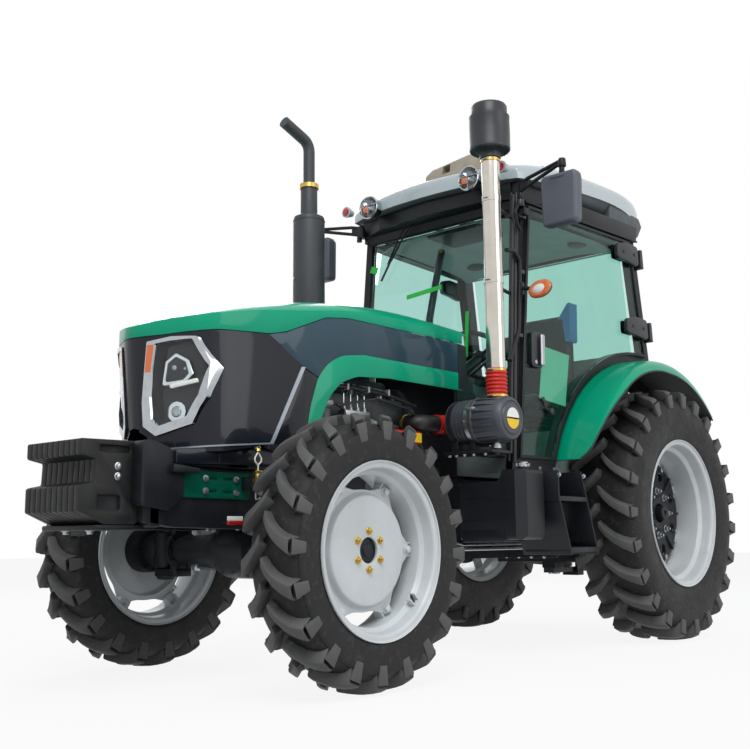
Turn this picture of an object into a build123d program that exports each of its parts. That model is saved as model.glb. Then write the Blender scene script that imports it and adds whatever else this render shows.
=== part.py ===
from build123d import *
from math import cos, pi, radians, sin, sqrt
import os

# Four-wheel-drive farm tractor with a closed cab, a one-piece tilting hood and a rear linkage.
# Millimetres. +Z up, the tractor faces -Y and its left side is +X.
# The origin is on the ground, in the middle of the overall length and width.

# ---------------------------------------------------------------- driving dimensions
wheelbase = 2810.0
front_overhang = 1040.0        # front axle to the face of the weights
rear_overhang = 950.0          # rear axle to the end of the lower links

front_track_half = 772.0       # middle of the tractor to the middle of the tyre
front_tyre_r = 595.0           # to the tips of the lugs
front_tyre_half = 142.0
front_rim_r = 383.0            # to the edge of the flange
front_seat_r = 356.0           # where the tyre's bead sits
front_rim_half = 138.0

rear_track_half = 785.0
rear_tyre_r = 785.0
rear_tyre_half = 205.0
rear_rim_r = 458.0
rear_seat_r = 432.0
rear_rim_half = 190.0

rim_wall = 9.0
flange_wall = 12.0
flange_lip = 14.0              # width of the rolled edge of a rim
seat_gap = 0.3                 # between pieces that sit on each other
pivot_gap = 0.8                # between pieces that turn on each other

steer_limit = 35.0             # degrees each way
hood_limit = 50.0
door_limit = 65.0
link_raise, link_lower = 28.0, 14.0
lift_arm_ratio = 1.52          # lift arms turn this much more than the links
lift_rod_ratio = -1.37         # lift rods turn back on the arms
top_link_up, top_link_down = 30.0, 20.0

overall_length = front_overhang + wheelbase + rear_overhang
front_y = front_overhang - overall_length / 2      # the front axle
rear_y = front_y + wheelbase                       # the rear axle


# ---------------------------------------------------------------- helpers
def block(x, y, z):
    """A box from three (low, high) pairs."""
    size = [high - low for low, high in (x, y, z)]
    middle = [(high + low) / 2 for low, high in (x, y, z)]
    return Pos(*middle) * Box(*size)


def both_sides(low, high):
    """The (low, high) pair on the left and its mirror image on the right."""
    return ((low, high), (-high, -low))


def rod(start, end, radius):
    """A round bar between two points."""
    reach = Vector(*end) - Vector(*start)
    return Solid.make_cylinder(radius, reach.length, Plane(origin=start, z_dir=reach))


def flat_face(points, place):
    """A face from points; a point of four numbers is an arc's middle and end."""
    edges = []
    last = points[-1][-2:]
    for point in points:
        end = point[-2:]
        if len(point) == 4:
            edges.append(Edge.make_three_point_arc(place(*last), place(*point[:2]), place(*end)))
        else:
            edges.append(Edge.make_line(place(*last), place(*end)))
        last = end
    return Face(Wire(edges))


def prism_x(points, x):
    """A side outline of (y, z) points, as wide as the (low, high) pair x."""
    return Solid.extrude(flat_face(points, lambda a, b: (x[0], a, b)), Vector(x[1] - x[0], 0, 0))


def prism_y(points, y):
    """A front outline of (x, z) points, as long as the pair y."""
    return Solid.extrude(flat_face(points, lambda a, b: (a, y[0], b)), Vector(0, y[1] - y[0], 0))


def prism_z(points, z):
    """A plan outline of (x, y) points, as high as the pair z."""
    return Solid.extrude(flat_face(points, lambda a, b: (a, b, z[0])), Vector(0, 0, z[1] - z[0]))


def turned(points, axle_y, axle_z):
    """A solid of revolution about an axle along X, from (x, radius) points."""
    face = Face(Wire.make_polygon([(x, axle_y, axle_z + r) for x, r in points], close=True))
    return Solid.revolve(face, 360, Axis((0, axle_y, axle_z), (1, 0, 0)))


def other_side(shape):
    """The same piece on the right-hand side."""
    return mirror(shape, about=Plane.YZ)


def joined(pieces):
    """One solid from pieces that meet."""
    whole = pieces[0]
    for piece in pieces[1:]:
        whole = whole + piece
    return whole


def arc_z(axle_z, radius, reach):
    """Height of a circle about an axle, at a distance along Y from it."""
    return axle_z + sqrt(radius ** 2 - reach ** 2)


parts = {}

# ---------------------------------------------------------------- wheels
tread_share = 0.95             # half-width of the tread as a share of the tyre's


def flat_faced(rings):
    """A solid of flat faces through rings of corners, each ring (x, [(y, z), ...]), closed at both ends."""
    rings = [[Vector(x, y, z) for y, z in corners] for x, corners in rings]
    faces = [Face(Wire.make_polygon(rings[0])), Face(Wire.make_polygon(rings[-1]))]
    for ring, after in zip(rings, rings[1:]):
        for index in range(len(ring)):
            other = (index + 1) % len(ring)
            faces.append(Face(Wire.make_polygon([ring[index], ring[other], after[other], after[index]])))
    return Solid(Shell(faces))


def ring_prism(points, sides, axle_y, axle_z):
    """A ring of flat faces about an axle, through (x, radius to the flats) points."""
    turns = [2 * pi * (index + 0.5) / sides for index in range(sides)]
    grown = 1 / cos(pi / sides)
    return flat_faced([(x, [(axle_y + r * grown * cos(turn), axle_z + r * grown * sin(turn)) for turn in turns])
                       for x, r in points])


lug_sections = (               # share of the half-width, share of the sweep, drop below the tip
    (0.03, 0.0, 0.0),
    (0.995, 1.0, 26.0),
)


def lug(side, track, axle_y, radius, half, foot, tip, deep, sweep, turn):
    """A lug from the tread's middle out to the shoulder, which trails by the sweep; foot and tip are its widths."""
    facing = radians(turn - sweep / 2)
    out_y, out_z = cos(facing), sin(facing)
    rings = []
    for share, lag, drop in lug_sections:
        angle = radians(turn - sweep * lag)
        reach = radius - drop - tip / 2 * sin(abs(radians(sweep * (lag - 0.5)))) - tip ** 2 / 8 / radius
        y, z = axle_y + reach * cos(angle), radius + reach * sin(angle)
        corners = [(-foot / 2, -deep), (foot / 2, -deep), (tip / 2, 0), (-tip / 2, 0)]
        rings.append((track + side * half * share,
                      [(y - across * out_z + up * out_y, z + across * out_y + up * out_z) for across, up in corners]))
    return flat_faced(rings)


tyre_sides = 18                # flat faces round a carcass
lug_drop = 30.0                # the carcass's shoulder below its tread


def tyre(track, axle_y, radius, half, seat_r, rim_r, rim_half, height, sweep, count, foot, tip, deep):
    """A tyre about its axle: a carcass with two rows of lugs, whose tips reach the radius."""
    bead = rim_half - flange_lip - seat_gap
    belly_r = seat_r + 0.45 * (radius - seat_r)
    points = [(-bead, rim_r + seat_gap), (-half, belly_r), (-half * tread_share, radius - height - lug_drop),
              (half * tread_share, radius - height - lug_drop), (half, belly_r), (bead, rim_r + seat_gap)]
    carcass = ring_prism([(track + x, r) for x, r in points], tyre_sides, axle_y, radius)
    lugs = [lug(side, track, axle_y, radius, half, foot, tip, deep, sweep,
                -90 + (index + (0.0 if side > 0 else 0.5)) * 360 / count - 90 * tip / pi / radius)
            for side in (1, -1) for index in range(count)]
    bore = [(track - half - 1, seat_r + seat_gap), (track + half + 1, seat_r + seat_gap)]
    return carcass.fuse(*lugs) - ring_prism(bore, tyre_sides, axle_y, radius)


def rim(track, axle_y, axle_z, rim_r, seat_r, half, disc_x, hub_r, well_depth):
    """A drop-centre rim with its disc; disc_x is the disc's outer face."""
    seat = seat_r - rim_wall
    well = seat_r - well_depth
    ramp = half * 0.35
    outer = [
        (-half, rim_r),
        (-half + flange_lip, rim_r),
        (-half + flange_lip, seat_r),
        (-ramp - well_depth, seat_r),
        (-ramp, well),
        (ramp, well),
        (ramp + well_depth, seat_r),
        (half - flange_lip, seat_r),
        (half - flange_lip, rim_r),
        (half, rim_r),
    ]
    inner = [
        (half, seat),
        (ramp + well_depth, seat),
        (ramp, well - rim_wall),
        (-ramp, well - rim_wall),
        (-ramp - well_depth, seat),
        (-half, seat),
    ]
    barrel = turned([(track + x, r) for x, r in outer + inner], axle_y, axle_z)
    plate = disc_x - disc_wall
    disc = turned(
        [(plate, 0), (disc_x, 0), (disc_x, hub_r), (disc_x - disc_dish, well - rim_wall / 2),
         (plate - disc_dish, well - rim_wall / 2), (plate, hub_r)], axle_y, axle_z)
    return barrel + disc


disc_wall = 14.0
disc_dish = 25.0               # the disc's edge lies this far in from its middle
front_disc_x = front_track_half + 45.0
rear_disc_x = rear_track_half - 5.0
front_well, rear_well = 32.0, 38.0
#             height, sweep in degrees, count a side, width at the foot and the tip, depth
front_lugs = (32.0, 12.3, 20, 50.0, 32.0, 76.0)
rear_lugs = (38.0, 10.6, 23, 54.0, 36.0, 86.0)
front_hub_r, rear_hub_r = 135.0, 170.0

front_tyre = tyre(front_track_half, front_y, front_tyre_r, front_tyre_half, front_seat_r, front_rim_r,
                  front_rim_half, *front_lugs)
front_rim = rim(front_track_half, front_y, front_tyre_r, front_rim_r, front_seat_r, front_rim_half,
                front_disc_x, front_hub_r, front_well)
rear_tyre = tyre(rear_track_half, rear_y, rear_tyre_r, rear_tyre_half, rear_seat_r, rear_rim_r,
                 rear_rim_half, *rear_lugs)
rear_rim = rim(rear_track_half, rear_y, rear_tyre_r, rear_rim_r, rear_seat_r, rear_rim_half,
               rear_disc_x, rear_hub_r, rear_well)
for name, piece in (("front_tyre", front_tyre), ("front_rim", front_rim),
                    ("rear_tyre", rear_tyre), ("rear_rim", rear_rim)):
    parts[name + "_left"] = piece
    parts[name + "_right"] = other_side(piece)

# ---------------------------------------------------------------- front axle, knuckles, tie rod
kingpin_x = 600.0
kingpin_r = 70.0               # the knuckle's housing about the kingpin
beam_r = 75.0
beam_end = kingpin_x - kingpin_r - 25.0
ear_r = 62.0
ear_z = 38.0                   # thickness of a yoke's ear
housing_half = 95.0            # half the height of the knuckle's housing
axle_case_r = 135.0
front_axle_z = front_tyre_r


def yoke(side):
    """The forked end of the axle beam that holds a knuckle."""
    ears = []
    for low in (housing_half + pivot_gap, -housing_half - pivot_gap - ear_z):
        z = front_axle_z + low
        ears.append(rod((side * kingpin_x, front_y, z), (side * kingpin_x, front_y, z + ear_z), ear_r))
        ends = sorted((side * kingpin_x, side * (beam_end - 60)))
        ears.append(block(ends, (front_y - ear_r, front_y + ear_r), (z, z + ear_z)))
    web = sorted((side * beam_end, side * (beam_end - 60)))
    height = housing_half + pivot_gap + ear_z
    ears.append(block(web, (front_y - ear_r, front_y + ear_r), (front_axle_z - height, front_axle_z + height)))
    return ears


pivot_half = 110.0             # half the length of the axle's pivot block
pivot_top = front_axle_z + axle_case_r + 30.0
axle_pieces = [rod((-beam_end, front_y, front_axle_z), (beam_end, front_y, front_axle_z), beam_r)]
axle_pieces += yoke(1) + yoke(-1)
axle_pieces.append(rod((-110, front_y, front_axle_z), (150, front_y, front_axle_z), axle_case_r))
axle_pieces.append(block((-90, 90), (front_y - pivot_half, front_y + pivot_half),
                         (front_axle_z, pivot_top)))
parts["front_axle"] = joined(axle_pieces)

drum_r = 118.0
arm_reach = 200.0              # kingpin to the tie rod's eye
arm_z = (front_axle_z - 62.0, front_axle_z - 34.0)
arm_half = 24.0
front_hub_face = front_disc_x - disc_wall - seat_gap


def knuckle():
    """The left knuckle: kingpin housing, wheel drum and steering arm."""
    z = (front_axle_z - housing_half, front_axle_z + housing_half)
    pieces = [rod((kingpin_x, front_y, z[0]), (kingpin_x, front_y, z[1]), kingpin_r)]
    pieces.append(rod((kingpin_x, front_y, front_axle_z), (front_hub_face, front_y, front_axle_z), 85))
    pieces.append(rod((front_track_half - 70, front_y, front_axle_z),
                      (front_hub_face, front_y, front_axle_z), drum_r))
    arm_y = front_y + arm_reach
    pieces.append(block((kingpin_x - arm_half, kingpin_x + arm_half), (front_y + 40, arm_y), arm_z))
    pieces.append(rod((kingpin_x, arm_y, arm_z[0]), (kingpin_x, arm_y, arm_z[1]), arm_half + 6))
    return joined(pieces)


parts["knuckle_left"] = knuckle()
parts["knuckle_right"] = other_side(parts["knuckle_left"])

tie_r = 15.0
tie_eye_r = 26.0
tie_z = arm_z[0] - seat_gap - tie_eye_r
tie_y = front_y + arm_reach
tie_pieces = [rod((-kingpin_x, tie_y, tie_z), (kingpin_x, tie_y, tie_z), tie_r),
              rod((-190, tie_y, tie_z), (190, tie_y, tie_z), 34)]
for x in (-kingpin_x, kingpin_x):
    tie_pieces.append(rod((x, tie_y, tie_z - tie_eye_r), (x, tie_y, arm_z[0] - seat_gap), tie_eye_r))
parts["tie_rod"] = joined(tie_pieces)

# ---------------------------------------------------------------- hood
hood_skin = 8.0
hood_half = 385.0
nose_bottom = 1040.0
hood_gap = 12.0
cab_front_y = rear_y - 1380.0          # the cab's front wall
hood_rear_y = cab_front_y - hood_gap - 70.0
hood_y = lambda y: front_y + y         # a place measured from the front axle

# Plan of the hood, right of its middle line: x, y from the front axle at the bottom and at the top
plan_points = [
    # x, bottom y, top y
    (0.0, -648.0, -700.0),
    (300.0, -490.0, -540.0),
    (342.0, -380.0, -400.0),
    (372.0, 60.0, 60.0),
    (hood_half, 400.0, 400.0),
]

# Crown of the hood: y from the front axle, height in the middle, at the shoulder, at the side
crown_points = [
    # y, middle, shoulder, side
    (-760.0, 1560.0, 1540.0, 1500.0),
    (-400.0, 1700.0, 1672.0, 1585.0),
    (0.0, 1800.0, 1765.0, 1660.0),
    (400.0, 1865.0, 1828.0, 1742.0),
    (850.0, 1890.0, 1850.0, 1752.0),
    (1400.0, 1870.0, 1832.0, 1742.0),
]
shoulder_x = 292.0
crown_half = 400.0             # the crown's sections reach past the sides


def hood_plan(inset, z_low, z_high):
    """The hood's plan, drawn in by an inset, between two heights."""
    wires = []
    for column, z in ((1, z_low), (2, z_high)):
        half = [(max(row[0] - inset, 0), hood_y(row[column]) + inset) for row in plan_points]
        half.append((hood_half - inset, hood_rear_y + 400))
        outline = half + [(-x, y) for x, y in reversed(half) if x > 0]
        wires.append(Wire.make_polygon([(x, y, z) for x, y in outline], close=True))
    return Solid.make_loft(wires, ruled=True)


def crown_wire(row, drop, low):
    """One section of the crown: flat bottom, upright sides, three arcs over the top."""
    y, middle, shoulder, side = row
    y, middle, shoulder, side = hood_y(y), middle - drop, shoulder - drop, side - drop
    x = shoulder_x - drop / 2
    half = crown_half
    bulge = ((half + x) / 2 + 14, (side + shoulder) / 2 + 14)
    edges = [
        Edge.make_line((-half, y, low), (half, y, low)),
        Edge.make_line((half, y, low), (half, y, side)),
        Edge.make_three_point_arc((half, y, side), (bulge[0], y, bulge[1]), (x, y, shoulder)),
        Edge.make_three_point_arc((x, y, shoulder), (0, y, middle), (-x, y, shoulder)),
        Edge.make_three_point_arc((-x, y, shoulder), (-bulge[0], y, bulge[1]), (-half, y, side)),
        Edge.make_line((-half, y, side), (-half, y, low)),
    ]
    return Wire(edges)


hood_top_z = 2000.0


def hood_form(inset):
    """The raked nose up to the lamps' top edge, and upright sides above it."""
    low = nose_bottom - 100
    crown = Solid.make_loft([crown_wire(row, inset, low) for row in crown_points], ruled=True)
    lower = hood_plan(inset, low, nose_top)
    half = [(max(row[0] - inset, 0), hood_y(row[2]) + inset) for row in plan_points]
    half.append((hood_half - inset, hood_rear_y + 400))
    outline = half + [(-x, y) for x, y in reversed(half) if x > 0]
    upper = prism_z(outline, (nose_top, hood_top_z))
    return crown & (lower + upper)


nose_top = 1535.0

# Side outlines: y from the front axle, height
nose_edge = [(-900, 1522), (-620, 1545), (-447, 1571), (-164, 1588)]
rising_edge = [(-60, 1612), (60, 1662), (190, 1716), (340, 1735)]
nose_back = [(50, 1452), (-140, 1075)]
arch_outer = [(50, 1075), (90, 1270), (139, 1415), (205, 1491), (301, 1541), (462, 1563)]
arch_inner = [(135, 1075), (165, 1225), (219, 1330), (300, 1408), (413, 1446), (659, 1463)]
wide = (-hood_half - 100, hood_half + 100)

outer_form = hood_form(0.0)
inner_form = hood_form(hood_skin)
shell = outer_form - inner_form
shell = shell - block(wide, (hood_rear_y, hood_rear_y + 900), (nose_bottom - 200, hood_top_z + 100))


def hood_region(points):
    """The part of the hood's shell inside a side outline."""
    return shell & prism_x([(hood_y(y), z) for y, z in points], wide)


rear_end = hood_rear_y - front_y + 200
green_line = nose_edge + rising_edge + [(rear_end, rising_edge[-1][1])]
parts["hood_top"] = hood_region(green_line + [(rear_end, hood_top_z), (-900, hood_top_z)])
parts["side_panels"] = hood_region(
    nose_edge[-1:] + rising_edge + [(rear_end, rising_edge[-1][1]), (rear_end, arch_outer[-1][1])]
    + arch_outer[::-1] + nose_back[::-1])
parts["arch_bands"] = hood_region(
    [(rear_end, arch_outer[-1][1])] + arch_outer[::-1] + arch_inner + [(rear_end, arch_inner[-1][1])])
nose = hood_region(nose_edge + nose_back + [(-400, nose_bottom + 20), (-900, nose_bottom)])

# Headlamps: x, z of the five corners seen from the front, on the left side
lamp_corners = [(94, 1515), (66, 1140), (117, 1097), (271, 1146), (334, 1398), (296, 1531)]
lamp_depth = 60.0
lamp_back_y = hood_y(-385.0)
lamp_shell = outer_form - hood_form(lamp_depth)
lamps = []
for side in (1, -1):
    outline = [(side * x, z) for x, z in lamp_corners]
    cutter = prism_y(outline, (hood_y(-900), lamp_back_y))
    nose = nose - cutter
    lamps.append(lamp_shell & cutter)
parts["headlamps"] = Compound(children=lamps)
parts["nose_shell"] = nose

# ---------------------------------------------------------------- frame, engine, gearbox, rear axle
rail_x = (185.0, 245.0)
rail_z = (770.0, 960.0)
frame_front_y = hood_y(-740.0)
frame_plate = 60.0
pivot_cross = 130.0
engine_y = (hood_y(-60.0), hood_y(1060.0))
engine_half = 230.0
engine_z = (rail_z[1] + 15.0, 1500.0)
sump_half = rail_x[0] - seat_gap        # the block between the rails
sump_z = 640.0
rail_end_y = hood_y(620.0)

frame_pieces = [block((-rail_x[1], rail_x[1]), (frame_front_y, frame_front_y + frame_plate), (700, 990))]
frame_pieces += [block(pair, (frame_front_y, rail_end_y), rail_z) for pair in both_sides(*rail_x)]
frame_pieces.append(block((-rail_x[1], rail_x[1]), (front_y - pivot_cross, front_y + pivot_cross),
                          (pivot_top + seat_gap, rail_z[1] - 30)))
tongue_z = (690.0, 712.0)
frame_pieces.append(block((-200, 200), (frame_front_y - 220, frame_front_y + frame_plate), tongue_z))
radiator_y = (hood_y(-330.0), hood_y(-210.0))
radiator_half = 270.0
valance_x = (radiator_half + 4, 300.0)
valance_y = (hood_y(-640.0), hood_y(-60.0))
tray_z = (rail_z[1] - 5, 985.0)
frame_pieces.append(block((-valance_x[1], valance_x[1]), (valance_y[0], radiator_y[0] - 5), tray_z))
for pair in both_sides(*valance_x):
    frame_pieces.append(prism_x([(valance_y[0], tray_z[0]), (valance_y[1], tray_z[0] + 20),
                                 (valance_y[1] - 60, 1058), (valance_y[0], 1025)], pair))
parts["front_frame"] = joined(frame_pieces)

weight_count = 10
weight_pitch = 41.0
weight_gap = 3.0
weight_half = weight_count * weight_pitch / 2 - weight_gap / 2
weight_y = (front_y - front_overhang, frame_front_y - seat_gap)
weight_z = (tongue_z[1] + seat_gap, 869.0, 985.0, 1060.0)
weight_recess = 80.0
weights = [block((-weight_half, weight_half), (weight_y[0] + weight_recess, weight_y[1]),
                 (weight_z[0], weight_z[3] - 20))]
for index in range(weight_count):
    x = -weight_half + index * weight_pitch
    weights.append(prism_x(
        [(weight_y[0], weight_z[0] + 50), (weight_y[0], weight_z[1]),
         (weight_y[0] + weight_recess - 10, weight_z[1] + 12),
         (weight_y[0] + weight_recess - 10, weight_z[2] - 12),
         (weight_y[0], weight_z[2]), (weight_y[0], weight_z[3]), (weight_y[1], weight_z[3]),
         (weight_y[1], weight_z[0]), (weight_y[0] + 120, weight_z[0])],
        (x, x + weight_pitch - weight_gap)))
parts["front_weights"] = joined(weights)

parts["radiator"] = block((-radiator_half, radiator_half), radiator_y, (rail_z[1] + seat_gap, 1480))

engine = block((-engine_half, engine_half), engine_y, engine_z)
engine = engine + block((-sump_half, sump_half), (front_y + pivot_cross + 20, engine_y[1]),
                        (sump_z, engine_z[0]))
engine = engine + block((-engine_half + 110, engine_half - 110), (engine_y[0] + 60, engine_y[1] - 60),
                        (engine_z[1], engine_z[1] + 90))
# The engine's open side: x, y from the front axle and z pairs of the injection pump, starter, filters and manifold.
engine_blocks = (
    ((engine_half, 300.0), (380.0, 630.0), (1170.0, 1300.0)),
    ((-275.0, -engine_half), (250.0, 895.0), (1290.0, 1370.0)),
)
engine_rods = (                # x, y from the front axle, z pair and radius of the upright filters
    (255.0, 180.0, (1130.0, 1320.0), 45.0),
    (255.0, 285.0, (1130.0, 1320.0), 45.0),
)
for x, y, z in engine_blocks:
    engine = engine + block(x, (hood_y(y[0]), hood_y(y[1])), z)
for x, y, z, r in engine_rods:
    engine = engine + rod((x, hood_y(y), z[0]), (x, hood_y(y), z[1]), r)
starter_r = 48.0
engine = engine + rod((engine_half + 20, hood_y(700), 1060), (engine_half + 20, hood_y(960), 1060), starter_r)
parts["engine_block"] = engine

gearbox_half = 200.0
gearbox_z = (520.0, 980.0)
floor_z = 1000.0
axle_case_y = (rear_y - 330.0, rear_y + 300.0)
bell_y = (engine_y[1] + seat_gap, engine_y[1] + 220)
tank_x = (400.0, 820.0)
tank_y = (hood_y(1200.0), hood_y(1425.0))
tank_z = (630.0, 940.0, 1000.0)
tank_step_x = 690.0
gearbox = [block((-gearbox_half, gearbox_half), (bell_y[0], axle_case_y[0]), gearbox_z),
           block((-gearbox_half - 60, gearbox_half + 60), bell_y, (gearbox_z[0] + 40, gearbox_z[1]))]
for arm in (tank_y[0] + 40, tank_y[1] - 90):
    for pair in both_sides(gearbox_half - 10, tank_x[0] - seat_gap):
        gearbox.append(block(pair, (arm, arm + 50), (700, 760)))
for pad in (hood_y(1500.0), hood_y(2020.0)):
    for pair in both_sides(90, 160):
        gearbox.append(block(pair, (pad, pad + 90), (gearbox_z[1], floor_z - seat_gap)))
parts["gearbox_housing"] = joined(gearbox)

case_half = 230.0
case_z = (480.0, 1120.0)
trumpet_r = 95.0
final_r = 150.0
rear_hub_face = rear_disc_x - disc_wall - seat_gap
rear_z = rear_tyre_r
shaft_z = 640.0
pto_r = 17.45
pto_length = 76.0
pto_y = axle_case_y[1] + 60.0
rear_pieces = [block((-case_half, case_half), (axle_case_y[0] + seat_gap, axle_case_y[1]), case_z),
               rod((-rear_hub_face, rear_y, rear_z), (rear_hub_face, rear_y, rear_z), trumpet_r)]
for side in (1, -1):
    rear_pieces.append(rod((side * (rear_hub_face - 180), rear_y, rear_z),
                           (side * rear_hub_face, rear_y, rear_z), final_r))
rear_pieces.append(rod((0, axle_case_y[1] - 10, shaft_z), (0, pto_y, shaft_z), 45))
rear_pieces.append(rod((0, pto_y - 10, shaft_z), (0, pto_y + pto_length, shaft_z), pto_r))

# ---------------------------------------------------------------- rear linkage
link_x, link_ball_x = 340.0, 435.0
link_pivot_y, link_pivot_z = rear_y + 60.0, 500.0
link_bend = 560.0              # the links run straight this far, then spread
link_half = 12.0
link_deep = 38.0
link_pin_r = 14.0
pin_slack = 0.05               # running clearance of pins
ball_z = 430.0
ball_half = 22.5
ball_r = 32.0
ball_bore = 14.4
ball_y = rear_y + rear_overhang - ball_r
lift_reach = 440.0             # pivot to the lift rod, along the link
link_slope = (ball_z - link_pivot_z) / (ball_y - link_pivot_y)
lift_point = (link_pivot_y + lift_reach, link_pivot_z + lift_reach * link_slope)
rock_y, rock_z = rear_y + 215.0, 1010.0
rock_r = 38.0
rock_boss = (120.0, 66.0)      # half-length and radius
arm_tip = (rock_y + 300.0, rock_z + 20.0)
arm_wall = 26.0
rod_wall = 22.0
rod_x = (link_x - link_half - pivot_gap - rod_wall, link_x - link_half - pivot_gap)
arm_x = (rod_x[0] - pivot_gap - arm_wall, rod_x[0] - pivot_gap)
tip_pin_r = 13.0
tip_eye_r = 28.0


def cross_rod(x, y, z, radius):
    """A round bar along X between the pair x."""
    return rod((x[0], y, z), (x[1], y, z), radius)


link_plan = [(link_x - link_half, link_pivot_y - 40), (link_x + link_half, link_pivot_y - 40),
             (link_x + link_half, link_pivot_y + link_bend), (link_ball_x + link_half, ball_y),
             (link_ball_x - link_half, ball_y), (link_x - link_half, link_pivot_y + link_bend)]
link_side = [(link_pivot_y, link_pivot_z - link_deep), (ball_y, ball_z - link_deep + 10),
             (ball_y, ball_z + link_deep - 10), (link_pivot_y, link_pivot_z + link_deep)]
link = prism_z(link_plan, (300, 700)) & prism_x(link_side, (0, 700))
link = link + cross_rod((link_x - link_half, link_x + link_half), link_pivot_y, link_pivot_z, link_deep)
link = link + cross_rod((link_ball_x - ball_half, link_ball_x + ball_half), ball_y, ball_z, ball_r)
link = link - cross_rod((link_ball_x - 100, link_ball_x + 100), ball_y, ball_z, ball_bore)
link = link - cross_rod((link_x - 50, link_x + 50), link_pivot_y, link_pivot_z, link_pin_r + pin_slack)
parts["lower_links"] = Compound(children=[link, other_side(link)])

lift_arm = prism_x([(rock_y, rock_z - 60), (arm_tip[0], arm_tip[1] - tip_eye_r),
                    (arm_tip[0], arm_tip[1] + tip_eye_r), (rock_y, rock_z + 60)], arm_x)
lift_arm = lift_arm + cross_rod(arm_x, rock_y, rock_z, 60) + cross_rod(arm_x, *arm_tip, tip_eye_r)
lift_arm = lift_arm + cross_rod((arm_x[0], rod_x[1]), *arm_tip, tip_pin_r)
rock_shaft = cross_rod((-arm_x[0] - 5, arm_x[0] + 5), rock_y, rock_z, rock_r)
parts["lift_arms"] = joined([rock_shaft, lift_arm, other_side(lift_arm)])

lift_rod = joined([
    rod((sum(rod_x) / 2, *arm_tip), (sum(rod_x) / 2, *lift_point), rod_wall / 2),
    cross_rod(rod_x, *arm_tip, tip_eye_r),
    cross_rod(rod_x, *lift_point, tip_eye_r),
]) - cross_rod((rod_x[0] - 50, rod_x[1] + 50), *arm_tip, tip_pin_r + pin_slack)
parts["lift_rods"] = Compound(children=[lift_rod, other_side(lift_rod)])

top_pin_r = 12.5
top_pivot = (axle_case_y[1] + 45.0, 900.0)
top_link_length = 520.0
top_link_angle = radians(-12)
top_end = (top_pivot[0] + top_link_length * cos(top_link_angle),
           top_pivot[1] + top_link_length * sin(top_link_angle))
top_half = 25.5
top_bore = 12.9
top_eye_r = 28.0
top_link = joined([
    rod((0, *top_pivot), (0, *top_end), 17),
    cross_rod((-18, 18), *top_pivot, top_eye_r),
    cross_rod((-top_half, top_half), *top_end, top_eye_r),
])
top_link = top_link - cross_rod((-60, 60), *top_end, top_bore)
parts["top_link"] = top_link - cross_rod((-60, 60), *top_pivot, top_pin_r + pin_slack)

for pair in both_sides(18 + pivot_gap, 34 + pivot_gap):
    rear_pieces.append(block(pair, (axle_case_y[1] - 5, top_pivot[0] + 20), (870, 930)))
rear_pieces.append(cross_rod((-34, 34), *top_pivot, top_pin_r))
link_pin_end = link_x + link_half + 12
rear_pieces.append(cross_rod((-link_pin_end, link_pin_end), link_pivot_y, link_pivot_z, link_pin_r))
bracket_end = link_x - link_half - pivot_gap
rear_pieces.append(cross_rod((-bracket_end, bracket_end), link_pivot_y, link_pivot_z, 34))
rear_pieces.append(block((-rock_boss[0], rock_boss[0]), (axle_case_y[1] - 220, rock_y),
                         (rock_z - 90, rock_z + rock_boss[1])))
rear_pieces.append(cross_rod((-rock_boss[0], rock_boss[0]), rock_y, rock_z, rock_boss[1]))

drawbar_half = 40.0
drawbar_z = (400.0, 432.0)
drawbar_y = (rear_y - 60.0, rear_y + 620.0)
drawbar_hole_r = 16.5
drawbar_hole_y = drawbar_y[1] - 45.0
drawbar = block((-drawbar_half, drawbar_half), drawbar_y, drawbar_z)
parts["drawbar"] = drawbar - rod((0, drawbar_hole_y, drawbar_z[0] - 50), (0, drawbar_hole_y, drawbar_z[1] + 50),
                                 drawbar_hole_r)
rear_pieces.append(block((-50, 50), (drawbar_y[0], drawbar_y[0] + 120), (drawbar_z[1] + seat_gap, case_z[0] + 10)))
hanger_y = (axle_case_y[1] - 80, axle_case_y[1])
for pair in both_sides(drawbar_half + pivot_gap, drawbar_half + 20):
    rear_pieces.append(block(pair, hanger_y, (drawbar_z[0] - 25, case_z[0] + 10)))
rear_pieces.append(block((-drawbar_half - 20, drawbar_half + 20), hanger_y,
                         (drawbar_z[0] - 25, drawbar_z[0] - seat_gap)))
rear_axle = joined(rear_pieces)
rear_axle = rear_axle - cross_rod((-arm_x[0], arm_x[0]), rock_y, rock_z, rock_r + pin_slack)
parts["rear_axle"] = rear_axle

# ---------------------------------------------------------------- hood hinge and its support
hinge_y, hinge_z = hood_rear_y - 30.0, 1780.0
hinge_pin_r = 10.0
hinge_ring_r = 20.0
hinge_x = (180.0, 200.0)       # the support's rings
lug_x = (hinge_x[1] + pivot_gap, hinge_x[1] + pivot_gap + 15)
support_y = (hinge_y + 4, hinge_y + 18)
support_half = 300.0
support_top = hinge_z - 80.0
support = block((-support_half, support_half), support_y, (gearbox_z[1] + seat_gap, support_top))
for pair in both_sides(*hinge_x):
    support = support + block(pair, support_y, (support_top - 10, hinge_z))
    support = support + cross_rod(pair, hinge_y, hinge_z, hinge_ring_r)
    support = support - cross_rod(pair, hinge_y, hinge_z, hinge_pin_r + pin_slack)
parts["hood_support"] = support
hood_top = parts["hood_top"]
for side in (1, -1):
    low, high = sorted((side * lug_x[0], side * lug_x[1]))
    lug = block((low, high), (hinge_y - 15, hinge_y + 15), (hinge_z - 15, hinge_z + 120)) & outer_form
    pin = cross_rod(sorted((side * hinge_x[0], side * lug_x[0] + side * 2)), hinge_y, hinge_z, hinge_pin_r)
    hood_top = hood_top + lug + pin
parts["hood_top"] = hood_top

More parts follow.
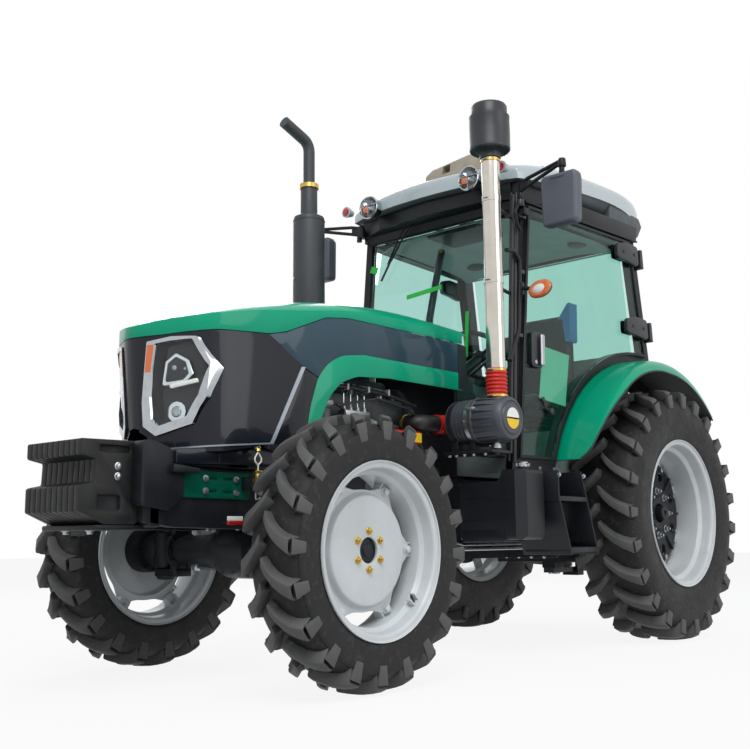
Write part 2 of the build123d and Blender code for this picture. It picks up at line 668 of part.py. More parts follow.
# ---------------------------------------------------------------- cab shell
header_z = 2620.0              # top of the cab's frame
header_wall = 80.0             # thickness of the roof's lining
frame_wall = 45.0              # the pillars, along X
post = 55.0                    # the pillars, along Y
pillar_x = 600.0               # outer face of the front pillar
pillar_lean = 0.1025           # the front pillar leans back this much per unit of height
rear_lean = 0.15
rear_post = 110.0              # width of the rear pillar
side_angle = 3.9               # degrees by which each side spreads to the rear
pillar_foot_y = cab_front_y + 14.0
post_reach = 170.0             # rear edge of the rear pillar's foot, behind the rear axle
fender_r = 985.0
fender_wall = 12.0
opening_r = fender_r + 65.0
door_r = fender_r + 45.0
sill_z = 1100.0
post_foot_z = arc_z(rear_z, fender_r, post_reach)
frame_seat = 4.0               # the frame's arc lies this far over the fender


def splayed(shape):
    """Turn a piece of the left side about the front pillar so that it spreads to the rear."""
    corner = Pos(pillar_x, pillar_foot_y, 0)
    return corner * Rot(0, 0, -side_angle) * corner.inverse() * shape


def front_edge_y(z):
    """Front face of the front pillar at a height."""
    return pillar_foot_y + (z - floor_z) * pillar_lean


def rear_edge_y(z):
    """Rear face of the rear pillar at a height."""
    return rear_y + post_reach - (z - post_foot_z) * rear_lean


def side_outline(inset, low_z, top_z, arc_r, rear_inset):
    """Outline of the cab's side drawn in by an inset, over the fender's arc."""
    front = [(front_edge_y(low_z) + inset, low_z), (front_edge_y(top_z) + inset, top_z)]
    rear_top = (rear_edge_y(top_z) - rear_inset, top_z)
    reach = post_reach - rear_inset
    foot_y = rear_y + reach
    foot_z = arc_z(rear_z, arc_r, reach)
    mid = radians(128)
    arc_mid = (rear_y + arc_r * cos(mid), rear_z + arc_r * sin(mid))
    low_y = rear_y - sqrt(arc_r ** 2 - (low_z - rear_z) ** 2)
    return [front[0], front[1], rear_top, (foot_y, foot_z), (*arc_mid, low_y, low_z)]


ring_x = (pillar_x - frame_wall, pillar_x)
ring = prism_x(side_outline(0, floor_z, header_z, fender_r + frame_seat, 0), ring_x)
hole = prism_x(side_outline(post, sill_z, header_z - post, opening_r, rear_post), (0, 2000))
side_ring = splayed(ring - hole)

glass_wall = 8.0
door_wall = 26.0
door_gap = 3.0
door_x = (pillar_x + door_gap, pillar_x + door_gap + door_wall)
door_lap = 20.0
door_border = 18.0
handle_z = 1500.0
door = prism_x(side_outline(post - door_lap, sill_z - door_lap, header_z - post + door_lap, door_r,
                            rear_post - door_lap), door_x)
window = side_outline(post - door_lap + door_border, sill_z - door_lap + door_border,
                      header_z - post + door_lap - door_border, door_r + door_border,
                      rear_post - door_lap + door_border)
pane_x = (door_x[0] + 8, door_x[0] + 8 + glass_wall)
pane = prism_x(window, pane_x)
door = door - prism_x(window, (0, 2000))

# Door hinges: an axis through two barrels behind the rear edge of the door
hinge_line = 26.0              # the axis behind the door's rear edge
barrel_r = 16.0
barrel_half = 45.0
barrel_zs = (1990.0, 2480.0)


def door_axis_y(z):
    """Place of the door hinge's axis at a height, before the side is splayed."""
    return rear_edge_y(z) - rear_post + door_lap + hinge_line


axis_x = door_x[1] + barrel_r - 6
frame_barrels = []
for z in barrel_zs:
    rise = barrel_half / 2
    low = (axis_x, door_axis_y(z - barrel_half), z - barrel_half)
    high = (axis_x, door_axis_y(z - pivot_gap), z - pivot_gap)
    top = (axis_x, door_axis_y(z + barrel_half), z + barrel_half)
    middle = (axis_x, door_axis_y(z), z)
    frame_barrels.append(rod(low, high, barrel_r))
    frame_barrels.append(prism_x([(door_axis_y(z - barrel_half) - 4, z - barrel_half),
                                  (door_axis_y(z - pivot_gap) - 4, z - pivot_gap - 2),
                                  (door_axis_y(z - pivot_gap) + 8, z - pivot_gap - 2),
                                  (door_axis_y(z - barrel_half) + 8, z - barrel_half)],
                                 (pillar_x - 5, axis_x)))
    door = door + rod(middle, top, barrel_r)
    door = door + prism_x([(door_axis_y(z) - hinge_line - 12, z + 4), (door_axis_y(z) + 4, z + 4),
                           (door_axis_y(z + barrel_half) + 4, z + barrel_half),
                           (door_axis_y(z + barrel_half) - hinge_line - 12, z + barrel_half)],
                          (door_x[1] - 8, axis_x))
handle_y = front_edge_y(handle_z) + post - door_lap + 10
door = door + block((door_x[1] - 2, door_x[1] + 22), (handle_y, handle_y + 32), (handle_z - 90, handle_z + 90))
side_ring = joined([side_ring] + [splayed(piece) for piece in frame_barrels])
parts["door_left"] = splayed(door)
parts["door_left_glass"] = splayed(pane)
parts["door_right"] = other_side(parts["door_left"])
parts["door_right_glass"] = other_side(parts["door_left_glass"])

front_rail_half, rear_rail_half = pillar_x - 25, pillar_x + 65
front_rail = prism_x([(front_edge_y(header_z - post), header_z - post), (front_edge_y(header_z), header_z),
                      (front_edge_y(header_z) + 40, header_z), (front_edge_y(header_z - post) + 40, header_z - post)],
                     (-front_rail_half, front_rail_half))
rear_rail = prism_x([(rear_edge_y(header_z - post) - 40, header_z - post), (rear_edge_y(header_z) - 40, header_z),
                     (rear_edge_y(header_z), header_z), (rear_edge_y(header_z - post), header_z - post)],
                    (-rear_rail_half, rear_rail_half))
parts["cab_frame"] = joined([side_ring, front_rail, rear_rail, other_side(side_ring)])

# ---------------------------------------------------------------- windscreen, rear window, floor
screen_low_z, screen_top_z = 1440.0, header_z - post
screen_inset = 14.0            # the glass lies behind the pillars' front faces
screen_half = pillar_x - frame_wall - 4


def leaning_pane(edge_y, z, set_in, half, wall):
    """A pane across the cab between two heights, as far in as set_in from an edge line."""
    low, high = z
    return prism_x([(edge_y(low) + set_in, low), (edge_y(high) + set_in, high),
                    (edge_y(high) + set_in + wall, high), (edge_y(low) + set_in + wall, low)], (-half, half))


parts["windscreen"] = leaning_pane(front_edge_y, (screen_low_z, screen_top_z - seat_gap), screen_inset,
                                   screen_half, glass_wall)
rear_glass_low_z = 1860.0
rear_glass_half = 600.0
rear_set_in = 50.0
parts["rear_window"] = leaning_pane(rear_edge_y, (rear_glass_low_z, header_z - post - seat_gap), -rear_set_in,
                                    rear_glass_half, glass_wall)

floor_wall = 40.0
deck_z = 1290.0                # the raised floor under the seat
deck_y = rear_y - 660.0
back_top_z = 1745.0            # top of the rear wall, where the leaning panel under the window starts
panel_wall = 30.0              # thickness of the leaning panels
panel_lap = 13.0               # of the leaning panel over the rear wall
panel_set_in = rear_set_in + 5.0
back_y = rear_edge_y(back_top_z) - panel_set_in - floor_wall + panel_lap   # inside face of the rear wall
wall_x = (535.0, 558.0)        # side walls beside the wheels
floor_half = pillar_x - frame_wall - seat_gap
screen_foot_y = front_edge_y(floor_z)
cab_pieces = [
    block((-floor_half, floor_half), (screen_foot_y + 20, deck_y), (floor_z, floor_z + floor_wall)),
    block((-floor_half, floor_half), (deck_y - floor_wall, deck_y), (floor_z, deck_z)),
    block((-wall_x[1], wall_x[1]), (deck_y - floor_wall, back_y + floor_wall), (deck_z - floor_wall, deck_z)),
    block((-wall_x[1], wall_x[1]), (back_y, back_y + floor_wall), (deck_z - floor_wall, back_top_z)),
    leaning_pane(front_edge_y, (floor_z, screen_low_z - seat_gap), screen_inset - 8, screen_half, panel_wall),
    leaning_pane(rear_edge_y, (back_top_z - 10, rear_glass_low_z - seat_gap), -panel_set_in, wall_x[0] - 15, panel_wall),
]
wall_arc_r = fender_r - fender_wall - seat_gap
wall_side = [(rear_y - sqrt(wall_arc_r ** 2 - (floor_z - rear_z) ** 2), floor_z),
             (rear_y + wall_arc_r * cos(radians(125)), rear_z + wall_arc_r * sin(radians(125)),
              back_y + floor_wall, arc_z(rear_z, wall_arc_r, back_y + floor_wall - rear_y)),
             (back_y + floor_wall, floor_z)]
for pair in both_sides(*wall_x):
    cab_pieces.append(prism_x(wall_side, pair))
parts["cab_floor"] = joined(cab_pieces)

# ---------------------------------------------------------------- fenders
fender_x = (wall_x[1] + 12, 930.0)
fender_ends = (42.0, 162.2)    # degrees about the rear axle, from the rear round to the front


def ring_arc(outer_r, inner_r, ends, x):
    """A curved sheet about the rear axle between two angles."""
    first, last = (radians(angle) for angle in ends)
    middle = (first + last) / 2

    def spot(radius, angle):
        return (rear_y + radius * cos(angle), rear_z + radius * sin(angle))
    points = [spot(outer_r, first), (*spot(outer_r, middle), *spot(outer_r, last)),
              spot(inner_r, last), (*spot(inner_r, middle), *spot(inner_r, first))]
    return prism_x(points, x)


fender = ring_arc(fender_r, fender_r - fender_wall, fender_ends, (wall_x[0] - 10, fender_x[1]))
fender = fender + ring_arc(fender_r, fender_r - 24, fender_ends, (fender_x[1] - fender_wall, fender_x[1]))
taper = prism_y([(wall_x[0], 960), (640, 1010), (800, 1306), (905, 1520), (940, 1620), (1200, 1620), (1200, 960)],
                (rear_y - 1100, rear_y - 300))
fender = fender - taper
parts["fender_left"] = fender
parts["fender_right"] = other_side(fender)

# ---------------------------------------------------------------- roof
roof_z = (header_z + header_wall, 2800.0, 2890.0, 2925.0)   # underside, front edge, middle, rear edge
roof_front_y, roof_back_y = cab_front_y + 20.0, rear_y + 215.0
roof_half = 700.0
roof_plan = [(0, roof_front_y - 40), (430, roof_front_y - 5), (640, roof_front_y + 85), (roof_half, roof_front_y + 300),
             (roof_half, roof_back_y - 260), (640, roof_back_y - 40), (0, roof_back_y)]


def roof_slab(inset, z):
    """The roof's plan drawn in by an inset, between two heights."""
    middle_y = (roof_front_y + roof_back_y) / 2
    half = [(x * (roof_half - inset) / roof_half, y + (inset if y < middle_y else -inset)) for x, y in roof_plan]
    return prism_z(half + [(-x, y) for x, y in reversed(half[1:-1])], z)


middle_y = (roof_front_y + roof_back_y) / 2
roof_side = [(roof_front_y - 60, roof_z[0]), (roof_front_y - 60, roof_z[1] - 5),
             (middle_y, roof_z[2], roof_back_y + 20, roof_z[3]), (roof_back_y + 20, roof_z[0])]
roof_front = [(-roof_half - 5, roof_z[0]), (-roof_half - 5, roof_z[3] + 10),
              (0, roof_z[3] + 35, roof_half + 5, roof_z[3] + 10), (roof_half + 5, roof_z[0])]
roof = roof_slab(0, (roof_z[0], roof_z[3] + 60))
roof = roof & prism_x(roof_side, (-roof_half - 50, roof_half + 50))
parts["roof_shell"] = roof & prism_y(roof_front, (roof_front_y - 100, roof_back_y + 100))
parts["roof_lining"] = roof_slab(45, (header_z + seat_gap, roof_z[0] - seat_gap))

lamp_x, lamp_r = 395.0, 76.0
roof_lamps = []
for side in (1, -1):
    lamp_y = roof_front_y - 32
    roof_lamps.append(rod((side * lamp_x, lamp_y - 40, roof_z[0] + 42),
                          (side * lamp_x, lamp_y + 34.5, roof_z[0] + 42), lamp_r))
parts["roof_lamps"] = Compound(children=[piece - parts["roof_shell"] for piece in roof_lamps])

# ---------------------------------------------------------------- seat, console, steering
seat_half = 250.0
seat_y = (rear_y - 540.0, rear_y - 40.0)
seat_z = (1450.0, 1570.0, 2130.0)
seat = joined([
    block((-160, 160), (seat_y[0] + 90, seat_y[1] - 60), (deck_z + seat_gap, seat_z[0])),
    block((-seat_half, seat_half), seat_y, (seat_z[0], seat_z[1])),
    prism_x([(seat_y[1] - 110, seat_z[1]), (seat_y[1] - 40, seat_z[2]), (seat_y[1] + 50, seat_z[2]),
             (seat_y[1], seat_z[1])], (-seat_half + 15, seat_half - 15)),
])
parts["seat"] = seat
console_y = (front_edge_y(screen_low_z) + 60, front_edge_y(screen_low_z) + 240)
wheel_centre = (0, rear_y - 800.0, 1800.0)
wheel_tilt = 40.0
column_top_z = 1640.0
steering_wheel_r = 205.0
wheel_plane = Plane(origin=wheel_centre, z_dir=(0, sin(radians(wheel_tilt)), cos(radians(wheel_tilt))))
steering = [
    block((-150, 150), console_y, (floor_z + floor_wall + seat_gap, column_top_z)),
    rod((0, console_y[0] + 100, column_top_z - 40), wheel_centre, 38),
    Solid.make_torus(steering_wheel_r, 16, wheel_plane),
]
for turn in (90, 210, 330):
    spoke = wheel_plane.from_local_coords(Vector(steering_wheel_r * cos(radians(turn)),
                                                 steering_wheel_r * sin(radians(turn)), 0))
    steering.append(rod(wheel_centre, tuple(spoke), 10))
parts["steering_column"] = joined(steering)
parts["side_console"] = block((-520, -320), (deck_y + 30, back_y - 60), (deck_z + seat_gap, 1620))

# ---------------------------------------------------------------- mirrors
mirror_x, mirror_y, mirror_z = (835.0, 1065.0), (cab_front_y + 30, cab_front_y + 110), (2360.0, 2660.0)
arm_r = 12.0
arm_foot = (roof_half - 90, roof_front_y + 230, roof_z[0] - 40)
arm_head = (mirror_x[1] - 60, (mirror_y[0] + mirror_y[1]) / 2, mirror_z[1] + 45)
mirror_arm = joined([
    rod(arm_foot, arm_head, arm_r),
    rod(arm_head, (arm_head[0], arm_head[1], mirror_z[1] - 20), arm_r),
    Pos(*arm_head) * Sphere(arm_r),
])
mirror_left = mirror_arm + block(mirror_x, mirror_y, mirror_z)
mirror_left = mirror_left - parts["roof_lining"]
parts["mirrors"] = Compound(children=[mirror_left, other_side(mirror_left)])

# ---------------------------------------------------------------- tank, battery box, steps
tank = prism_y([(tank_x[0], tank_z[0]), (tank_x[1], tank_z[0]), (tank_x[1], tank_z[2]),
                (tank_step_x, tank_z[2]), (tank_step_x, tank_z[1]), (tank_x[0], tank_z[1])], tank_y)
cap_x, cap_r = (tank_step_x + tank_x[1]) / 2, 34.0
cap_y = (tank_y[0] + tank_y[1]) / 2
parts["fuel_tank"] = tank + rod((cap_x, cap_y, tank_z[2]), (cap_x, cap_y, tank_z[2] + 45), cap_r)
box_half_x = 760.0
parts["battery_box"] = block((-box_half_x, -tank_x[0]), tank_y, (tank_z[0], tank_z[1]))

tread_x = (590.0, 880.0)
tread_wall = 26.0
step_wall = 12.0
treads = (                     # front, rear, top
    (hood_y(1462.0), hood_y(1762.0), 860.0),
    (hood_y(1560.0), hood_y(1880.0), 585.0),
)
step_top_z = floor_z - seat_gap
step_slope = (treads[1][0] - treads[0][0]) / (treads[0][2] - treads[1][2])
step_set = []
for column in (0, 1):
    y_top = treads[0][column] - column * (step_top_z - treads[0][2]) * step_slope
    y_low = treads[0][column] + (treads[0][2] - treads[1][2] + 40) * step_slope
    inward = step_wall if column == 0 else -step_wall
    step_set.append(prism_x([(y_top, step_top_z), (treads[0][column], treads[0][2]), (y_low, treads[1][2] - 40), (y_low + inward, treads[1][2] - 40),
                             (treads[0][column] + inward, treads[0][2]), (y_top + inward, step_top_z)],
                            (tread_x[0] - 20, tread_x[1])))
for front, rear, top in treads:
    step_set.append(block(tread_x, (front + 4, rear - 4), (top - tread_wall, top)))
steps_left = joined(step_set)
parts["steps"] = Compound(children=[steps_left, other_side(steps_left)])

# ---------------------------------------------------------------- air cleaner, intake stack, exhaust
cleaner_x = (430.0, 820.0)
stack_y = 1155.0               # the intake stack, behind the front axle
cleaner_y, cleaner_z, cleaner_r = hood_y(stack_y), 1262.0, 135.0
cover_x, body_r = 610.0, 119.0
cleaner = cross_rod((cleaner_x[0], cover_x + 5), cleaner_y, cleaner_z, body_r)
cleaner = cleaner + cross_rod((cover_x, cleaner_x[1]), cleaner_y, cleaner_z, cleaner_r)
bracket_y = (cleaner_y + body_r - 25, front_edge_y(cleaner_z - 40) + screen_inset - 8 - seat_gap)
cleaner = cleaner + block((480, 545), bracket_y, (cleaner_z - 40, cleaner_z + 20))
stack_x, stack_r = 710.0, 52.0
bellows_r = 60.0
stack_z = (1380.0, 1536.0, 2712.0)
bellows_folds, bellows_deep = 5, 8.0
parts["air_cleaner"] = cleaner
saddle = rod((stack_x, cleaner_y, stack_z[0]), (stack_x, cleaner_y, stack_z[1]), bellows_r - bellows_deep)
fold = (stack_z[1] - stack_z[0]) / bellows_folds
for index in range(bellows_folds):
    z = stack_z[0] + (index + 0.5) * fold
    saddle = saddle + rod((stack_x, cleaner_y, z - fold / 4), (stack_x, cleaner_y, z + fold / 4), bellows_r)
saddle = saddle + rod((stack_x, cleaner_y, cleaner_z), (stack_x, cleaner_y, stack_z[0] + 5), stack_r)
stack = saddle - cross_rod((cleaner_x[0] - 10, cleaner_x[1] + 10), cleaner_y, cleaner_z, cleaner_r + seat_gap)
stack = stack + rod((stack_x, cleaner_y, stack_z[1]), (stack_x, cleaner_y, stack_z[2]), stack_r)
clamp_zs = (2019.0, 2481.0)
for z in clamp_zs:
    stack = stack + rod((stack_x, cleaner_y, z - 17), (stack_x, cleaner_y, z + 17), stack_r + 6)
    stack = stack + rod((stack_x, cleaner_y, z), (pillar_x - 20, front_edge_y(z) - seat_gap, z), 11)
stack = stack - parts["cab_frame"]
parts["intake_stack"] = stack
bowl_r, bowl_z = 114.0, (2757.0, 2957.0, 3029.0)
bowl = rod((stack_x, cleaner_y, stack_z[2] + seat_gap), (stack_x, cleaner_y, bowl_z[0] + 20), stack_r + 8)
bowl = bowl + rod((stack_x, cleaner_y, bowl_z[0]), (stack_x, cleaner_y, bowl_z[1]), bowl_r)
parts["precleaner"] = bowl + rod((stack_x, cleaner_y, bowl_z[1]), (stack_x, cleaner_y, bowl_z[2]), bowl_r - 12)

hose_r = 48.0
hose_start = (cleaner_x[0] - seat_gap, cleaner_y, cleaner_z)
hose_end = (engine_half + seat_gap, cleaner_y - 200, cleaner_z)
hose_path = FilletPolyline(hose_start, (hose_start[0] - 95, cleaner_y, cleaner_z),
                           (hose_start[0] - 95, cleaner_y - 200, cleaner_z), hose_end, radius=70)
parts["intake_hose"] = sweep(Plane(origin=hose_start, z_dir=(-1, 0, 0)) * Circle(hose_r), path=hose_path)

exhaust_x, exhaust_y = -500.0, hood_y(945.0)
exhaust_pipe_z, muffler_z, outlet_z = 1330.0, (1780.0, 2605.0), 2811.0
muffler_r, outlet_r, tail_r, pipe_r = 97.0, 52.0, 36.0, 42.0
tail_bend_z, tail_tip = 3040.0, (-225.0, 3150.0)
pipe_bend = 75.0
riser = FilletPolyline((-engine_half - seat_gap, exhaust_y, exhaust_pipe_z), (exhaust_x, exhaust_y, exhaust_pipe_z),
                       (exhaust_x, exhaust_y, muffler_z[0] + 20), radius=pipe_bend)
exhaust = sweep(Plane(origin=(-engine_half - seat_gap, exhaust_y, exhaust_pipe_z), z_dir=(-1, 0, 0))
                * Circle(pipe_r), path=riser)
exhaust = exhaust + rod((exhaust_x, exhaust_y, muffler_z[0]), (exhaust_x, exhaust_y, muffler_z[1]), muffler_r)
exhaust = exhaust + rod((exhaust_x, exhaust_y, muffler_z[1] - 5), (exhaust_x, exhaust_y, outlet_z), outlet_r)
tail_y = exhaust_y + tail_tip[0]
tail = FilletPolyline((exhaust_x, exhaust_y, outlet_z - 5), (exhaust_x, exhaust_y, tail_bend_z + 30),
                      (exhaust_x, tail_y, tail_tip[1]), radius=80)
exhaust = exhaust + sweep(Plane(origin=(exhaust_x, exhaust_y, outlet_z - 5)) * Circle(tail_r), path=tail)
for z, r in ((muffler_z[0] + 60, muffler_r + 6), (outlet_z - 20, outlet_r + 8)):
    exhaust = exhaust + rod((exhaust_x, exhaust_y, z - 14), (exhaust_x, exhaust_y, z + 14), r)
parts["exhaust_stack"] = exhaust

if __name__ == "__main__":
    os.makedirs("parts", exist_ok=True)
    for name, shape in parts.items():
        export_step(shape, "parts/" + name + ".step")
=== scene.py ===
from math import acos, asin, atan2, cos, degrees, pi, radians, sin, sqrt, tan

import bpy
from mathutils import Matrix, Vector


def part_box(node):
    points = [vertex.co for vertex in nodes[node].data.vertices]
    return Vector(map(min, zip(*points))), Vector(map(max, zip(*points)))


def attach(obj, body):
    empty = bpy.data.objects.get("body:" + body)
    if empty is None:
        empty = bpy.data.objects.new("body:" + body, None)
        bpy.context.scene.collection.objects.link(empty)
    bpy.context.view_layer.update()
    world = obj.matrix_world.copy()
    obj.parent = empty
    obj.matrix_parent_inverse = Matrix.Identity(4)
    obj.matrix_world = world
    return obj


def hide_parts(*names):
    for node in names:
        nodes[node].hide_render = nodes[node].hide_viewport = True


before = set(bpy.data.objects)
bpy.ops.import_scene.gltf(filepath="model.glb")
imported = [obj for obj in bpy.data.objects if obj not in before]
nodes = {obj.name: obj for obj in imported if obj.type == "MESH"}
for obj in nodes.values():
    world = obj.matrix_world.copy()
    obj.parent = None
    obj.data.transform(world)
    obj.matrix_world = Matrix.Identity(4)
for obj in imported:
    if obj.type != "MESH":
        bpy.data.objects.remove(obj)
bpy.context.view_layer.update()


def middle(node):
    """The middle of a CAD node's box."""
    low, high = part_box(node)
    return (low + high) / 2


FRONT_AXLE = middle("front_tyre_left")
REAR_AXLE = middle("rear_tyre_left")
FRONT_Y, REAR_Y = FRONT_AXLE.y, REAR_AXLE.y
FRONT_R = FRONT_AXLE.z
REAR_R = REAR_AXLE.z


def along(y):
    """A place measured from the front axle."""
    return FRONT_Y + y


# ---------------------------------------------------------------- camera, light, floor
VIEW_FROM = (3.761, along(-3.292), 0.653)
VIEW_TURN, VIEW_RISE, VIEW_ROLL = 41.374, 9.104, -0.544
LENS_MM = 48.57


def set_camera():
    """The camera stands low, off the left front wheel, and looks slightly up."""
    data = bpy.data.cameras.new("camera")
    data.lens = LENS_MM
    data.sensor_width = 36.0
    camera = bpy.data.objects.new("camera", data)
    bpy.context.scene.collection.objects.link(camera)
    turn = Matrix.Rotation(radians(VIEW_TURN), 4, "Z") @ Matrix.Rotation(radians(90 + VIEW_RISE), 4, "X")
    camera.matrix_world = Matrix.Translation(VIEW_FROM) @ turn @ Matrix.Rotation(radians(VIEW_ROLL), 4, "Z")
    bpy.context.scene.camera = camera


def soft_light(name, place, aim, size, watts):
    """A square lamp that faces a point."""
    data = bpy.data.lights.new(name, "AREA")
    data.size = size
    data.energy = watts
    lamp = bpy.data.objects.new(name, data)
    lamp.location = place
    lamp.rotation_euler = (Vector(aim) - Vector(place)).to_track_quat("-Z", "Y").to_euler()
    bpy.context.scene.collection.objects.link(lamp)


def linear(code):
    """The linear colour of an sRGB hex value."""
    values = [int(code[start:start + 2], 16) / 255 for start in (1, 3, 5)]
    return tuple(v / 12.92 if v <= 0.04045 else ((v + 0.055) / 1.055) ** 2.4 for v in values) + (1.0,)


def add(tree, kind, links=(), **settings):
    """Add a node with its settings; links pairs a socket with a value or with another node's output."""
    made = tree.nodes.new(kind)
    for key, value in settings.items():
        setattr(made, key, value)
    for socket, source in dict(links).items():
        if isinstance(source, bpy.types.NodeSocket):
            tree.links.new(source, made.inputs[socket])
        else:
            made.inputs[socket].default_value = source
    return made


def new_material(name):
    """An empty material and its output node."""
    material = bpy.data.materials.new(name)
    material.use_nodes = True
    tree = material.node_tree
    tree.nodes.clear()
    return material, tree


def seen_directly(tree):
    """1 for the camera, for reflections and for what is seen through glass."""
    path = add(tree, "ShaderNodeLightPath")
    first = add(tree, "ShaderNodeMath", {0: path.outputs["Is Camera Ray"], 1: path.outputs["Is Glossy Ray"]},
                operation="MAXIMUM")
    return add(tree, "ShaderNodeMath", {0: first.outputs[0], 1: path.outputs["Is Transmission Ray"]},
               operation="MAXIMUM").outputs[0]


def set_studio():
    """White surroundings, a white floor that keeps the shadow, and two soft lamps."""
    bpy.context.scene.view_settings.view_transform = "Standard"
    world = bpy.data.worlds.new("studio")
    bpy.context.scene.world = world
    world.use_nodes = True
    tree = world.node_tree
    tree.nodes.clear()
    shown = add(tree, "ShaderNodeBackground", {"Color": (1, 1, 1, 1), "Strength": 1.0})
    lit = add(tree, "ShaderNodeBackground", {"Color": linear("#f4f7fb"), "Strength": 0.52})
    mix = add(tree, "ShaderNodeMixShader", {0: seen_directly(tree), 1: lit.outputs[0], 2: shown.outputs[0]})
    add(tree, "ShaderNodeOutputWorld", {"Surface": mix.outputs[0]})
    soft_light("key_light", (5.0, -5.5, 8.5), (0, 0, 1.0), 5.0, 600)
    soft_light("side_light", (7.5, 1.0, 3.6), (0, 0.3, 1.2), 4.0, 120)
    soft_light("back_light", (-6.0, 4.0, 6.0), (0, 0, 1.4), 4.0, 230)

    deselect()
    bpy.ops.mesh.primitive_plane_add(size=60, location=(0, 0, 0))
    floor = bpy.context.object
    floor.name = "floor"
    material, tree = new_material("studio_paper")
    matt = add(tree, "ShaderNodeBsdfDiffuse", {"Color": linear("#d6d6d6")})
    glow = add(tree, "ShaderNodeEmission", {"Color": (1, 1, 1, 1), "Strength": 1.0})
    share = add(tree, "ShaderNodeMath", {0: seen_directly(tree), 1: 0.89}, operation="MULTIPLY")
    mix = add(tree, "ShaderNodeMixShader", {0: share.outputs[0], 1: matt.outputs[0], 2: glow.outputs[0]})
    add(tree, "ShaderNodeOutputMaterial", {"Surface": mix.outputs[0]})
    floor.data.materials.append(material)


def deselect():
    """Leave edit mode with nothing selected."""
    if bpy.context.object and bpy.context.object.mode != "OBJECT":
        bpy.ops.object.mode_set(mode="OBJECT")
    bpy.ops.object.select_all(action="DESELECT")


# ---------------------------------------------------------------- materials
def surface(name, colour, tint=None, tint_mm=150.0, rough=0.5, rough_swing=0.06, grain_mm=0.0,
            bump_mm=0.05, stretch=(1, 1, 1), **sockets):
    """A finish whose colour drifts to a tint in patches, over a grain of the given width and height."""
    material, tree = new_material(name)
    place = add(tree, "ShaderNodeTexCoord").outputs["Object"]
    patches = add(tree, "ShaderNodeTexNoise", {"Vector": place, "Scale": 1000 / tint_mm, "Detail": 5.0,
                                               "Roughness": 0.6})
    ramp = add(tree, "ShaderNodeValToRGB", {"Fac": patches.outputs["Fac"]})
    ramp.color_ramp.elements[0].position, ramp.color_ramp.elements[1].position = 0.35, 0.72
    ramp.color_ramp.elements[0].color = linear(colour)
    ramp.color_ramp.elements[1].color = linear(tint or colour)
    sheen = add(tree, "ShaderNodeMapRange", {"Value": patches.outputs["Fac"], "From Min": 0.3, "From Max": 0.7,
                                             "To Min": rough - rough_swing, "To Max": rough + rough_swing})
    shader = add(tree, "ShaderNodeBsdfPrincipled", {"Base Color": ramp.outputs["Color"],
                                                    "Roughness": sheen.outputs["Result"]})
    for socket, value in sockets.items():
        shader.inputs[socket.replace("_", " ").title().replace("Ior", "IOR")].default_value = value
    if grain_mm:
        scaled = add(tree, "ShaderNodeMapping", {"Vector": place, "Scale": stretch})
        grain = add(tree, "ShaderNodeTexNoise", {"Vector": scaled.outputs[0], "Scale": 1000 / grain_mm,
                                                 "Detail": 3.0})
        bump = add(tree, "ShaderNodeBump", {"Height": grain.outputs["Fac"], "Strength": 0.6,
                                            "Distance": bump_mm / 1000})
        tree.links.new(bump.outputs["Normal"], shader.inputs["Normal"])
    add(tree, "ShaderNodeOutputMaterial", {"Surface": shader.outputs[0]})
    return material


def vulcanised_rubber(name, colour, tint):
    """Carbon-black tyre rubber: matt charcoal, dry and paler where the mould's skin has bloomed."""
    material = surface(name, colour, tint, 90, 0.58, 0.1, 2.5, 0.35, specular_ior_level=0.3)
    tree = material.node_tree
    shader = next(n for n in tree.nodes if n.type == "BSDF_PRINCIPLED")
    ramp = next(n for n in tree.nodes if n.type == "VALTORGB")
    place = add(tree, "ShaderNodeTexCoord").outputs["Object"]
    dust = add(tree, "ShaderNodeTexNoise", {"Vector": place, "Scale": 1000 / 28, "Detail": 6.0})
    share = add(tree, "ShaderNodeMapRange", {"Value": dust.outputs["Fac"], "From Min": 0.55, "From Max": 0.8,
                                             "To Min": 0.0, "To Max": 0.35})
    mix = add(tree, "ShaderNodeMix", {0: share.outputs[0], 6: ramp.outputs[0], 7: linear("#5a5349")},
              data_type="RGBA")
    tree.links.new(mix.outputs[2], shader.inputs["Base Color"])
    return material


def woven_polyester():
    """Seat cloth of coarse dark yarn: threads 2 mm apart, drawn twice as coarse so that they show."""
    material, tree = new_material("woven_polyester")
    place = add(tree, "ShaderNodeTexCoord").outputs["Object"]
    threads = []
    for axis in ("X", "Z"):
        threads.append(add(tree, "ShaderNodeTexWave", {"Vector": place, "Scale": 1000 / 4 / 20, "Distortion": 0.6},
                           bands_direction=axis).outputs["Fac"])
    weave = add(tree, "ShaderNodeMath", {0: threads[0], 1: threads[1]}, operation="MULTIPLY")
    ramp = add(tree, "ShaderNodeValToRGB", {"Fac": weave.outputs[0]})
    ramp.color_ramp.elements[0].color = linear("#15171b")
    ramp.color_ramp.elements[1].color = linear("#2d3138")
    bump = add(tree, "ShaderNodeBump", {"Height": weave.outputs[0], "Strength": 0.7, "Distance": 0.0008})
    shader = add(tree, "ShaderNodeBsdfPrincipled", {"Base Color": ramp.outputs[0], "Roughness": 0.88,
                                                    "Sheen Weight": 0.3, "Normal": bump.outputs["Normal"]})
    add(tree, "ShaderNodeOutputMaterial", {"Surface": shader.outputs[0]})
    return material


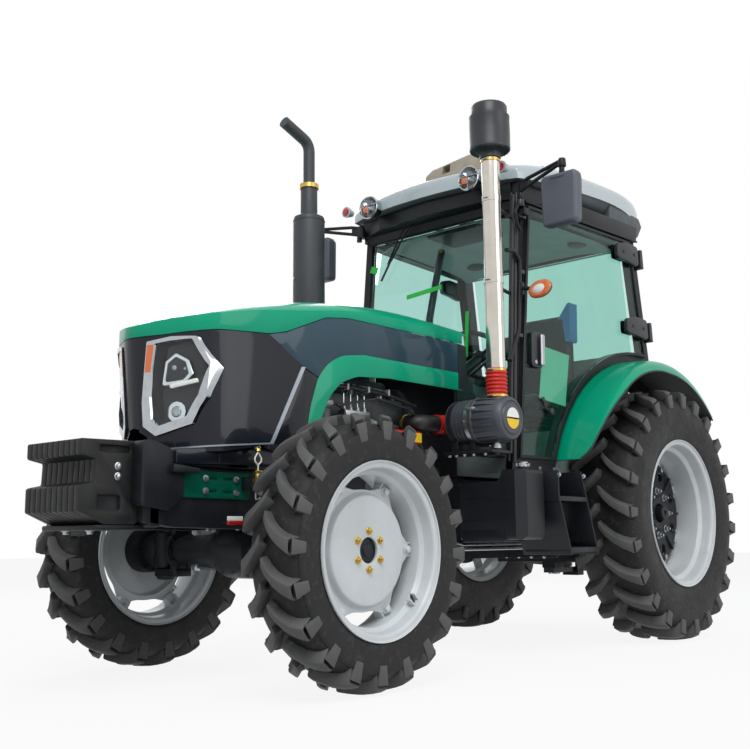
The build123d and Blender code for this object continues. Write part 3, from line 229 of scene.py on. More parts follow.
MATERIALS = {
    "rubber": vulcanised_rubber("vulcanised_rubber", "#131416", "#1c1c1e"),
    # The same rubber on the lugs, painted much paler than on the carcass
    "tread": vulcanised_rubber("pale_lug_rubber", "#4a4b4c", "#575655"),
    # Powder-coated steel wheel: pale grey, slightly dusty, an even satin with a faint orange peel
    "wheel_coat": surface("powder_coated_steel", "#c6cbcd", "#b9bec0", 220, 0.36, 0.06, 3.0, 0.05, coat_weight=0.15,
                          coat_roughness=0.2),
    # Baked green enamel under clear coat: a sharp reflection over a deep, even colour
    "green": surface("baked_enamel_green", "#009a75", "#00926e", 600, 0.3, 0.03, 6.0, 0.012, coat_weight=0.25,
                     coat_roughness=0.04, specular_ior_level=0.1),
    # Baked navy-black enamel: mirror gloss on a bluish black
    "gloss_black": surface("baked_enamel_black", "#171b24", "#141821", 600, 0.28, 0.03, 6.0, 0.01, coat_weight=0.35,
                           coat_roughness=0.04, specular_ior_level=0.12),
    # Slate enamel of the rear side panels: paler and bluer, as glossy as the hood
    "slate": surface("baked_enamel_slate", "#2b4451", "#243b48", 500, 0.28, 0.03, 6.0, 0.01, coat_weight=0.35,
                     coat_roughness=0.06, specular_ior_level=0.12),
    # Black chassis paint over sand-cast iron: satin, with the mould's sand grain under it
    "cast_black": surface("painted_cast_iron", "#15181c", "#1f2227", 130, 0.45, 0.1, 2.2, 0.45,
                           specular_ior_level=0.22),
    # Black paint on rolled plate: smoother than the castings
    "plate_black": surface("painted_steel_plate", "#16191e", "#1e2126", 260, 0.38, 0.08, 7.0, 0.05,
                            specular_ior_level=0.3),
    # Suitcase weights: thick black paint on rough iron, worn and dusty
    "weight_black": surface("dipped_cast_iron", "#1c1e22", "#282723", 60, 0.52, 0.12, 3.0, 0.6,
                             specular_ior_level=0.25),
    # Powder coat of the cab's pillars and doors: fine black texture
    "cab_black": surface("powder_coat_black", "#14161a", "#1a1d22", 300, 0.4, 0.05, 1.6, 0.05, specular_ior_level=0.25),
    # Rotationally moulded polyethylene: soft satin black with a slight wave
    "tank_black": surface("moulded_polyethylene", "#181a1e", "#1e2126", 180, 0.42, 0.06, 14.0, 0.35,
                          specular_ior_level=0.3),
    # Injection-moulded ABS: fine spark-eroded grain
    "abs_black": surface("moulded_abs", "#1f2227", "#262a30", 200, 0.42, 0.05, 1.2, 0.06),
    # Polypropylene mouldings of the cab's inside: dark grey, grained
    "lining": surface("moulded_polypropylene", "#2b2e32", "#34373b", 200, 0.6, 0.05, 1.8, 0.15),
    # Grey engine paint over cast iron: dull, oily in places
    "engine_grey": surface("engine_enamel", "#3b4043", "#50565a", 70, 0.45, 0.14, 2.2, 0.4),
    # Die-cast aluminium left bare: pale and grainy
    "die_cast": surface("die_cast_aluminium", "#a9adaf", "#8f9496", 40, 0.38, 0.1, 1.5, 0.15, metallic=1.0),
    # Polished stainless tube: warm and nearly a mirror, with faint drawing lines along it
    "stainless": surface("polished_stainless_steel", "#cfcac1", "#bdb8ae", 160, 0.16, 0.05, 1.2, 0.02,
                         stretch=(1, 1, 0.02), metallic=1.0),
    # Zinc plate, yellow passivated: gold with a greenish drift
    "gold_zinc": surface("yellow_passivated_zinc", "#c9a349", "#b9a86a", 14, 0.3, 0.08, 0.8, 0.02, metallic=1.0),
    # Bright zinc plate of washers, nuts and brackets
    "zinc": surface("bright_zinc_plate", "#b9bdc0", "#9aa0a4", 20, 0.32, 0.08, 1.0, 0.02, metallic=1.0),
    # Vacuum-metallised plastic trim: mirror chrome
    "chrome": surface("vacuum_metallised_plastic", "#b4b9be", "#a6abb1", 40, 0.1, 0.03, metallic=1.0),
    # Satin silver film of the trim lines
    "silver": surface("silver_vinyl_film", "#9aa1aa", "#8d949d", 200, 0.35, 0.03, metallic=0.6),
    # Black stoved paint of the silencer: dull, heat-bleached in patches
    "muffler": surface("stoved_heat_paint", "#2c3036", "#383c41", 120, 0.55, 0.08, 1.8, 0.12),
    # Fibreglass roof in pale grey gel coat
    "roof": surface("gel_coated_fibreglass", "#adb9bd", "#a7b3b7", 500, 0.26, 0.03, 9.0, 0.02, coat_weight=0.7,
                    coat_roughness=0.08),
    # Silicone rubber of the intake bellows: bright red, satin
    "red_rubber": surface("silicone_rubber", "#c32316", "#b41e13", 60, 0.42, 0.05, 1.5, 0.05),
    # Black nitrile hose and cable sheath
    "hose": surface("nitrile_rubber", "#121315", "#191a1c", 60, 0.5, 0.06, 1.0, 0.05),
    "seat_cloth": woven_polyester(),
    # Blue vinyl of the seat's wings
    "vinyl": surface("embossed_vinyl", "#1f8ad0", "#1c7fc0", 80, 0.5, 0.05, 1.5, 0.1),
    # Red oxide and orange paint of small parts in the engine bay
    "red_paint": surface("red_engine_paint", "#a51c14", "#8e1a14", 40, 0.4, 0.08, 2.0, 0.1),
    # Reflective sheeting and rear lenses: red and amber acrylic
    "red_lens": surface("red_acrylic", "#b0150f", rough=0.12, rough_swing=0.02, coat_weight=0.6),
    "amber_lens": surface("amber_acrylic", "#d4682a", rough=0.14, rough_swing=0.02, coat_weight=0.6),
    "white_label": surface("white_vinyl_film", "#e8e8e4", "#dedfda", 60, 0.4, 0.03),
    "yellow_label": surface("yellow_vinyl_film", "#e9c21d", "#dfb61b", 60, 0.4, 0.03),
    "green_tape": surface("green_masking_tape", "#1fae3c", "#28b948", 30, 0.6, 0.05, 1.5, 0.05),
    # Headliner: pale grey moulded felt
    "headliner": surface("moulded_felt", "#a9b4b2", "#9eaaa8", 120, 0.8, 0.05, 2.0, 0.2),
    # Slate polypropylene of the mirror housings: satin, fine grain
    "mirror_grey": surface("grained_polypropylene", "#4d525d", "#474c56", 200, 0.42, 0.05, 1.2, 0.05),
    # Nylon of the air cleaner: dark blue-grey, satin
    "cleaner_grey": surface("moulded_nylon", "#3a3e46", "#42464d", 150, 0.42, 0.05, 1.4, 0.06),
    # Vinyl mat and trim of the cab's floor, painted pale grey-green as painted light that brightens the inside of the
    # cab
    "lit_trim_grey": surface("cab_floor_painted_light", "#7f8d8a", "#74827f", 120, 0.6, 0.06, 3.0, 0.15),
    # The same enamel painted darker and rougher on the front frame's brackets: a painted shade
    "shade_green": surface("green_enamel_painted_shade", "#005a47", "#00503f", 90, 0.45, 0.06, 4.0, 0.03,
                           specular_ior_level=0.1),
    # Weathered tan lid of the roof hatch
    "hatch_tan": surface("tan_polyester_resin", "#a79f8f", "#978e7d", 90, 0.5, 0.08, 4.0, 0.08),
    # Unpainted inner face of the roof moulding: dull slate
    "roof_inside": surface("unpainted_fibreglass", "#4d5558", "#444b4e", 120, 0.6, 0.06, 3.0, 0.2),
    # Rubber flap, dusty brown over black
    "flap_brown": surface("reinforced_rubber_sheet", "#241c1a", "#3a2c27", 80, 0.6, 0.08, 2.0, 0.1),
    # A sheet of paper behind the glass, seen through its tint
    "note_paper": surface("bond_paper", "#8fd0b4", "#88c8ac", 60, 0.7, 0.05, 1.0, 0.02),
    "rust": surface("rusted_iron", "#4a3a2c", "#6a4327", 25, 0.75, 0.08, 2.5, 0.4),
}


def pane(name, colour, ior=1.12, rough=0.0):
    """Toughened float glass or clear polycarbonate: a tinted sheet that reflects and lets light through."""
    material, tree = new_material(name)
    place = add(tree, "ShaderNodeTexCoord").outputs["Object"]
    film = add(tree, "ShaderNodeTexNoise", {"Vector": place, "Scale": 1000 / 400, "Detail": 3.0})
    haze = add(tree, "ShaderNodeMapRange", {"Value": film.outputs["Fac"], "To Min": rough, "To Max": rough + 0.02})
    shader = add(tree, "ShaderNodeBsdfPrincipled", {
        "Base Color": linear(colour), "Roughness": haze.outputs["Result"], "Transmission Weight": 1.0,
        "IOR": ior, "Coat Weight": 0.35, "Coat Roughness": 0.02})
    add(tree, "ShaderNodeOutputMaterial", {"Surface": shader.outputs[0]})
    return material


MATERIALS["glass"] = pane("green_tinted_float_glass", "#bfe2da")
MATERIALS["screen_glass"] = pane("laminated_screen_glass", "#d8ecea")
MATERIALS["clear"] = pane("clear_polycarbonate", "#f0f4f5")
MATERIALS["mirror"] = surface("silvered_glass", "#dfe4e6", rough=0.03, rough_swing=0.01, metallic=1.0)


# ---------------------------------------------------------------- ways of modelling
OUT = {1: "X", -1: "-X"}          # the way out of the tractor on each side


def span(first, last):
    """A pair of ends in rising order."""
    return (first, last) if first < last else (last, first)


def only(piece):
    """Select one piece and make it active."""
    deselect()
    piece.select_set(True)
    bpy.context.view_layer.objects.active = piece


def placed(name):
    """Name the new primitive and put its place into its mesh."""
    piece = bpy.context.object
    piece.name = name
    bpy.ops.object.transform_apply(location=True, rotation=True, scale=True)
    return piece


def edit(piece, kind="FACE"):
    """Open a piece in edit mode with everything selected."""
    only(piece)
    bpy.ops.object.mode_set(mode="EDIT")
    bpy.ops.mesh.select_mode(type=kind)
    bpy.ops.mesh.select_all(action="SELECT")


def applied(piece, kind, **settings):
    """Add a modifier with its settings and apply it."""
    modifier = piece.modifiers.new(kind.lower(), kind)
    for key, value in settings.items():
        setattr(modifier, key, value)
    only(piece)
    bpy.ops.object.modifier_apply(modifier=modifier.name)
    return piece


def eased(piece, width, steps=2, angle=35):
    """Round the edges that are sharper than an angle."""
    return applied(piece, "BEVEL", width=width, segments=steps, limit_method="ANGLE", angle_limit=radians(angle))


def mended(piece):
    """Merge doubles and turn the faces outwards."""
    edit(piece, "VERT")
    bpy.ops.mesh.remove_doubles(threshold=1e-5)
    bpy.ops.mesh.normals_make_consistent(inside=False)
    bpy.ops.object.mode_set(mode="OBJECT")
    return piece


def block(name, x, y, z, edge=0.0, steps=2):
    """A box between (low, high) pairs, with its edges eased."""
    deselect()
    bpy.ops.mesh.primitive_cube_add(size=1, location=[sum(pair) / 2 for pair in (x, y, z)],
                                    scale=[abs(pair[1] - pair[0]) for pair in (x, y, z)])
    piece = placed(name)
    return eased(piece, edge, steps) if edge else piece


def bar(name, start, end, radius, end_radius=None, sides=24, edge=0.0, steps=2):
    """A round or tapered bar between two points."""
    deselect()
    reach = Vector(end) - Vector(start)
    bpy.ops.mesh.primitive_cone_add(
        vertices=sides, radius1=radius, radius2=radius if end_radius is None else end_radius,
        depth=reach.length, location=(Vector(start) + Vector(end)) / 2,
        rotation=reach.to_track_quat("Z", "Y").to_euler())
    piece = placed(name)
    return eased(piece, edge, steps) if edge else piece


AXES = {"X": (1, 0, 0), "Y": (0, 1, 0), "Z": (0, 0, 1)}
FACING = {"X": (0, pi / 2, 0), "Y": (pi / 2, 0, 0), "Z": (0, 0, 0)}


def turned(name, centre, axis, profile, sides=48, ends=True, ring=False):
    """A turned shape: (along, radius) points from the centre, closed at its ends or round into a ring."""
    deselect()
    centre, way = Vector(centre), Vector(AXES[axis])
    along_axis, radius = profile[0]
    bpy.ops.mesh.primitive_circle_add(vertices=sides, radius=radius,
        fill_type="NGON" if ends and not ring else "NOTHING", location=centre + way * along_axis,
        rotation=FACING[axis])
    piece = placed(name)
    edit(piece, "EDGE")
    for (a, r), (next_a, next_r) in zip(profile, profile[1:] + (profile[:1] if ring else [])):
        bpy.ops.mesh.extrude_region_move(TRANSFORM_OT_translate={"value": way * (next_a - a)})
        if abs(next_r - r) > 1e-6:
            grow = [1.0 if part else next_r / r for part in way]
            bpy.ops.transform.resize(value=grow, center_override=centre + way * next_a)
    bpy.ops.object.mode_set(mode="OBJECT")
    return mended(piece)


def plate(name, outline, axis, pair, edge=0.0, steps=2):
    """A flat piece: an outline of points across an axis, between the two ends of a pair along it."""
    deselect()
    bpy.ops.mesh.primitive_circle_add(vertices=len(outline), radius=1.0, fill_type="NGON")
    piece = placed(name)
    for vertex, (a, b) in zip(piece.data.vertices, outline):
        vertex.co = {"X": (pair[0], a, b), "Y": (a, pair[0], b), "Z": (a, b, pair[0])}[axis]
    edit(piece)
    bpy.ops.mesh.extrude_region_move(TRANSFORM_OT_translate={"value": Vector(AXES[axis]) * (pair[1] - pair[0])})
    bpy.ops.object.mode_set(mode="OBJECT")
    mended(piece)
    return eased(piece, edge, steps) if edge else piece


def sheet(name, columns, rows, spot, closed=False):
    """A grid of faces whose corners come from a formula of column and row, each from 0 to 1."""
    deselect()
    bpy.ops.mesh.primitive_grid_add(x_subdivisions=columns, y_subdivisions=rows, size=1.0)
    piece = placed(name)
    for vertex in piece.data.vertices:
        column, row = round((vertex.co.x + 0.5) * columns), round((vertex.co.y + 0.5) * rows)
        vertex.co = spot(column / columns, row / rows)
    if closed:
        mended(piece)
    return piece


def bent(points, radius, steps=5):
    """A line of points whose inner corners are replaced by arcs."""
    points = [Vector(point) for point in points]
    line = [points[0]]
    for before, corner, after in zip(points, points[1:], points[2:]):
        first, second = (before - corner), (after - corner)
        half = first.angle(second) / 2
        cut = min(radius / tan(half), 0.48 * first.length, 0.48 * second.length)
        start, end = corner + first.normalized() * cut, corner + second.normalized() * cut
        for step in range(steps + 1):
            t = step / steps
            line.append((1 - t) ** 2 * start + 2 * t * (1 - t) * corner + t ** 2 * end)
    return line + [points[-1]]


def rounded(outline, radius, steps=4):
    """A closed flat outline with every corner rounded."""
    flat = [Vector((a, b, 0)) for a, b in outline]
    start = (flat[-1] + flat[0]) / 2
    line = bent([start] + flat + [start], radius, steps)[1:-1]
    return [(point.x, point.y) for point in line]


def pipe(name, points, radius, bend=0.0, sides=5, ends=True):
    """A pipe or hose along points, with arcs at its corners."""
    deselect()
    line = bent(points, bend) if bend else [Vector(point) for point in points]
    bpy.ops.curve.primitive_nurbs_path_add(location=(0, 0, 0))
    curve = bpy.context.object.data
    curve.splines.clear()
    spline = curve.splines.new("POLY")
    spline.points.add(len(line) - 1)
    for point, place in zip(spline.points, line):
        point.co = (*place, 1.0)
    curve.dimensions = "3D"
    curve.bevel_depth = radius
    curve.bevel_resolution = sides
    curve.use_fill_caps = ends
    bpy.ops.object.convert(target="MESH")
    return placed(name)


def copied(piece, matrix, name=None):
    """A copy with its own mesh, moved by a matrix; a mirror image is turned right side out."""
    other = piece.copy()
    other.data = piece.data.copy()
    other.name = name or piece.name
    other.data.transform(matrix)
    bpy.context.scene.collection.objects.link(other)
    if matrix.determinant() < 0:
        other.data.flip_normals()
    return other


MIRROR = Matrix.Scale(-1, 4, (1, 0, 0))


def turn_about(centre, axis, angle):
    """A turn by an angle in radians about an axis through a point."""
    return Matrix.Translation(centre) @ Matrix.Rotation(angle, 4, axis) @ Matrix.Translation(-Vector(centre))


def around(pieces, centre, axis, count, first=0.0):
    """Copies of pieces, spaced evenly about an axis, in place of the first ones."""
    made = [copied(piece, turn_about(centre, axis, first + 2 * pi * index / count))
            for piece in pieces for index in range(count)]
    for piece in pieces:
        bpy.data.objects.remove(piece)
    return made


def painted(piece, key):
    """Give a piece one material."""
    piece.data.materials.clear()
    piece.data.materials.append(MATERIALS[key])
    return piece


def put(pieces, key, piece):
    """Give a piece its finish and add it to a list."""
    pieces.append(painted(piece, key))


def joined(name, pieces):
    """One piece from several."""
    deselect()
    for piece in pieces:
        piece.select_set(True)
    bpy.context.view_layer.objects.active = pieces[0]
    bpy.ops.object.join()
    whole = bpy.context.object
    whole.name = name
    return whole


def cut(piece, tools, mode="DIFFERENCE"):
    """Cut a piece with others, or keep what it shares with them, and delete them."""
    for tool in tools:
        applied(piece, "BOOLEAN", object=tool, operation=mode, solver="EXACT")
        bpy.data.objects.remove(tool)
    return piece


def fitted(piece, body, slot, *replaced, angle=35):
    """Smooth a finished piece and hang it on its body."""
    only(piece)
    bpy.ops.object.shade_smooth_by_angle(angle=radians(angle))
    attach(piece, body)
    if replaced:
        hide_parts(*replaced)
    return piece


def both(piece, body_left, body_right, slot, replaced=(), angle=35):
    """Fit a piece on the left and its mirror image on the right."""
    name = piece.name
    other = copied(piece, MIRROR, name + "_right")
    piece.name = name + "_left"
    fitted(piece, body_left, slot, *[node + "_left" for node in replaced], angle=angle)
    fitted(other, body_right, slot, *[node + "_right" for node in replaced], angle=angle)


def hexagon(name, place, axis, across, height, key="zinc", washer=True):
    """A hexagon head with its washer, standing out along an axis, which may be written as -X."""
    way = Vector(AXES[axis[-1]]) * (-1 if axis[0] == "-" else 1)
    place = Vector(place)
    pieces = [painted(bar(name, place, place + way * height, across / 2, across * 0.47, sides=6, edge=across * 0.04),
                      key)]
    if washer:
        put(pieces, key, bar(name, place - way * 0.001, place + way * height * 0.22, across * 0.66, sides=20,
            edge=across * 0.03))
    return joined(name, pieces)


# ---------------------------------------------------------------- tyres
LUG_FACE = (                   # share of the half-width, lag in shares of the sweep, drop below the tip, width
    (0.03, 0.0, 0.000, 0.046),
    (0.20, 0.30, 0.000, 0.050),
    (0.42, 0.57, 0.001, 0.055),
    (0.64, 0.76, 0.006, 0.062),
    (0.84, 0.90, 0.014, 0.070),
    (0.965, 1.0, 0.026, 0.078),
)


def tyre(name, axle, radius, half, seat_r, rim_half, count, sweep, lug_height, turn):
    """A cross-ply farm tyre: a smooth carcass with two rows of curved lugs that point into a V."""
    crown = radius - lug_height
    belly = seat_r + 0.47 * (radius - seat_r)
    bead = rim_half - 0.0145
    side = [(bead - 0.03, seat_r + 0.001), (bead, seat_r + 0.001), (bead + 0.002, seat_r + 0.030),
            (bead + 0.012, seat_r + 0.036), (half - 0.006, belly - 0.045), (half - 0.0005, belly),
            (half - 0.004, belly + 0.05), (half * 0.93, crown - 0.052), (half * 0.86, crown - 0.022),
            (half * 0.5, crown - 0.006), (0.0, crown)]
    profile = side + [(-x, r) for x, r in side[-2::-1]]
    carcass = turned(name, axle, "X", profile, sides=56, ring=True)
    applied(carcass, "SUBSURF", levels=1, render_levels=1)
    lugs = []
    for way in (1, -1):
        def spot(column, row, way=way):
            share, lag, drop, width = LUG_FACE[round(column * (len(LUG_FACE) - 1))]
            angle = -sweep * lag + (0 if way > 0 else pi / count)
            corner = round(row * 3)
            deep = corner in (0, 3)
            spread = width * (0.62 if deep else 0.40) / radius * (-1 if corner < 2 else 1)
            reach = radius - drop - (lug_height + 0.02 + drop * 0.6 if deep else 0.0)
            turned_by = pi / 2 + angle + spread
            place_x = way * half * min(share, 0.985) - (way * 0.010 if deep and column == 0 else 0)
            return (axle.x + place_x, axle.y + reach * cos(turned_by), axle.z + reach * sin(turned_by))
        lug = sheet(name + "_lug", len(LUG_FACE) - 1, 3, spot)
        edit(lug, "EDGE")
        bpy.ops.mesh.select_all(action="DESELECT")
        bpy.ops.mesh.select_non_manifold()
        bpy.ops.mesh.fill()
        bpy.ops.object.mode_set(mode="OBJECT")
        mended(lug)
        shoulder = lug_shoulder(name, axle, way, half, radius, sweep, pi / count)
        put(lugs, "tread", joined(name + "_lug", [eased(lug, 0.004, 2, 40), shoulder]))
    lugs = around(lugs, axle, "X", count, turn)
    return joined(name, [painted(carcass, "rubber")] + lugs)


def lug_shoulder(name, axle, way, half, radius, sweep, offset):
    """The stepped buttress that carries a lug's outer end down the sidewall."""
    angle = -sweep + (0 if way > 0 else offset)

    def spot(column, row):
        across = half * (0.90, 1.0, 0.998)[round(column * 2)]
        reach = radius - (0.052, 0.040, 0.122)[round(column * 2)]
        spread = (0.084 - 0.030 * column) * (row - 0.5) / radius
        turned_by = pi / 2 + angle - 0.004 + spread
        return (axle.x + way * across, axle.y + reach * cos(turned_by), axle.z + reach * sin(turned_by))
    step = sheet(name + "_step", 2, 1, spot)
    edit(step)
    bpy.ops.mesh.extrude_region_move(TRANSFORM_OT_translate={"value": (-way * 0.022, 0, -0.012)})
    bpy.ops.object.mode_set(mode="OBJECT")
    return eased(mended(step), 0.003, 2, 40)


TYRES = (                      # node, bead seat, half of the rim, lugs a side, sweep, lug height, first turn
    ("front_tyre", 0.356, 0.138, 20, 0.215, 0.040, 0.06),
    ("rear_tyre", 0.432, 0.190, 23, 0.185, 0.046, 0.03),
)


def make_tyres():
    """Four tyres; each side's lugs are a mirror image of the other's."""
    for node, seat_r, rim_half, count, sweep, lug_height, turn in TYRES:
        low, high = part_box(node + "_left")
        axle = (low + high) / 2
        piece = tyre(node + "_tread", axle, (high.z - low.z) / 2, (high.x - low.x) / 2, seat_r, rim_half, count,
                     -sweep, lug_height, turn)
        wheel = node.replace("tyre", "wheel")
        both(piece, wheel + "_left", wheel + "_right", "tyre", (node,), angle=38)


# ---------------------------------------------------------------- rims
def barrel(name, axle, half, rim_r, seat_r, well, well_half, shift):
    """A drop-centre rim rolled from 8 mm plate, with its curled flanges."""
    line = [(half, rim_r - 0.006), (half - 0.006, rim_r - 0.003), (half - 0.0115, rim_r - 0.010),
            (half - 0.012, seat_r - 0.003), (half - 0.034, seat_r - 0.007), (shift + well_half + 0.016, seat_r - 0.012),
            (shift + well_half, well), (shift - well_half, well), (shift - well_half - 0.016, seat_r - 0.012),
            (-half + 0.034, seat_r - 0.007), (-half + 0.012, seat_r - 0.003), (-half + 0.0115, rim_r - 0.010),
            (-half + 0.006, rim_r - 0.003), (-half, rim_r - 0.006)]
    soft = [(point.x, point.y) for point in bent([(x, r, 0) for x, r in line], 0.010, 3)]
    piece = turned(name, axle, "X", soft, sides=96, ends=False)
    return painted(applied(piece, "SOLIDIFY", thickness=0.006, offset=0.0), "wheel_coat")


def eared_outline(axle, inner, outer, count, sharp):
    """A disc's outline, drawn out to ears evenly spaced about the axle, with hollow arcs between them."""
    points = []
    steps = 16 * count
    for step in range(steps):
        angle = 2 * pi * step / steps
        ear = abs(cos(angle * count / 2)) ** sharp
        radius = inner + (outer - inner) * ear
        points.append((axle.y + radius * cos(angle), axle.z + radius * sin(angle)))
    return points


def front_rim():
    """Pale adjustable wheel: dished disc on six bolts, its ears bolted to lugs in the rim."""
    axle = middle("front_rim_left")
    x = axle.x
    pieces = [barrel("rim", axle, 0.138, 0.3845, 0.356, 0.326, 0.046, 0.012)]
    face = [(0.031, 0.056), (0.045, 0.056), (0.045, 0.222), (0.042, 0.234), (0.030, 0.242), (0.018, 0.247),
            (0.012, 0.254), (0.012, 0.262), (0.002, 0.262), (0.002, 0.249), (0.012, 0.240), (0.031, 0.225)]
    dish = turned("disc", axle, "X", face, sides=72, ring=True)
    ears = plate("ears", eared_outline(axle, 0.262, 0.306, 6, 5), "X", (x - 0.001, x + 0.011), 0.003)
    hole = bar("hole", (x - 0.05, axle.y, axle.z), (x + 0.05, axle.y, axle.z), 0.24, sides=64)
    pieces += [painted(eased(dish, 0.002, 2), "wheel_coat"), painted(cut(ears, [hole]), "wheel_coat")]
    lug = [block("lug", (x - 0.014, x - 0.0015), (axle.y - 0.030, axle.y + 0.030), (axle.z + 0.276, axle.z + 0.328),
                 0.003),
           block("lug", (x - 0.040, x + 0.010), (axle.y - 0.032, axle.y - 0.023), (axle.z + 0.286, axle.z + 0.328),
                 0.003),
           block("lug", (x - 0.040, x + 0.010), (axle.y + 0.023, axle.y + 0.032), (axle.z + 0.286, axle.z + 0.328),
                 0.003)]
    lug = [painted(piece, "wheel_coat") for piece in lug]
    lug.append(hexagon("lug_bolt", (x + 0.011, axle.y, axle.z + 0.293), "X", 0.034, 0.017, "wheel_coat"))
    pieces += around([joined("lug", lug)], axle, "X", 6, pi / 2)
    bolt = [hexagon("wheel_bolt", (x + 0.045, axle.y, axle.z + 0.082), "X", 0.027, 0.012, "gold_zinc"),
            painted(bar("stud", (x + 0.05, axle.y, axle.z + 0.082), (x + 0.064, axle.y, axle.z + 0.082), 0.008,
                        0.0065, sides=12), "gold_zinc")]
    pieces += around([joined("wheel_bolt", bolt)], axle, "X", 6, 0.0)
    put(pieces, "cast_black", bar("hub", (x + 0.0, axle.y, axle.z), (x + 0.032, axle.y, axle.z), 0.0555, sides=40,
        edge=0.004))
    put(pieces, "cast_black", bar("hub_cap", (x + 0.030, axle.y, axle.z), (x + 0.038, axle.y, axle.z), 0.030, 0.026,
        sides=28, edge=0.002))
    valve_turn = turn_about(axle, "X", radians(-132))
    guard = [painted(block("guard", (x + 0.070, x + 0.098), (axle.y - 0.022, axle.y - 0.014),
                           (axle.z + 0.306, axle.z + 0.345), 0.002), "wheel_coat"),
             painted(block("guard", (x + 0.070, x + 0.098), (axle.y + 0.014, axle.y + 0.022),
                           (axle.z + 0.306, axle.z + 0.345), 0.002), "wheel_coat"),
             painted(bar("valve", (x + 0.080, axle.y, axle.z + 0.345), (x + 0.092, axle.y, axle.z + 0.300), 0.006,
                         sides=12), "hose")]
    guard = joined("valve", guard)
    guard.data.transform(valve_turn)
    both(joined("front_rim_pressed", pieces + [guard]), "front_wheel_left", "front_wheel_right", "rim_paint",
         ("front_rim",))


def rear_rim():
    """Pale rim on a dark cast centre, which carries the axle's flange and its eight nuts."""
    axle = middle("rear_rim_left")
    x = axle.x
    pieces = [barrel("rim", axle, 0.190, 0.4595, 0.432, 0.396, 0.075, 0.02)]
    face = [(-0.060, 0.05), (-0.010, 0.05), (0.016, 0.062), (0.016, 0.100), (0.002, 0.112), (-0.004, 0.175),
            (-0.014, 0.200), (-0.018, 0.318), (-0.026, 0.330), (-0.042, 0.330), (-0.042, 0.200), (-0.060, 0.150)]
    centre = turned("centre", axle, "X", face, sides=80, ring=True)
    windows = around([bar("window", (x - 0.1, axle.y, axle.z + 0.248), (x + 0.05, axle.y, axle.z + 0.248), 0.032,
                          sides=24)], axle, "X", 8, pi / 8)
    put(pieces, "cast_black", eased(cut(centre, windows), 0.002, 2))
    rib = [block("rib", (x - 0.030, x - 0.006), (axle.y - 0.009, axle.y + 0.009), (axle.z + 0.165, axle.z + 0.322),
        0.004)]
    pieces += [painted(piece, "cast_black") for piece in around(rib, axle, "X", 8)]
    lug = [painted(block("lug", (x - 0.060, x - 0.043), (axle.y - 0.042, axle.y + 0.042),
                         (axle.z + 0.292, axle.z + 0.398), 0.004), "wheel_coat"),
           hexagon("lug_nut", (x - 0.024, axle.y, axle.z + 0.300), "X", 0.036, 0.020, "zinc")]
    pieces += around([joined("lug", lug)], axle, "X", 8, pi / 8)
    nut = [hexagon("nut", (x + 0.000, axle.y, axle.z + 0.140), "X", 0.034, 0.022, "zinc"),
           painted(bar("stud", (x + 0.02, axle.y, axle.z + 0.140), (x + 0.036, axle.y, axle.z + 0.140), 0.010,
                       0.008, sides=12), "zinc")]
    pieces += around([joined("nut", nut)], axle, "X", 8)
    put(pieces, "cast_black", turned("shaft_end", axle, "X", [(-0.06, 0.046), (0.050, 0.046), (0.056, 0.040),
        (0.056, 0.018), (0.046, 0.014)], sides=32))
    both(joined("rear_rim_cast", pieces), "rear_wheel_left", "rear_wheel_right", "rim_paint", ("rear_rim",))


# ---------------------------------------------------------------- hood
HOOD_HALF = 0.385
HOOD_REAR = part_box("hood_top")[1].y
SHOULDER_X, CROWN_HALF = 0.292, 0.400
NOSE_LOW, NOSE_TOP = 1.010, 1.535
SKIN = 0.008

NOSE_PLAN = (                  # half-width, y of the nose from the front axle at the bottom and at the top
    (0.0, -0.648, -0.700),
    (0.300, -0.490, -0.540),
    (0.342, -0.380, -0.400),
    (0.372, 0.060, 0.060),
    (HOOD_HALF, 0.400, 0.400),
)
CROWN = (                      # y from the front axle, height in the middle, at the shoulder, at the side
    (-0.760, 1.560, 1.540, 1.500),
    (-0.400, 1.700, 1.672, 1.585),
    (0.000, 1.800, 1.765, 1.660),
    (0.400, 1.865, 1.828, 1.742),
    (0.850, 1.890, 1.850, 1.752),
    (1.400, 1.870, 1.832, 1.742),
)
NOSE_EDGE = [(-0.900, 1.522), (-0.620, 1.545), (-0.447, 1.571), (-0.164, 1.588)]
RISING_EDGE = [(-0.060, 1.612), (0.060, 1.662), (0.190, 1.716), (0.340, 1.735)]
NOSE_BACK = [(0.050, 1.452), (-0.140, 1.075)]
ARCH_OUTER = [(0.050, 1.075), (0.090, 1.270), (0.139, 1.415), (0.205, 1.491), (0.301, 1.541), (0.462, 1.563)]
ARCH_INNER = [(0.135, 1.075), (0.165, 1.225), (0.219, 1.330), (0.300, 1.408), (0.413, 1.446), (0.659, 1.463)]


def crown_height(x, y):
    """Height of the hood's crown: smooth between its sections, flat on top and falling at the shoulders."""
    place = min(max(y, CROWN[0][0]), CROWN[-1][0])
    index = max(i for i, row in enumerate(CROWN[:-1]) if row[0] <= place)
    before, after = CROWN[max(index - 1, 0)], CROWN[min(index + 2, len(CROWN) - 1)]
    low, high = CROWN[index], CROWN[index + 1]
    span = high[0] - low[0]
    t = (place - low[0]) / span
    heights = []
    for column in (1, 2, 3):
        rise_low = (high[column] - before[column]) / (high[0] - before[0]) * span
        rise_high = (after[column] - low[column]) / (after[0] - low[0]) * span
        heights.append((2 * t ** 3 - 3 * t ** 2 + 1) * low[column] + (t ** 3 - 2 * t ** 2 + t) * rise_low
                       + (3 * t ** 2 - 2 * t ** 3) * high[column] + (t ** 3 - t ** 2) * rise_high)
    centre, shoulder, side = heights
    if abs(x) <= SHOULDER_X:
        return centre - (centre - shoulder) * (x / SHOULDER_X) ** 2
    share = (abs(x) - SHOULDER_X) / (CROWN_HALF - SHOULDER_X)
    return side + (shoulder - side) * (0.7 * sqrt(max(1 - share ** 2, 0)) + 0.3 * (1 - share))


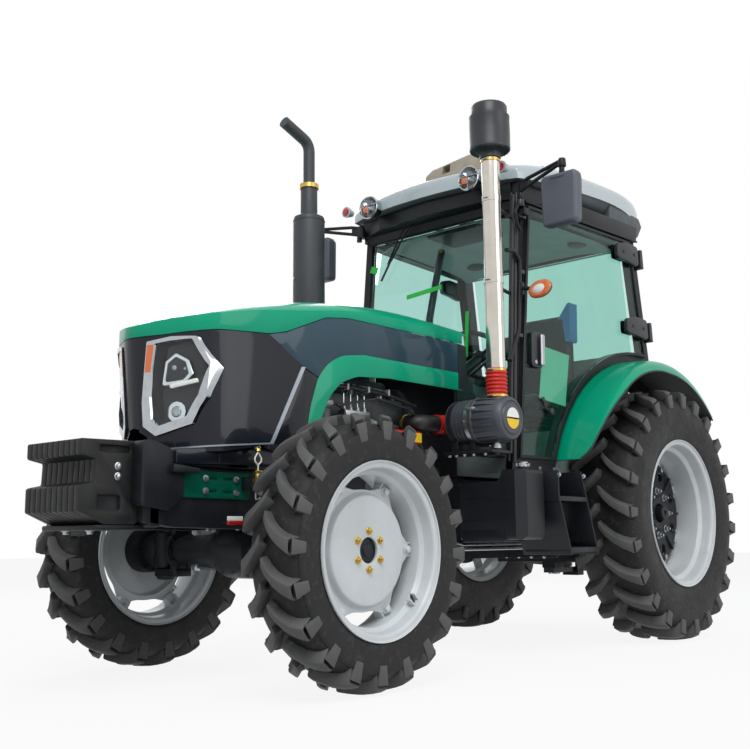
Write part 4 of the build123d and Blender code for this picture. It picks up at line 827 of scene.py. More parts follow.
def nose_outline(column, inset, rear):
    """The hood seen from above at the nose's bottom (1) or top (2), drawn in by an inset."""
    half = [(max(row[0] - inset, 0.0), along(row[column]) + inset) for row in NOSE_PLAN]
    half.append((HOOD_HALF - inset, rear))
    return rounded(half + [(-x, y) for x, y in reversed(half) if x > 0], 0.30, 4)


def hood_form(name, inset, low, rear):
    """The whole outer form of the hood as one closed shape: crown over a raked, pointed plan."""
    rings = [(nose_outline(1, inset, rear), low), (nose_outline(2, inset, rear), NOSE_TOP),
             (nose_outline(2, inset, rear), 2.0)]
    count = len(rings[0][0])

    def wall(column, row):
        outline, z = rings[round(row * 2)]
        return (*outline[round(column * count) % count], z)
    walls = sheet(name, count, 2, wall, closed=True)
    edit(walls, "EDGE")
    bpy.ops.mesh.select_all(action="DESELECT")
    bpy.ops.mesh.select_non_manifold()
    bpy.ops.mesh.edge_face_add()
    bpy.ops.object.mode_set(mode="OBJECT")
    mended(walls)

    def roof(column, row):
        x, y = (column - 0.5) * 2 * CROWN_HALF, -0.85 + row * 2.4
        return (x, along(y), crown_height(x, y) - inset)
    crown = sheet(name + "_crown", 48, 60, roof)
    edit(crown)
    bpy.ops.mesh.extrude_region_move(TRANSFORM_OT_translate={"value": (0, 0, -1.5)})
    bpy.ops.object.mode_set(mode="OBJECT")
    return cut(walls, [mended(crown)], "INTERSECT")


def side_cut(name, outline, half=0.6, soft=0.0):
    """A prism across the tractor from a side outline of (y from the front axle, z) points."""
    points = [(along(y), z) for y, z in outline]
    return plate(name, rounded(points, soft) if soft else points, "X", (-half, half))


def smooth_edge(points, radius=0.2):
    """A side edge with its corners rounded."""
    return [(point.x, point.y) for point in bent([(y, z, 0) for y, z in points], radius, 4)]


def make_hood():
    """The tilting hood: green top, black nose and number panels, slate side panels, green arch bands."""
    rear = HOOD_REAR - FRONT_Y
    outer = hood_form("hood_outer", 0.0, NOSE_LOW - 0.1, HOOD_REAR + 0.2)
    inner = hood_form("hood_inner", SKIN, NOSE_LOW - 0.3, HOOD_REAR + 0.4)
    shell = cut(copied(outer, Matrix.Identity(4), "hood_shell"), [inner])
    top_line = smooth_edge(NOSE_EDGE + RISING_EDGE + [(rear, RISING_EDGE[-1][1])])
    outer_arch, inner_arch = smooth_edge(ARCH_OUTER), smooth_edge(ARCH_INNER)
    corner = ARCH_OUTER[2]
    gap = 0.004
    side_line = [point for point in top_line if point[0] > NOSE_EDGE[-1][0] - 0.01]
    regions = {
        "hood_top_pressed": top_line + [(rear, 2.1), (-0.9, 2.1)],
        "slate_panels": [(y, z - gap) for y, z in side_line] + [(rear, ARCH_OUTER[-1][1])]
        + [point for point in outer_arch[::-1] if point[0] >= corner[0]] + [(NOSE_BACK[0][0], NOSE_BACK[0][1])],
        "number_panels": [(NOSE_BACK[0][0], NOSE_BACK[0][1] - gap), (corner[0], corner[1] - gap)]
        + [point for point in outer_arch[::-1] if point[0] < corner[0]] + [(-0.085, 1.075), NOSE_BACK[1]],
        "arch_bands_pressed": [(rear, ARCH_OUTER[-1][1])] + outer_arch[::-1] + inner_arch
        + [(rear, ARCH_INNER[-1][1])],
        "nose_pressed": [(y, z - gap) for y, z in smooth_edge(NOSE_EDGE)] + NOSE_BACK
        + [(-0.400, NOSE_LOW + 0.02), (-0.900, NOSE_LOW)],
    }
    panels = {}
    for name, outline in regions.items():
        panel = cut(copied(shell, Matrix.Identity(4), name), [side_cut(name + "_cut", outline)], "INTERSECT")
        panels[name] = panel
    bpy.data.objects.remove(shell)
    for side in (1, -1):
        cut(panels["nose_pressed"], [lamp_prism(side, -0.002)])
    for name, key in (("hood_top_pressed", "green"), ("slate_panels", "slate"), ("number_panels", "gloss_black"),
                      ("arch_bands_pressed", "green"), ("nose_pressed", "gloss_black")):
        painted(eased(panels[name], 0.0035, 2, 40), key)
    fitted(panels["hood_top_pressed"], "hood", "green_paint", "hood_top", angle=30)
    fitted(panels["arch_bands_pressed"], "hood", "green_paint", "arch_bands", angle=30)
    fitted(panels["nose_pressed"], "hood", "gloss_black", "nose_shell", angle=30)
    sides = joined("side_panels_pressed", [panels["slate_panels"], panels["number_panels"]])
    fitted(sides, "hood", "gloss_black", "side_panels", angle=30)
    make_headlamps(outer)
    make_trim(outer)
    bpy.data.objects.remove(outer)


# ---------------------------------------------------------------- headlamps
LAMP = ((0.094, 1.515), (0.080, 1.392), (0.065, 1.248), (0.066, 1.140), (0.117, 1.097), (0.271, 1.146),
        (0.313, 1.262), (0.334, 1.398), (0.296, 1.531), (0.197, 1.533))
LAMP_LENS = ((0.127, 1.504), (0.110, 1.392), (0.098, 1.270), (0.101, 1.169), (0.131, 1.140), (0.250, 1.180),
             (0.294, 1.275), (0.320, 1.402), (0.280, 1.520), (0.190, 1.514))


def drawn_in(outline, inset):
    """A flat outline moved inwards by an inset."""
    flat = [Vector(point) for point in outline]
    moved = []
    turn = sum(a.x * b.y - b.x * a.y for a, b in zip(flat, flat[1:] + flat[:1]))
    for before, point, after in zip(flat[-1:] + flat[:-1], flat, flat[1:] + flat[:1]):
        first, second = (point - before).normalized(), (after - point).normalized()
        normals = [Vector((-way.y, way.x)) * (1 if turn > 0 else -1) for way in (first, second)]
        lean = (normals[0] + normals[1]).normalized()
        moved.append(point + lean * inset / max(lean.dot(normals[0]), 0.3))
    return [(point.x, point.y) for point in moved]


def lamp_prism(side, inset, corners=LAMP):
    """A prism along the tractor from the lamp's outline or its lens's, drawn in by an inset."""
    outline = rounded([(side * x, z) for x, z in drawn_in(corners, inset)], 0.008, 3)
    return plate("lamp_prism", outline, "Y", (along(-0.95), along(-0.34)))


def make_headlamps(outer):
    """Pentagonal lamps that wrap round the nose: chrome frame, dark well, two reflectors and a clear lens."""
    forms = {}
    for name, inset in (("proud", -0.006), ("lens_back", 0.004), ("frame_back", 0.030), ("well_front", 0.052),
                        ("well_back", 0.060)):
        forms[name] = hood_form("lamp_" + name, inset, NOSE_LOW - 0.2 - inset, HOOD_REAR + 0.2)
    frames, wells, lenses = [], [], []
    for side in (1, -1):
        frame_piece = cut(copied(forms["proud"], Matrix.Identity(4), "lamp_frame"),
                          [lamp_prism(side, 0.0)], "INTERSECT")
        cut(frame_piece, [lamp_prism(side, 0.0, LAMP_LENS), copied(forms["frame_back"], Matrix.Identity(4))])
        put(frames, "chrome", eased(frame_piece, 0.003, 2, 40))
        accent = cut(copied(forms["proud"], Matrix.Translation((0, -0.0015, 0)), "lamp_accent"),
                     [lamp_prism(side, 0.004)], "INTERSECT")
        cut(accent, [lamp_prism(side, -0.002, LAMP_LENS), copied(forms["frame_back"], Matrix.Identity(4)),
            block("above", (-1, 1), (-3, 0), (1.5, 2.2)), block("below", (-1, 1), (-3, 0), (0.8, 1.378)),
            block("outside", span(side * 0.135, side * 1.0), (-3, 0), (0.9, 2))])
        put(frames, "amber_lens", accent)
        well = cut(copied(forms["well_front"], Matrix.Identity(4), "lamp_well"),
                   [lamp_prism(side, -0.010, LAMP_LENS)], "INTERSECT")
        cut(well, [copied(forms["well_back"], Matrix.Identity(4))])
        wall = cut(copied(forms["lens_back"], Matrix.Identity(4), "lamp_wall"), [lamp_prism(side, -0.004, LAMP_LENS)],
                   "INTERSECT")
        cut(wall, [lamp_prism(side, 0.002, LAMP_LENS), copied(forms["well_back"], Matrix.Identity(4))])
        wells += [painted(well, "abs_black"), painted(wall, "abs_black")]
        lens = cut(copied(outer, Matrix.Identity(4), "lamp_lens"), [lamp_prism(side, -0.0005, LAMP_LENS)], "INTERSECT")
        cut(lens, [copied(forms["lens_back"], Matrix.Identity(4))])
        put(lenses, "clear", lens)
        wells += lamp_insides(side)
    for form in forms.values():
        bpy.data.objects.remove(form)
    fitted(joined("headlamp_frames", frames), "hood", "lamp_glass", "headlamps", angle=30)
    fitted(joined("headlamp_wells", wells), "hood", "black_plastic", angle=30)
    fitted(joined("headlamp_lenses", lenses), "hood", "tinted_glass", angle=30)


def lamp_insides(side):
    """The two reflectors of one lamp: a faceted upper one with its light bar, a round lower one."""
    pieces = []
    face_turn = atan2(0.160, 0.300)

    def face_point(x, z, depth):
        x -= 0.034
        y = along(-0.700 + (0.160 / 0.300) * x + 0.10 * (NOSE_TOP - z) + depth)
        return Vector((side * x, y, z))
    upper = [(0.165, 1.318), (0.186, 1.425), (0.232, 1.462), (0.283, 1.430), (0.296, 1.365), (0.262, 1.330)]
    for inset, depth, key in ((0.0, 0.030, "mirror"), (0.013, 0.026, "abs_black")):
        ring = [face_point(x, z, depth) for x, z in drawn_in(upper, inset)]
        flat = plate("lamp_upper", rounded([(point.x, point.z) for point in ring], 0.010, 3), "Y", (0.0, 0.020), 0.003)
        for vertex in flat.data.vertices:
            vertex.co.y += face_point(abs(vertex.co.x), vertex.co.z, depth).y
        put(pieces, key, flat)
    for x, z, radius in ((0.218, 1.398, 0.026), (0.262, 1.392, 0.022)):
        place = face_point(x, z, 0.024)
        put(pieces, "mirror", bar("projector", place + Vector((0, 0.03, 0)), place, radius * 0.7, radius, 6, 0.002))
        bpy.ops.mesh.primitive_uv_sphere_add(segments=20, ring_count=12, radius=radius * 0.7, location=place)
        put(pieces, "zinc", placed("projector_lens"))
    light_bar = plate("light_bar", rounded([(side * 0.172, 0.0), (side * 0.286, 0.024), (side * 0.290, 0.006),
                                            (side * 0.176, -0.018)], 0.004, 2), "Y", (0.0, 0.012), 0.002)
    for vertex in light_bar.data.vertices:
        vertex.co.z += 1.322
        vertex.co.y += face_point(abs(vertex.co.x), vertex.co.z, 0.016).y
    put(pieces, "white_label", light_bar)
    place = face_point(0.204, 1.205, 0.040)
    way = Vector((side * sin(face_turn) * 0.9, -1, 0)).normalized()
    put(pieces, "mirror", bar("round_reflector", place - way * 0.02, place + way * 0.012, 0.030, 0.047, 12, 0.002))
    put(pieces, "zinc", bar("round_bulb", place + way * 0.006, place + way * 0.017, 0.030, 0.022, 12, 0.003))
    return pieces


def make_trim(outer):
    """Silver line down the nose panel's back edge and along its foot, and the grey strip at the hood's rear."""
    proud = hood_form("trim_form", -0.003, NOSE_LOW - 0.2, HOOD_REAR + 0.2)
    (y_top, z_top), (y_low, z_low) = NOSE_BACK
    wide, thin = 0.020, 0.007
    lines = {
        "slanted_line": [(y_top + 0.004, z_top), (y_top - wide, z_top), (y_low - wide * 0.9, z_low),
                         (y_low + 0.002, z_low)],
        "foot_line": [(y_low, z_low), (y_low, z_low + thin), (-0.700, NOSE_LOW + 0.016 + thin),
                      (-0.700, NOSE_LOW + 0.016)],
    }
    pieces = []
    for name, outline in lines.items():
        line = cut(copied(proud, Matrix.Identity(4), name), [side_cut(name + "_cut", outline)], "INTERSECT")
        cut(line, [copied(outer, Matrix.Identity(4)),
                   block("middle", (-0.10, 0.10), (-3, 0), (0.8, 2))])
        put(pieces, "silver", line)
    rear = HOOD_REAR - FRONT_Y
    strip = cut(copied(proud, Matrix.Identity(4), "rear_strip"),
                [side_cut("rear_cut", [(rear - 0.095, 1.47), (rear - 0.002, 1.47), (rear - 0.002, 1.728),
                                       (rear - 0.095, 1.728)], soft=0.012)], "INTERSECT")
    put(pieces, "plate_black", cut(strip, [copied(outer, Matrix.Identity(4))]))
    bpy.data.objects.remove(proud)
    fitted(joined("hood_trim", pieces), "hood", "gloss_black", angle=30)


# ---------------------------------------------------------------- weights and front frame
def make_weights():
    """Ten suitcase weights hung on the front support; the outer ones show their hand holes."""
    low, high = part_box("front_weights")
    count, gap = 10, 0.003
    pitch = (high.x - low.x + gap) / count
    front, rear, bottom, top = low.y, high.y, low.z, high.z
    outline = [(front, bottom + 0.052), (front, bottom + 0.152), (front + 0.014, bottom + 0.158),
               (front + 0.070, bottom + 0.170), (front + 0.074, bottom + 0.262), (front + 0.006, bottom + 0.276),
               (front, bottom + 0.284), (front, top - 0.004), (rear, top), (rear, bottom + 0.03),
               (rear - 0.03, bottom), (front + 0.120, bottom)]
    pieces = []
    for index in range(count):
        x = low.x + index * pitch
        weight = plate("weight", rounded(outline, 0.010, 3), "X", (x, x + pitch - gap))
        if index in (0, count - 1):
            face = high.x if index else low.x
            reach = (face - 0.022, face + 0.02) if index else (face - 0.02, face + 0.022)
            for y, z, long, deep in ((front + 0.165, top - 0.040, 0.150, 0.030),
                                     (front + 0.140, bottom + 0.088, 0.110, 0.062)):
                hole = [(y - long / 2, z - deep / 2), (y + long / 2, z - deep / 2), (y + long / 2, z + deep / 2),
                        (y - long / 2, z + deep / 2)]
                cut(weight, [plate("hole", rounded(hole, 0.012, 3), "X", reach)])
        put(pieces, "weight_black", eased(weight, 0.004, 2, 40))
    for side in (1, -1):
        x = high.x if side > 0 else low.x
        for z in (top - 0.110, top - 0.152):
            pieces.append(hexagon("weight_bolt", (x - side * 0.001, front + 0.180, z), OUT[side], 0.026, 0.012,
                "zinc"))
    fitted(joined("suitcase_weights", pieces), "chassis", "chassis_black", "front_weights")


def make_front_frame():
    """Cast front support on its rails, green bolted plates, the tray under the nose, latch and reflector."""
    low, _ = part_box("front_frame")
    pieces = []
    half = 0.245
    for side in (1, -1):
        face = side * half
        outline = [(-0.76, 0.720), (-0.60, 0.700), (-0.16, 0.690), (0.10, 0.700), (0.22, 0.770), (0.62, 0.770),
                   (0.62, 0.960), (-0.76, 0.960)]
        rail = plate("rail", rounded([(along(y), z) for y, z in outline], 0.02, 3), "X", span(side * 0.185, face),
            0.004)
        put(pieces, "cast_black", rail)
        bracket = [(-0.80, 0.790), (-0.66, 0.770), (-0.58, 0.830), (-0.58, 0.975), (-0.66, 1.035), (-0.74, 1.060),
                   (-0.80, 1.060)]
        put(pieces, "cast_black", plate("support", rounded([(along(y), z) for y, z in bracket], 0.025, 3), "X",
            span(side * 0.215, side * 0.285), 0.005))
        step = [(-0.66, 0.930), (-0.52, 0.930), (-0.52, 0.950), (-0.66, 0.965)]
        put(pieces, "cast_black", plate("ledge", [(along(y), z) for y, z in step], "X",
            span(side * 0.215, side * 0.315), 0.003))
        green = [(-0.575, 0.828), (-0.190, 0.824), (-0.190, 0.944), (-0.575, 0.942)]
        patch = plate("green_plate", [(along(y), z) for y, z in green], "X", span(face, side * (half + 0.012)))
        for y, z in ((-0.405, 0.912), (-0.315, 0.911), (-0.405, 0.856), (-0.315, 0.854)):
            slot = [(y - 0.025, z - 0.007), (y + 0.025, z - 0.007), (y + 0.025, z + 0.007), (y - 0.025, z + 0.007)]
            cut(patch, [plate("slot", rounded([(along(a), b) for a, b in slot], 0.006, 3), "X",
                span(side * (half + 0.004), side * (half + 0.03)))])
        # the green plate is painted darker than the hood's green: painted shade
        put(pieces, "shade_green", eased(patch, 0.002, 2, 40))
        for y, z in ((-0.445, 0.912), (-0.270, 0.911), (-0.445, 0.857), (-0.270, 0.853)):
            pieces.append(hexagon("plate_bolt", (side * (half + 0.012), along(y), z), OUT[side], 0.024, 0.014,
                "zinc"))
        valance = [(-0.640, 0.965), (-0.020, 0.985), (-0.060, 1.045), (-0.150, 1.066), (-0.640, 1.030)]
        put(pieces, "gloss_black", plate("valance", rounded([(along(y), z) for y, z in valance], 0.012, 3), "X",
            span(side * 0.262, side * 0.300), 0.003))
        put(pieces, "hose", block("valance_seam", span(side * 0.2995, side * 0.3015), (along(-0.407), along(-0.401)),
            (0.975, 1.042)))
    put(pieces, "plate_black", block("tray", (-0.27, 0.27), (along(-0.64), along(-0.04)), (0.962, 0.985), 0.004))
    put(pieces, "cast_black", block("cross_plate", (-half, half), (low.y + 0.225, low.y + 0.29), (0.700, 1.040),
        0.012, 3))
    put(pieces, "cast_black", block("tongue", (-0.20, 0.20), (low.y, low.y + 0.30), (0.689, 0.711), 0.006))
    put(pieces, "cast_black", block("pivot_seat", (-0.24, 0.24), (along(-0.13), along(0.13)), (0.762, 0.930), 0.015, 3))
    for x in (-0.09, 0.09):
        pieces.append(hexagon("tongue_bolt", (x, low.y + 0.05, 0.689), "-Z", 0.030, 0.016))
    fitted(joined("front_support", pieces), "chassis", "chassis_black", "front_frame")
    make_latch()


def make_latch():
    """Draw latch of zinc-plated steel on each side: a hook on the hood, a wire bail, a cast body below it."""
    keepers, latches = [], []
    for side in (1, -1):
        x, y = side * 0.345, along(-0.222)
        put(keepers, "zinc", block("keeper", span(x - side * 0.012, x + side * 0.004), (y - 0.016, y + 0.016),
            (1.046, 1.070), 0.003))
        put(keepers, "gold_zinc", turned("keeper_bush", (x + side * 0.004, y, 1.046), "Z",
            [(-0.008, 0.008), (-0.006, 0.014), (0.004, 0.011), (0.010, 0.014), (0.012, 0.008)], sides=16))
        x += side * 0.006
        bail = [(x, y, 1.036), (x, y - 0.020, 1.006), (x, y - 0.018, 0.992), (x, y, 0.975), (x, y, 0.950)]
        put(latches, "white_label", pipe("bail", bail, 0.0038, 0.008))
        put(latches, "white_label", pipe("bail", [(a, 2 * y - b, c) for a, b, c in bail[:4]], 0.0038, 0.008))
        put(latches, "gold_zinc", block("latch_head", span(x - side * 0.012, x + side * 0.010),
            (y - 0.021, y + 0.021), (0.934, 0.952), 0.003))
        put(latches, "gold_zinc", bar("latch_body", (x, y, 0.936), (x, y, 0.866), 0.019, 0.015, 12, 0.003))
        for spread in (-1, 1):
            put(latches, "gold_zinc", block("latch_cheek", span(x - side * 0.008, x + side * 0.012),
                span(y + spread * 0.016, y + spread * 0.024), (0.862, 0.930), 0.002))
        put(latches, "zinc", pipe("latch_loop", [(x, y - 0.013, 0.874), (x, y - 0.013, 0.824), (x, y + 0.013, 0.824),
            (x, y + 0.013, 0.874)], 0.004, 0.006))
        put(latches, "plate_black", block("latch_bracket", span(side * 0.257, x - side * 0.008),
            (y - 0.018, y + 0.018), (0.868, 0.926), 0.003))
        put(latches, "red_lens", block("reflector", span(side * 0.338, side * 0.342), (along(-0.388), along(-0.300)),
            (0.710, 0.728), 0.001))
        put(latches, "white_label", block("reflector", span(side * 0.338, side * 0.342),
            (along(-0.388), along(-0.300)), (0.728, 0.747), 0.001))
        put(latches, "plate_black", block("reflector_arm", span(side * 0.240, side * 0.338),
            (along(-0.35), along(-0.335)), (0.716, 0.728), 0.002))
    fitted(joined("hood_keepers", keepers), "hood", "chassis_black")
    fitted(joined("hood_latches", latches), "chassis", "chassis_black")


# ---------------------------------------------------------------- engine bay
def make_engine():
    """Straight-four diesel: ribbed block, head, rocker cover, injection pump and lines, filters, starter, fan."""
    iron, bright = [], []
    iron.append(block("block", (-0.195, 0.195), (along(-0.02), along(1.02)), (0.980, 1.240), 0.012, 3))
    for index in range(7):
        y = along(0.06 + index * 0.145)
        for side in (1, -1):
            iron.append(block("rib", span(side * 0.190, side * 0.212), (y - 0.008, y + 0.008), (1.000, 1.225), 0.004))
    iron.append(block("deck", (-0.228, 0.228), (along(-0.05), along(1.05)), (1.228, 1.252), 0.006))
    iron.append(block("head", (-0.185, 0.185), (along(0.02), along(1.0)), (1.250, 1.395), 0.012, 3))
    for index in range(8):
        y = along(0.07 + index * 0.125)
        for side in (1, -1):
            iron.append(hexagon("head_bolt", (side * 0.15, y, 1.394), "Z", 0.026, 0.014))
    iron.append(block("rocker_cover", (-0.115, 0.115), (along(0.06), along(0.95)), (1.390, 1.500), 0.028, 4))
    iron.append(block("rocker_flange", (-0.135, 0.135), (along(0.04), along(0.97)), (1.394, 1.408), 0.004))
    sump = block("sump", (-0.176, 0.176), (along(0.16), along(1.04)), (0.645, 0.975), 0.030, 4)
    iron.append(cut(sump, [block("rise", (-0.3, 0.3), (along(0.1), along(0.46)), (0.5, 0.735))]))
    iron.append(block("sump_rail", (-0.184, 0.184), (along(0.155), along(1.05)), (0.962, 0.984), 0.005))
    iron.append(plate("flywheel_case", rounded([(-0.228, 0.985), (0.228, 0.985), (0.228, 1.33), (0.13, 1.470),
                                                (-0.13, 1.470), (-0.228, 1.33)], 0.05, 4), "Y",
                      (along(1.00), along(1.058)), 0.006, 2))
    iron.append(plate("timing_case", rounded([(-0.20, 0.985), (0.20, 0.985), (0.215, 1.20), (0.14, 1.40),
                                              (-0.14, 1.40), (-0.215, 1.20)], 0.05, 4), "Y",
                      (along(-0.055), along(-0.01)), 0.008, 2))
    for piece in iron:
        if not piece.data.materials:
            painted(piece, "engine_grey")
    put(bright, "abs_black", turned("oil_cap", (0.0, along(0.78), 1.50), "Z",
        [(-0.01, 0.028), (0.02, 0.030), (0.028, 0.026), (0.03, 0.012)], 20))
    put(bright, "die_cast", block("pump_body", (0.232, 0.292), (along(0.40), along(0.63)), (1.185, 1.262), 0.010, 3))
    put(bright, "die_cast", block("pump_head", (0.238, 0.286), (along(0.415), along(0.615)), (1.262, 1.292), 0.006, 2))
    put(bright, "die_cast", bar("governor", (0.262, along(0.63), 1.222), (0.262, along(0.72), 1.222), 0.043, 0.036,
        24, 0.006))
    put(bright, "engine_grey", bar("pump_drive", (0.255, along(0.30), 1.222), (0.255, along(0.40), 1.222), 0.030,
        0.036, 24, 0.004))
    for index in range(4):
        y = along(0.435 + index * 0.052)
        bright.append(hexagon("delivery_valve", (0.262, y, 1.290), "Z", 0.024, 0.022))
        reach = along(0.14 + index * 0.235)
        put(bright, "zinc", pipe("injector_line", [(0.262, y, 1.305), (0.262, y, 1.375), (0.225, y, 1.435),
            (0.19, reach, 1.435), (0.14, reach, 1.42)], 0.0045, 0.02, 3))
        put(bright, "zinc", bar("injector", (0.150, reach, 1.385), (0.150, reach, 1.440), 0.014, 0.010, 12))
    for y in (0.180, 0.285):
        put(bright, "hose" if y < 0.2 else "engine_grey", turned("filter", (0.255, along(y), 1.130), "Z",
            [(0.0, 0.020), (0.004, 0.036), (0.016, 0.044), (0.150, 0.044), (0.156, 0.040), (0.160, 0.045),
            (0.172, 0.045)], 28))
    put(bright, "die_cast", block("filter_head", (0.225, 0.292), (along(0.13), along(0.335)), (1.300, 1.330), 0.008, 2))
    put(bright, "hose", pipe("fuel_hose", [(0.262, along(0.335), 1.316), (0.275, along(0.38), 1.316),
        (0.280, along(0.42), 1.29), (0.280, along(0.43), 1.24)], 0.008, 0.03))
    put(bright, "hose", bar("starter", (0.250, along(0.70), 1.060), (0.250, along(0.93), 1.060), 0.046, sides=28,
        edge=0.006))
    put(bright, "die_cast", bar("starter_nose", (0.250, along(0.93), 1.060), (0.250, along(1.01), 1.060), 0.040,
        0.052, 24, 0.004))
    put(bright, "hose", bar("solenoid", (0.262, along(0.78), 1.126), (0.262, along(0.90), 1.126), 0.026, sides=20,
        edge=0.004))
    put(bright, "red_paint", block("red_cover", (0.232, 0.350), (along(0.71), along(0.965)), (1.140, 1.210), 0.014, 3))
    put(bright, "yellow_label", block("label_plate", (0.349, 0.3515), (along(0.895), along(0.955)), (1.150, 1.200)))
    for index in range(4):
        y = along(0.14 + index * 0.235)
        put(bright, "rust", pipe("runner", [(-0.180, y, 1.330), (-0.245, y, 1.330)], 0.024))
    put(bright, "rust", bar("manifold", (-0.248, along(0.10), 1.330), (-0.248, along(0.895), 1.330), 0.032, sides=20,
        edge=0.006))
    put(bright, "rust", turned("exhaust_flange", (-0.215, along(0.945), 1.330), "X",
        [(-0.015, 0.050), (-0.012, 0.056), (0.030, 0.056), (0.033, 0.050)], 24))
    whole = joined("engine_iron", iron)
    fitted(whole, "chassis", "engine_metal", "engine_block")
    make_fan(bright)
    make_wiring(bright)
    fitted(joined("engine_fittings", bright), "chassis", "engine_metal")


def make_fan(pieces):
    """The fan, its pulleys and belt, and the alternator."""
    centre = Vector((0.0, along(-0.105), 1.235))
    blade = plate("blade", [(0.035, -0.02), (0.195, -0.045), (0.205, 0.030), (0.035, 0.022)], "Y", (-0.002, 0.002))
    for vertex in blade.data.vertices:
        vertex.co.y += vertex.co.z * 0.45 + centre.y
        vertex.co.z += centre.z
    pieces += [painted(copy, "hose") for copy in around([blade], centre, "Y", 8)]
    put(pieces, "die_cast", turned("fan_hub", centre, "Y", [(-0.02, 0.030), (-0.018, 0.045), (0.018, 0.045),
        (0.045, 0.030)], 24))
    wheels = ((0.0, 1.235, 0.060), (0.0, 1.030, 0.085), (-0.175, 1.320, 0.034))
    for x, z, radius in wheels:
        put(pieces, "engine_grey", turned("pulley", (x, along(-0.068), z), "Y",
            [(-0.012, radius), (-0.010, radius + 0.004), (-0.003, radius - 0.006), (0.003, radius - 0.006),
            (0.010, radius + 0.004), (0.012, radius)], 32))
    belt = [(0.091, 1.030), (0.066, 1.235), (0.0, 1.301), (-0.175, 1.360), (-0.215, 1.320), (-0.091, 1.030),
            (0.0, 0.940)]
    loop = [Vector((x, along(-0.068), z)) for x, z in rounded(belt, 0.06, 5)]
    put(pieces, "hose", pipe("belt", loop + loop[:1], 0.006, sides=2, ends=False))
    put(pieces, "die_cast", bar("alternator", (-0.175, along(-0.055), 1.320), (-0.175, along(0.08), 1.320), 0.055,
        sides=28, edge=0.008))


def make_wiring(pieces):
    """Coolant hoses and the loom that runs along the engine's near side."""
    routes = (
        ("top_hose", [(0.10, along(-0.215), 1.42), (0.10, along(-0.14), 1.42), (0.06, along(-0.03), 1.42),
                      (0.05, along(0.06), 1.40)], 0.022, "hose"),
        ("low_hose", [(-0.12, along(-0.215), 1.02), (-0.12, along(-0.12), 1.02), (-0.16, along(-0.02), 1.06),
                      (-0.17, along(0.02), 1.10)], 0.022, "hose"),
        ("loom", [(0.236, along(0.05), 1.36), (0.256, along(0.22), 1.405), (0.256, along(0.50), 1.415),
                  (0.256, along(0.80), 1.40), (0.256, along(1.02), 1.36)], 0.011, "abs_black"),
        ("drain_hose", [(0.266, along(0.285), 1.125), (0.268, along(0.30), 1.06), (0.262, along(0.42), 1.03),
                        (0.258, along(0.60), 1.04), (0.256, along(0.68), 1.08)], 0.007, "hose"),
        ("heater_hose", [(0.240, along(1.02), 1.20), (0.300, along(1.00), 1.15), (0.310, along(1.06), 1.05),
                         (0.300, along(1.16), 1.00)], 0.012, "hose"),
        ("fuel_line", [(0.288, along(0.36), 1.306), (0.330, along(0.62), 1.36), (0.330, along(0.85), 1.33),
                       (0.300, along(1.03), 1.27), (0.290, along(1.10), 1.20)], 0.006, "hose"),
    )
    for name, points, radius, key in routes:
        put(pieces, key, pipe(name, points, radius, radius * 4, 4))
    for y in (0.30, 0.46, 0.62, 0.78):
        put(pieces, "white_label", block("loom_clip", (0.240, 0.270), (along(y), along(y + 0.012)), (1.398, 1.430),
            0.002))


def make_radiator():
    """Radiator with a finned core in a channel frame, its top tank and cap."""
    low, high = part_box("radiator")
    pieces = []
    core = block("core", (low.x + 0.03, high.x - 0.03), (low.y + 0.03, high.y - 0.03), (low.z + 0.04, high.z - 0.11))
    put(pieces, "die_cast", core)
    for index in range(24):
        z = low.z + 0.055 + index * 0.0155
        put(pieces, "cast_black", block("fin_row", (low.x + 0.028, high.x - 0.028), (low.y + 0.022, high.y - 0.022),
            (z, z + 0.004)))
    for side in (low.x, high.x - 0.032):
        put(pieces, "plate_black", block("side_channel", (side, side + 0.032), (low.y, high.y),
            (low.z, high.z - 0.02), 0.004))
    put(pieces, "plate_black", block("low_tank", (low.x, high.x), (low.y, high.y), (low.z, low.z + 0.045), 0.008, 3))
    put(pieces, "plate_black", block("top_tank", (low.x, high.x), (low.y, high.y), (high.z - 0.110, high.z - 0.012),
        0.018, 4))
    put(pieces, "zinc", turned("cap", ((low.x + high.x) / 2, (low.y + high.y) / 2, high.z - 0.012), "Z",
        [(-0.004, 0.022), (0.006, 0.026), (0.010, 0.026), (0.012, 0.018)], 20))
    fitted(joined("radiator_built", pieces), "chassis", "chassis_black", "radiator")


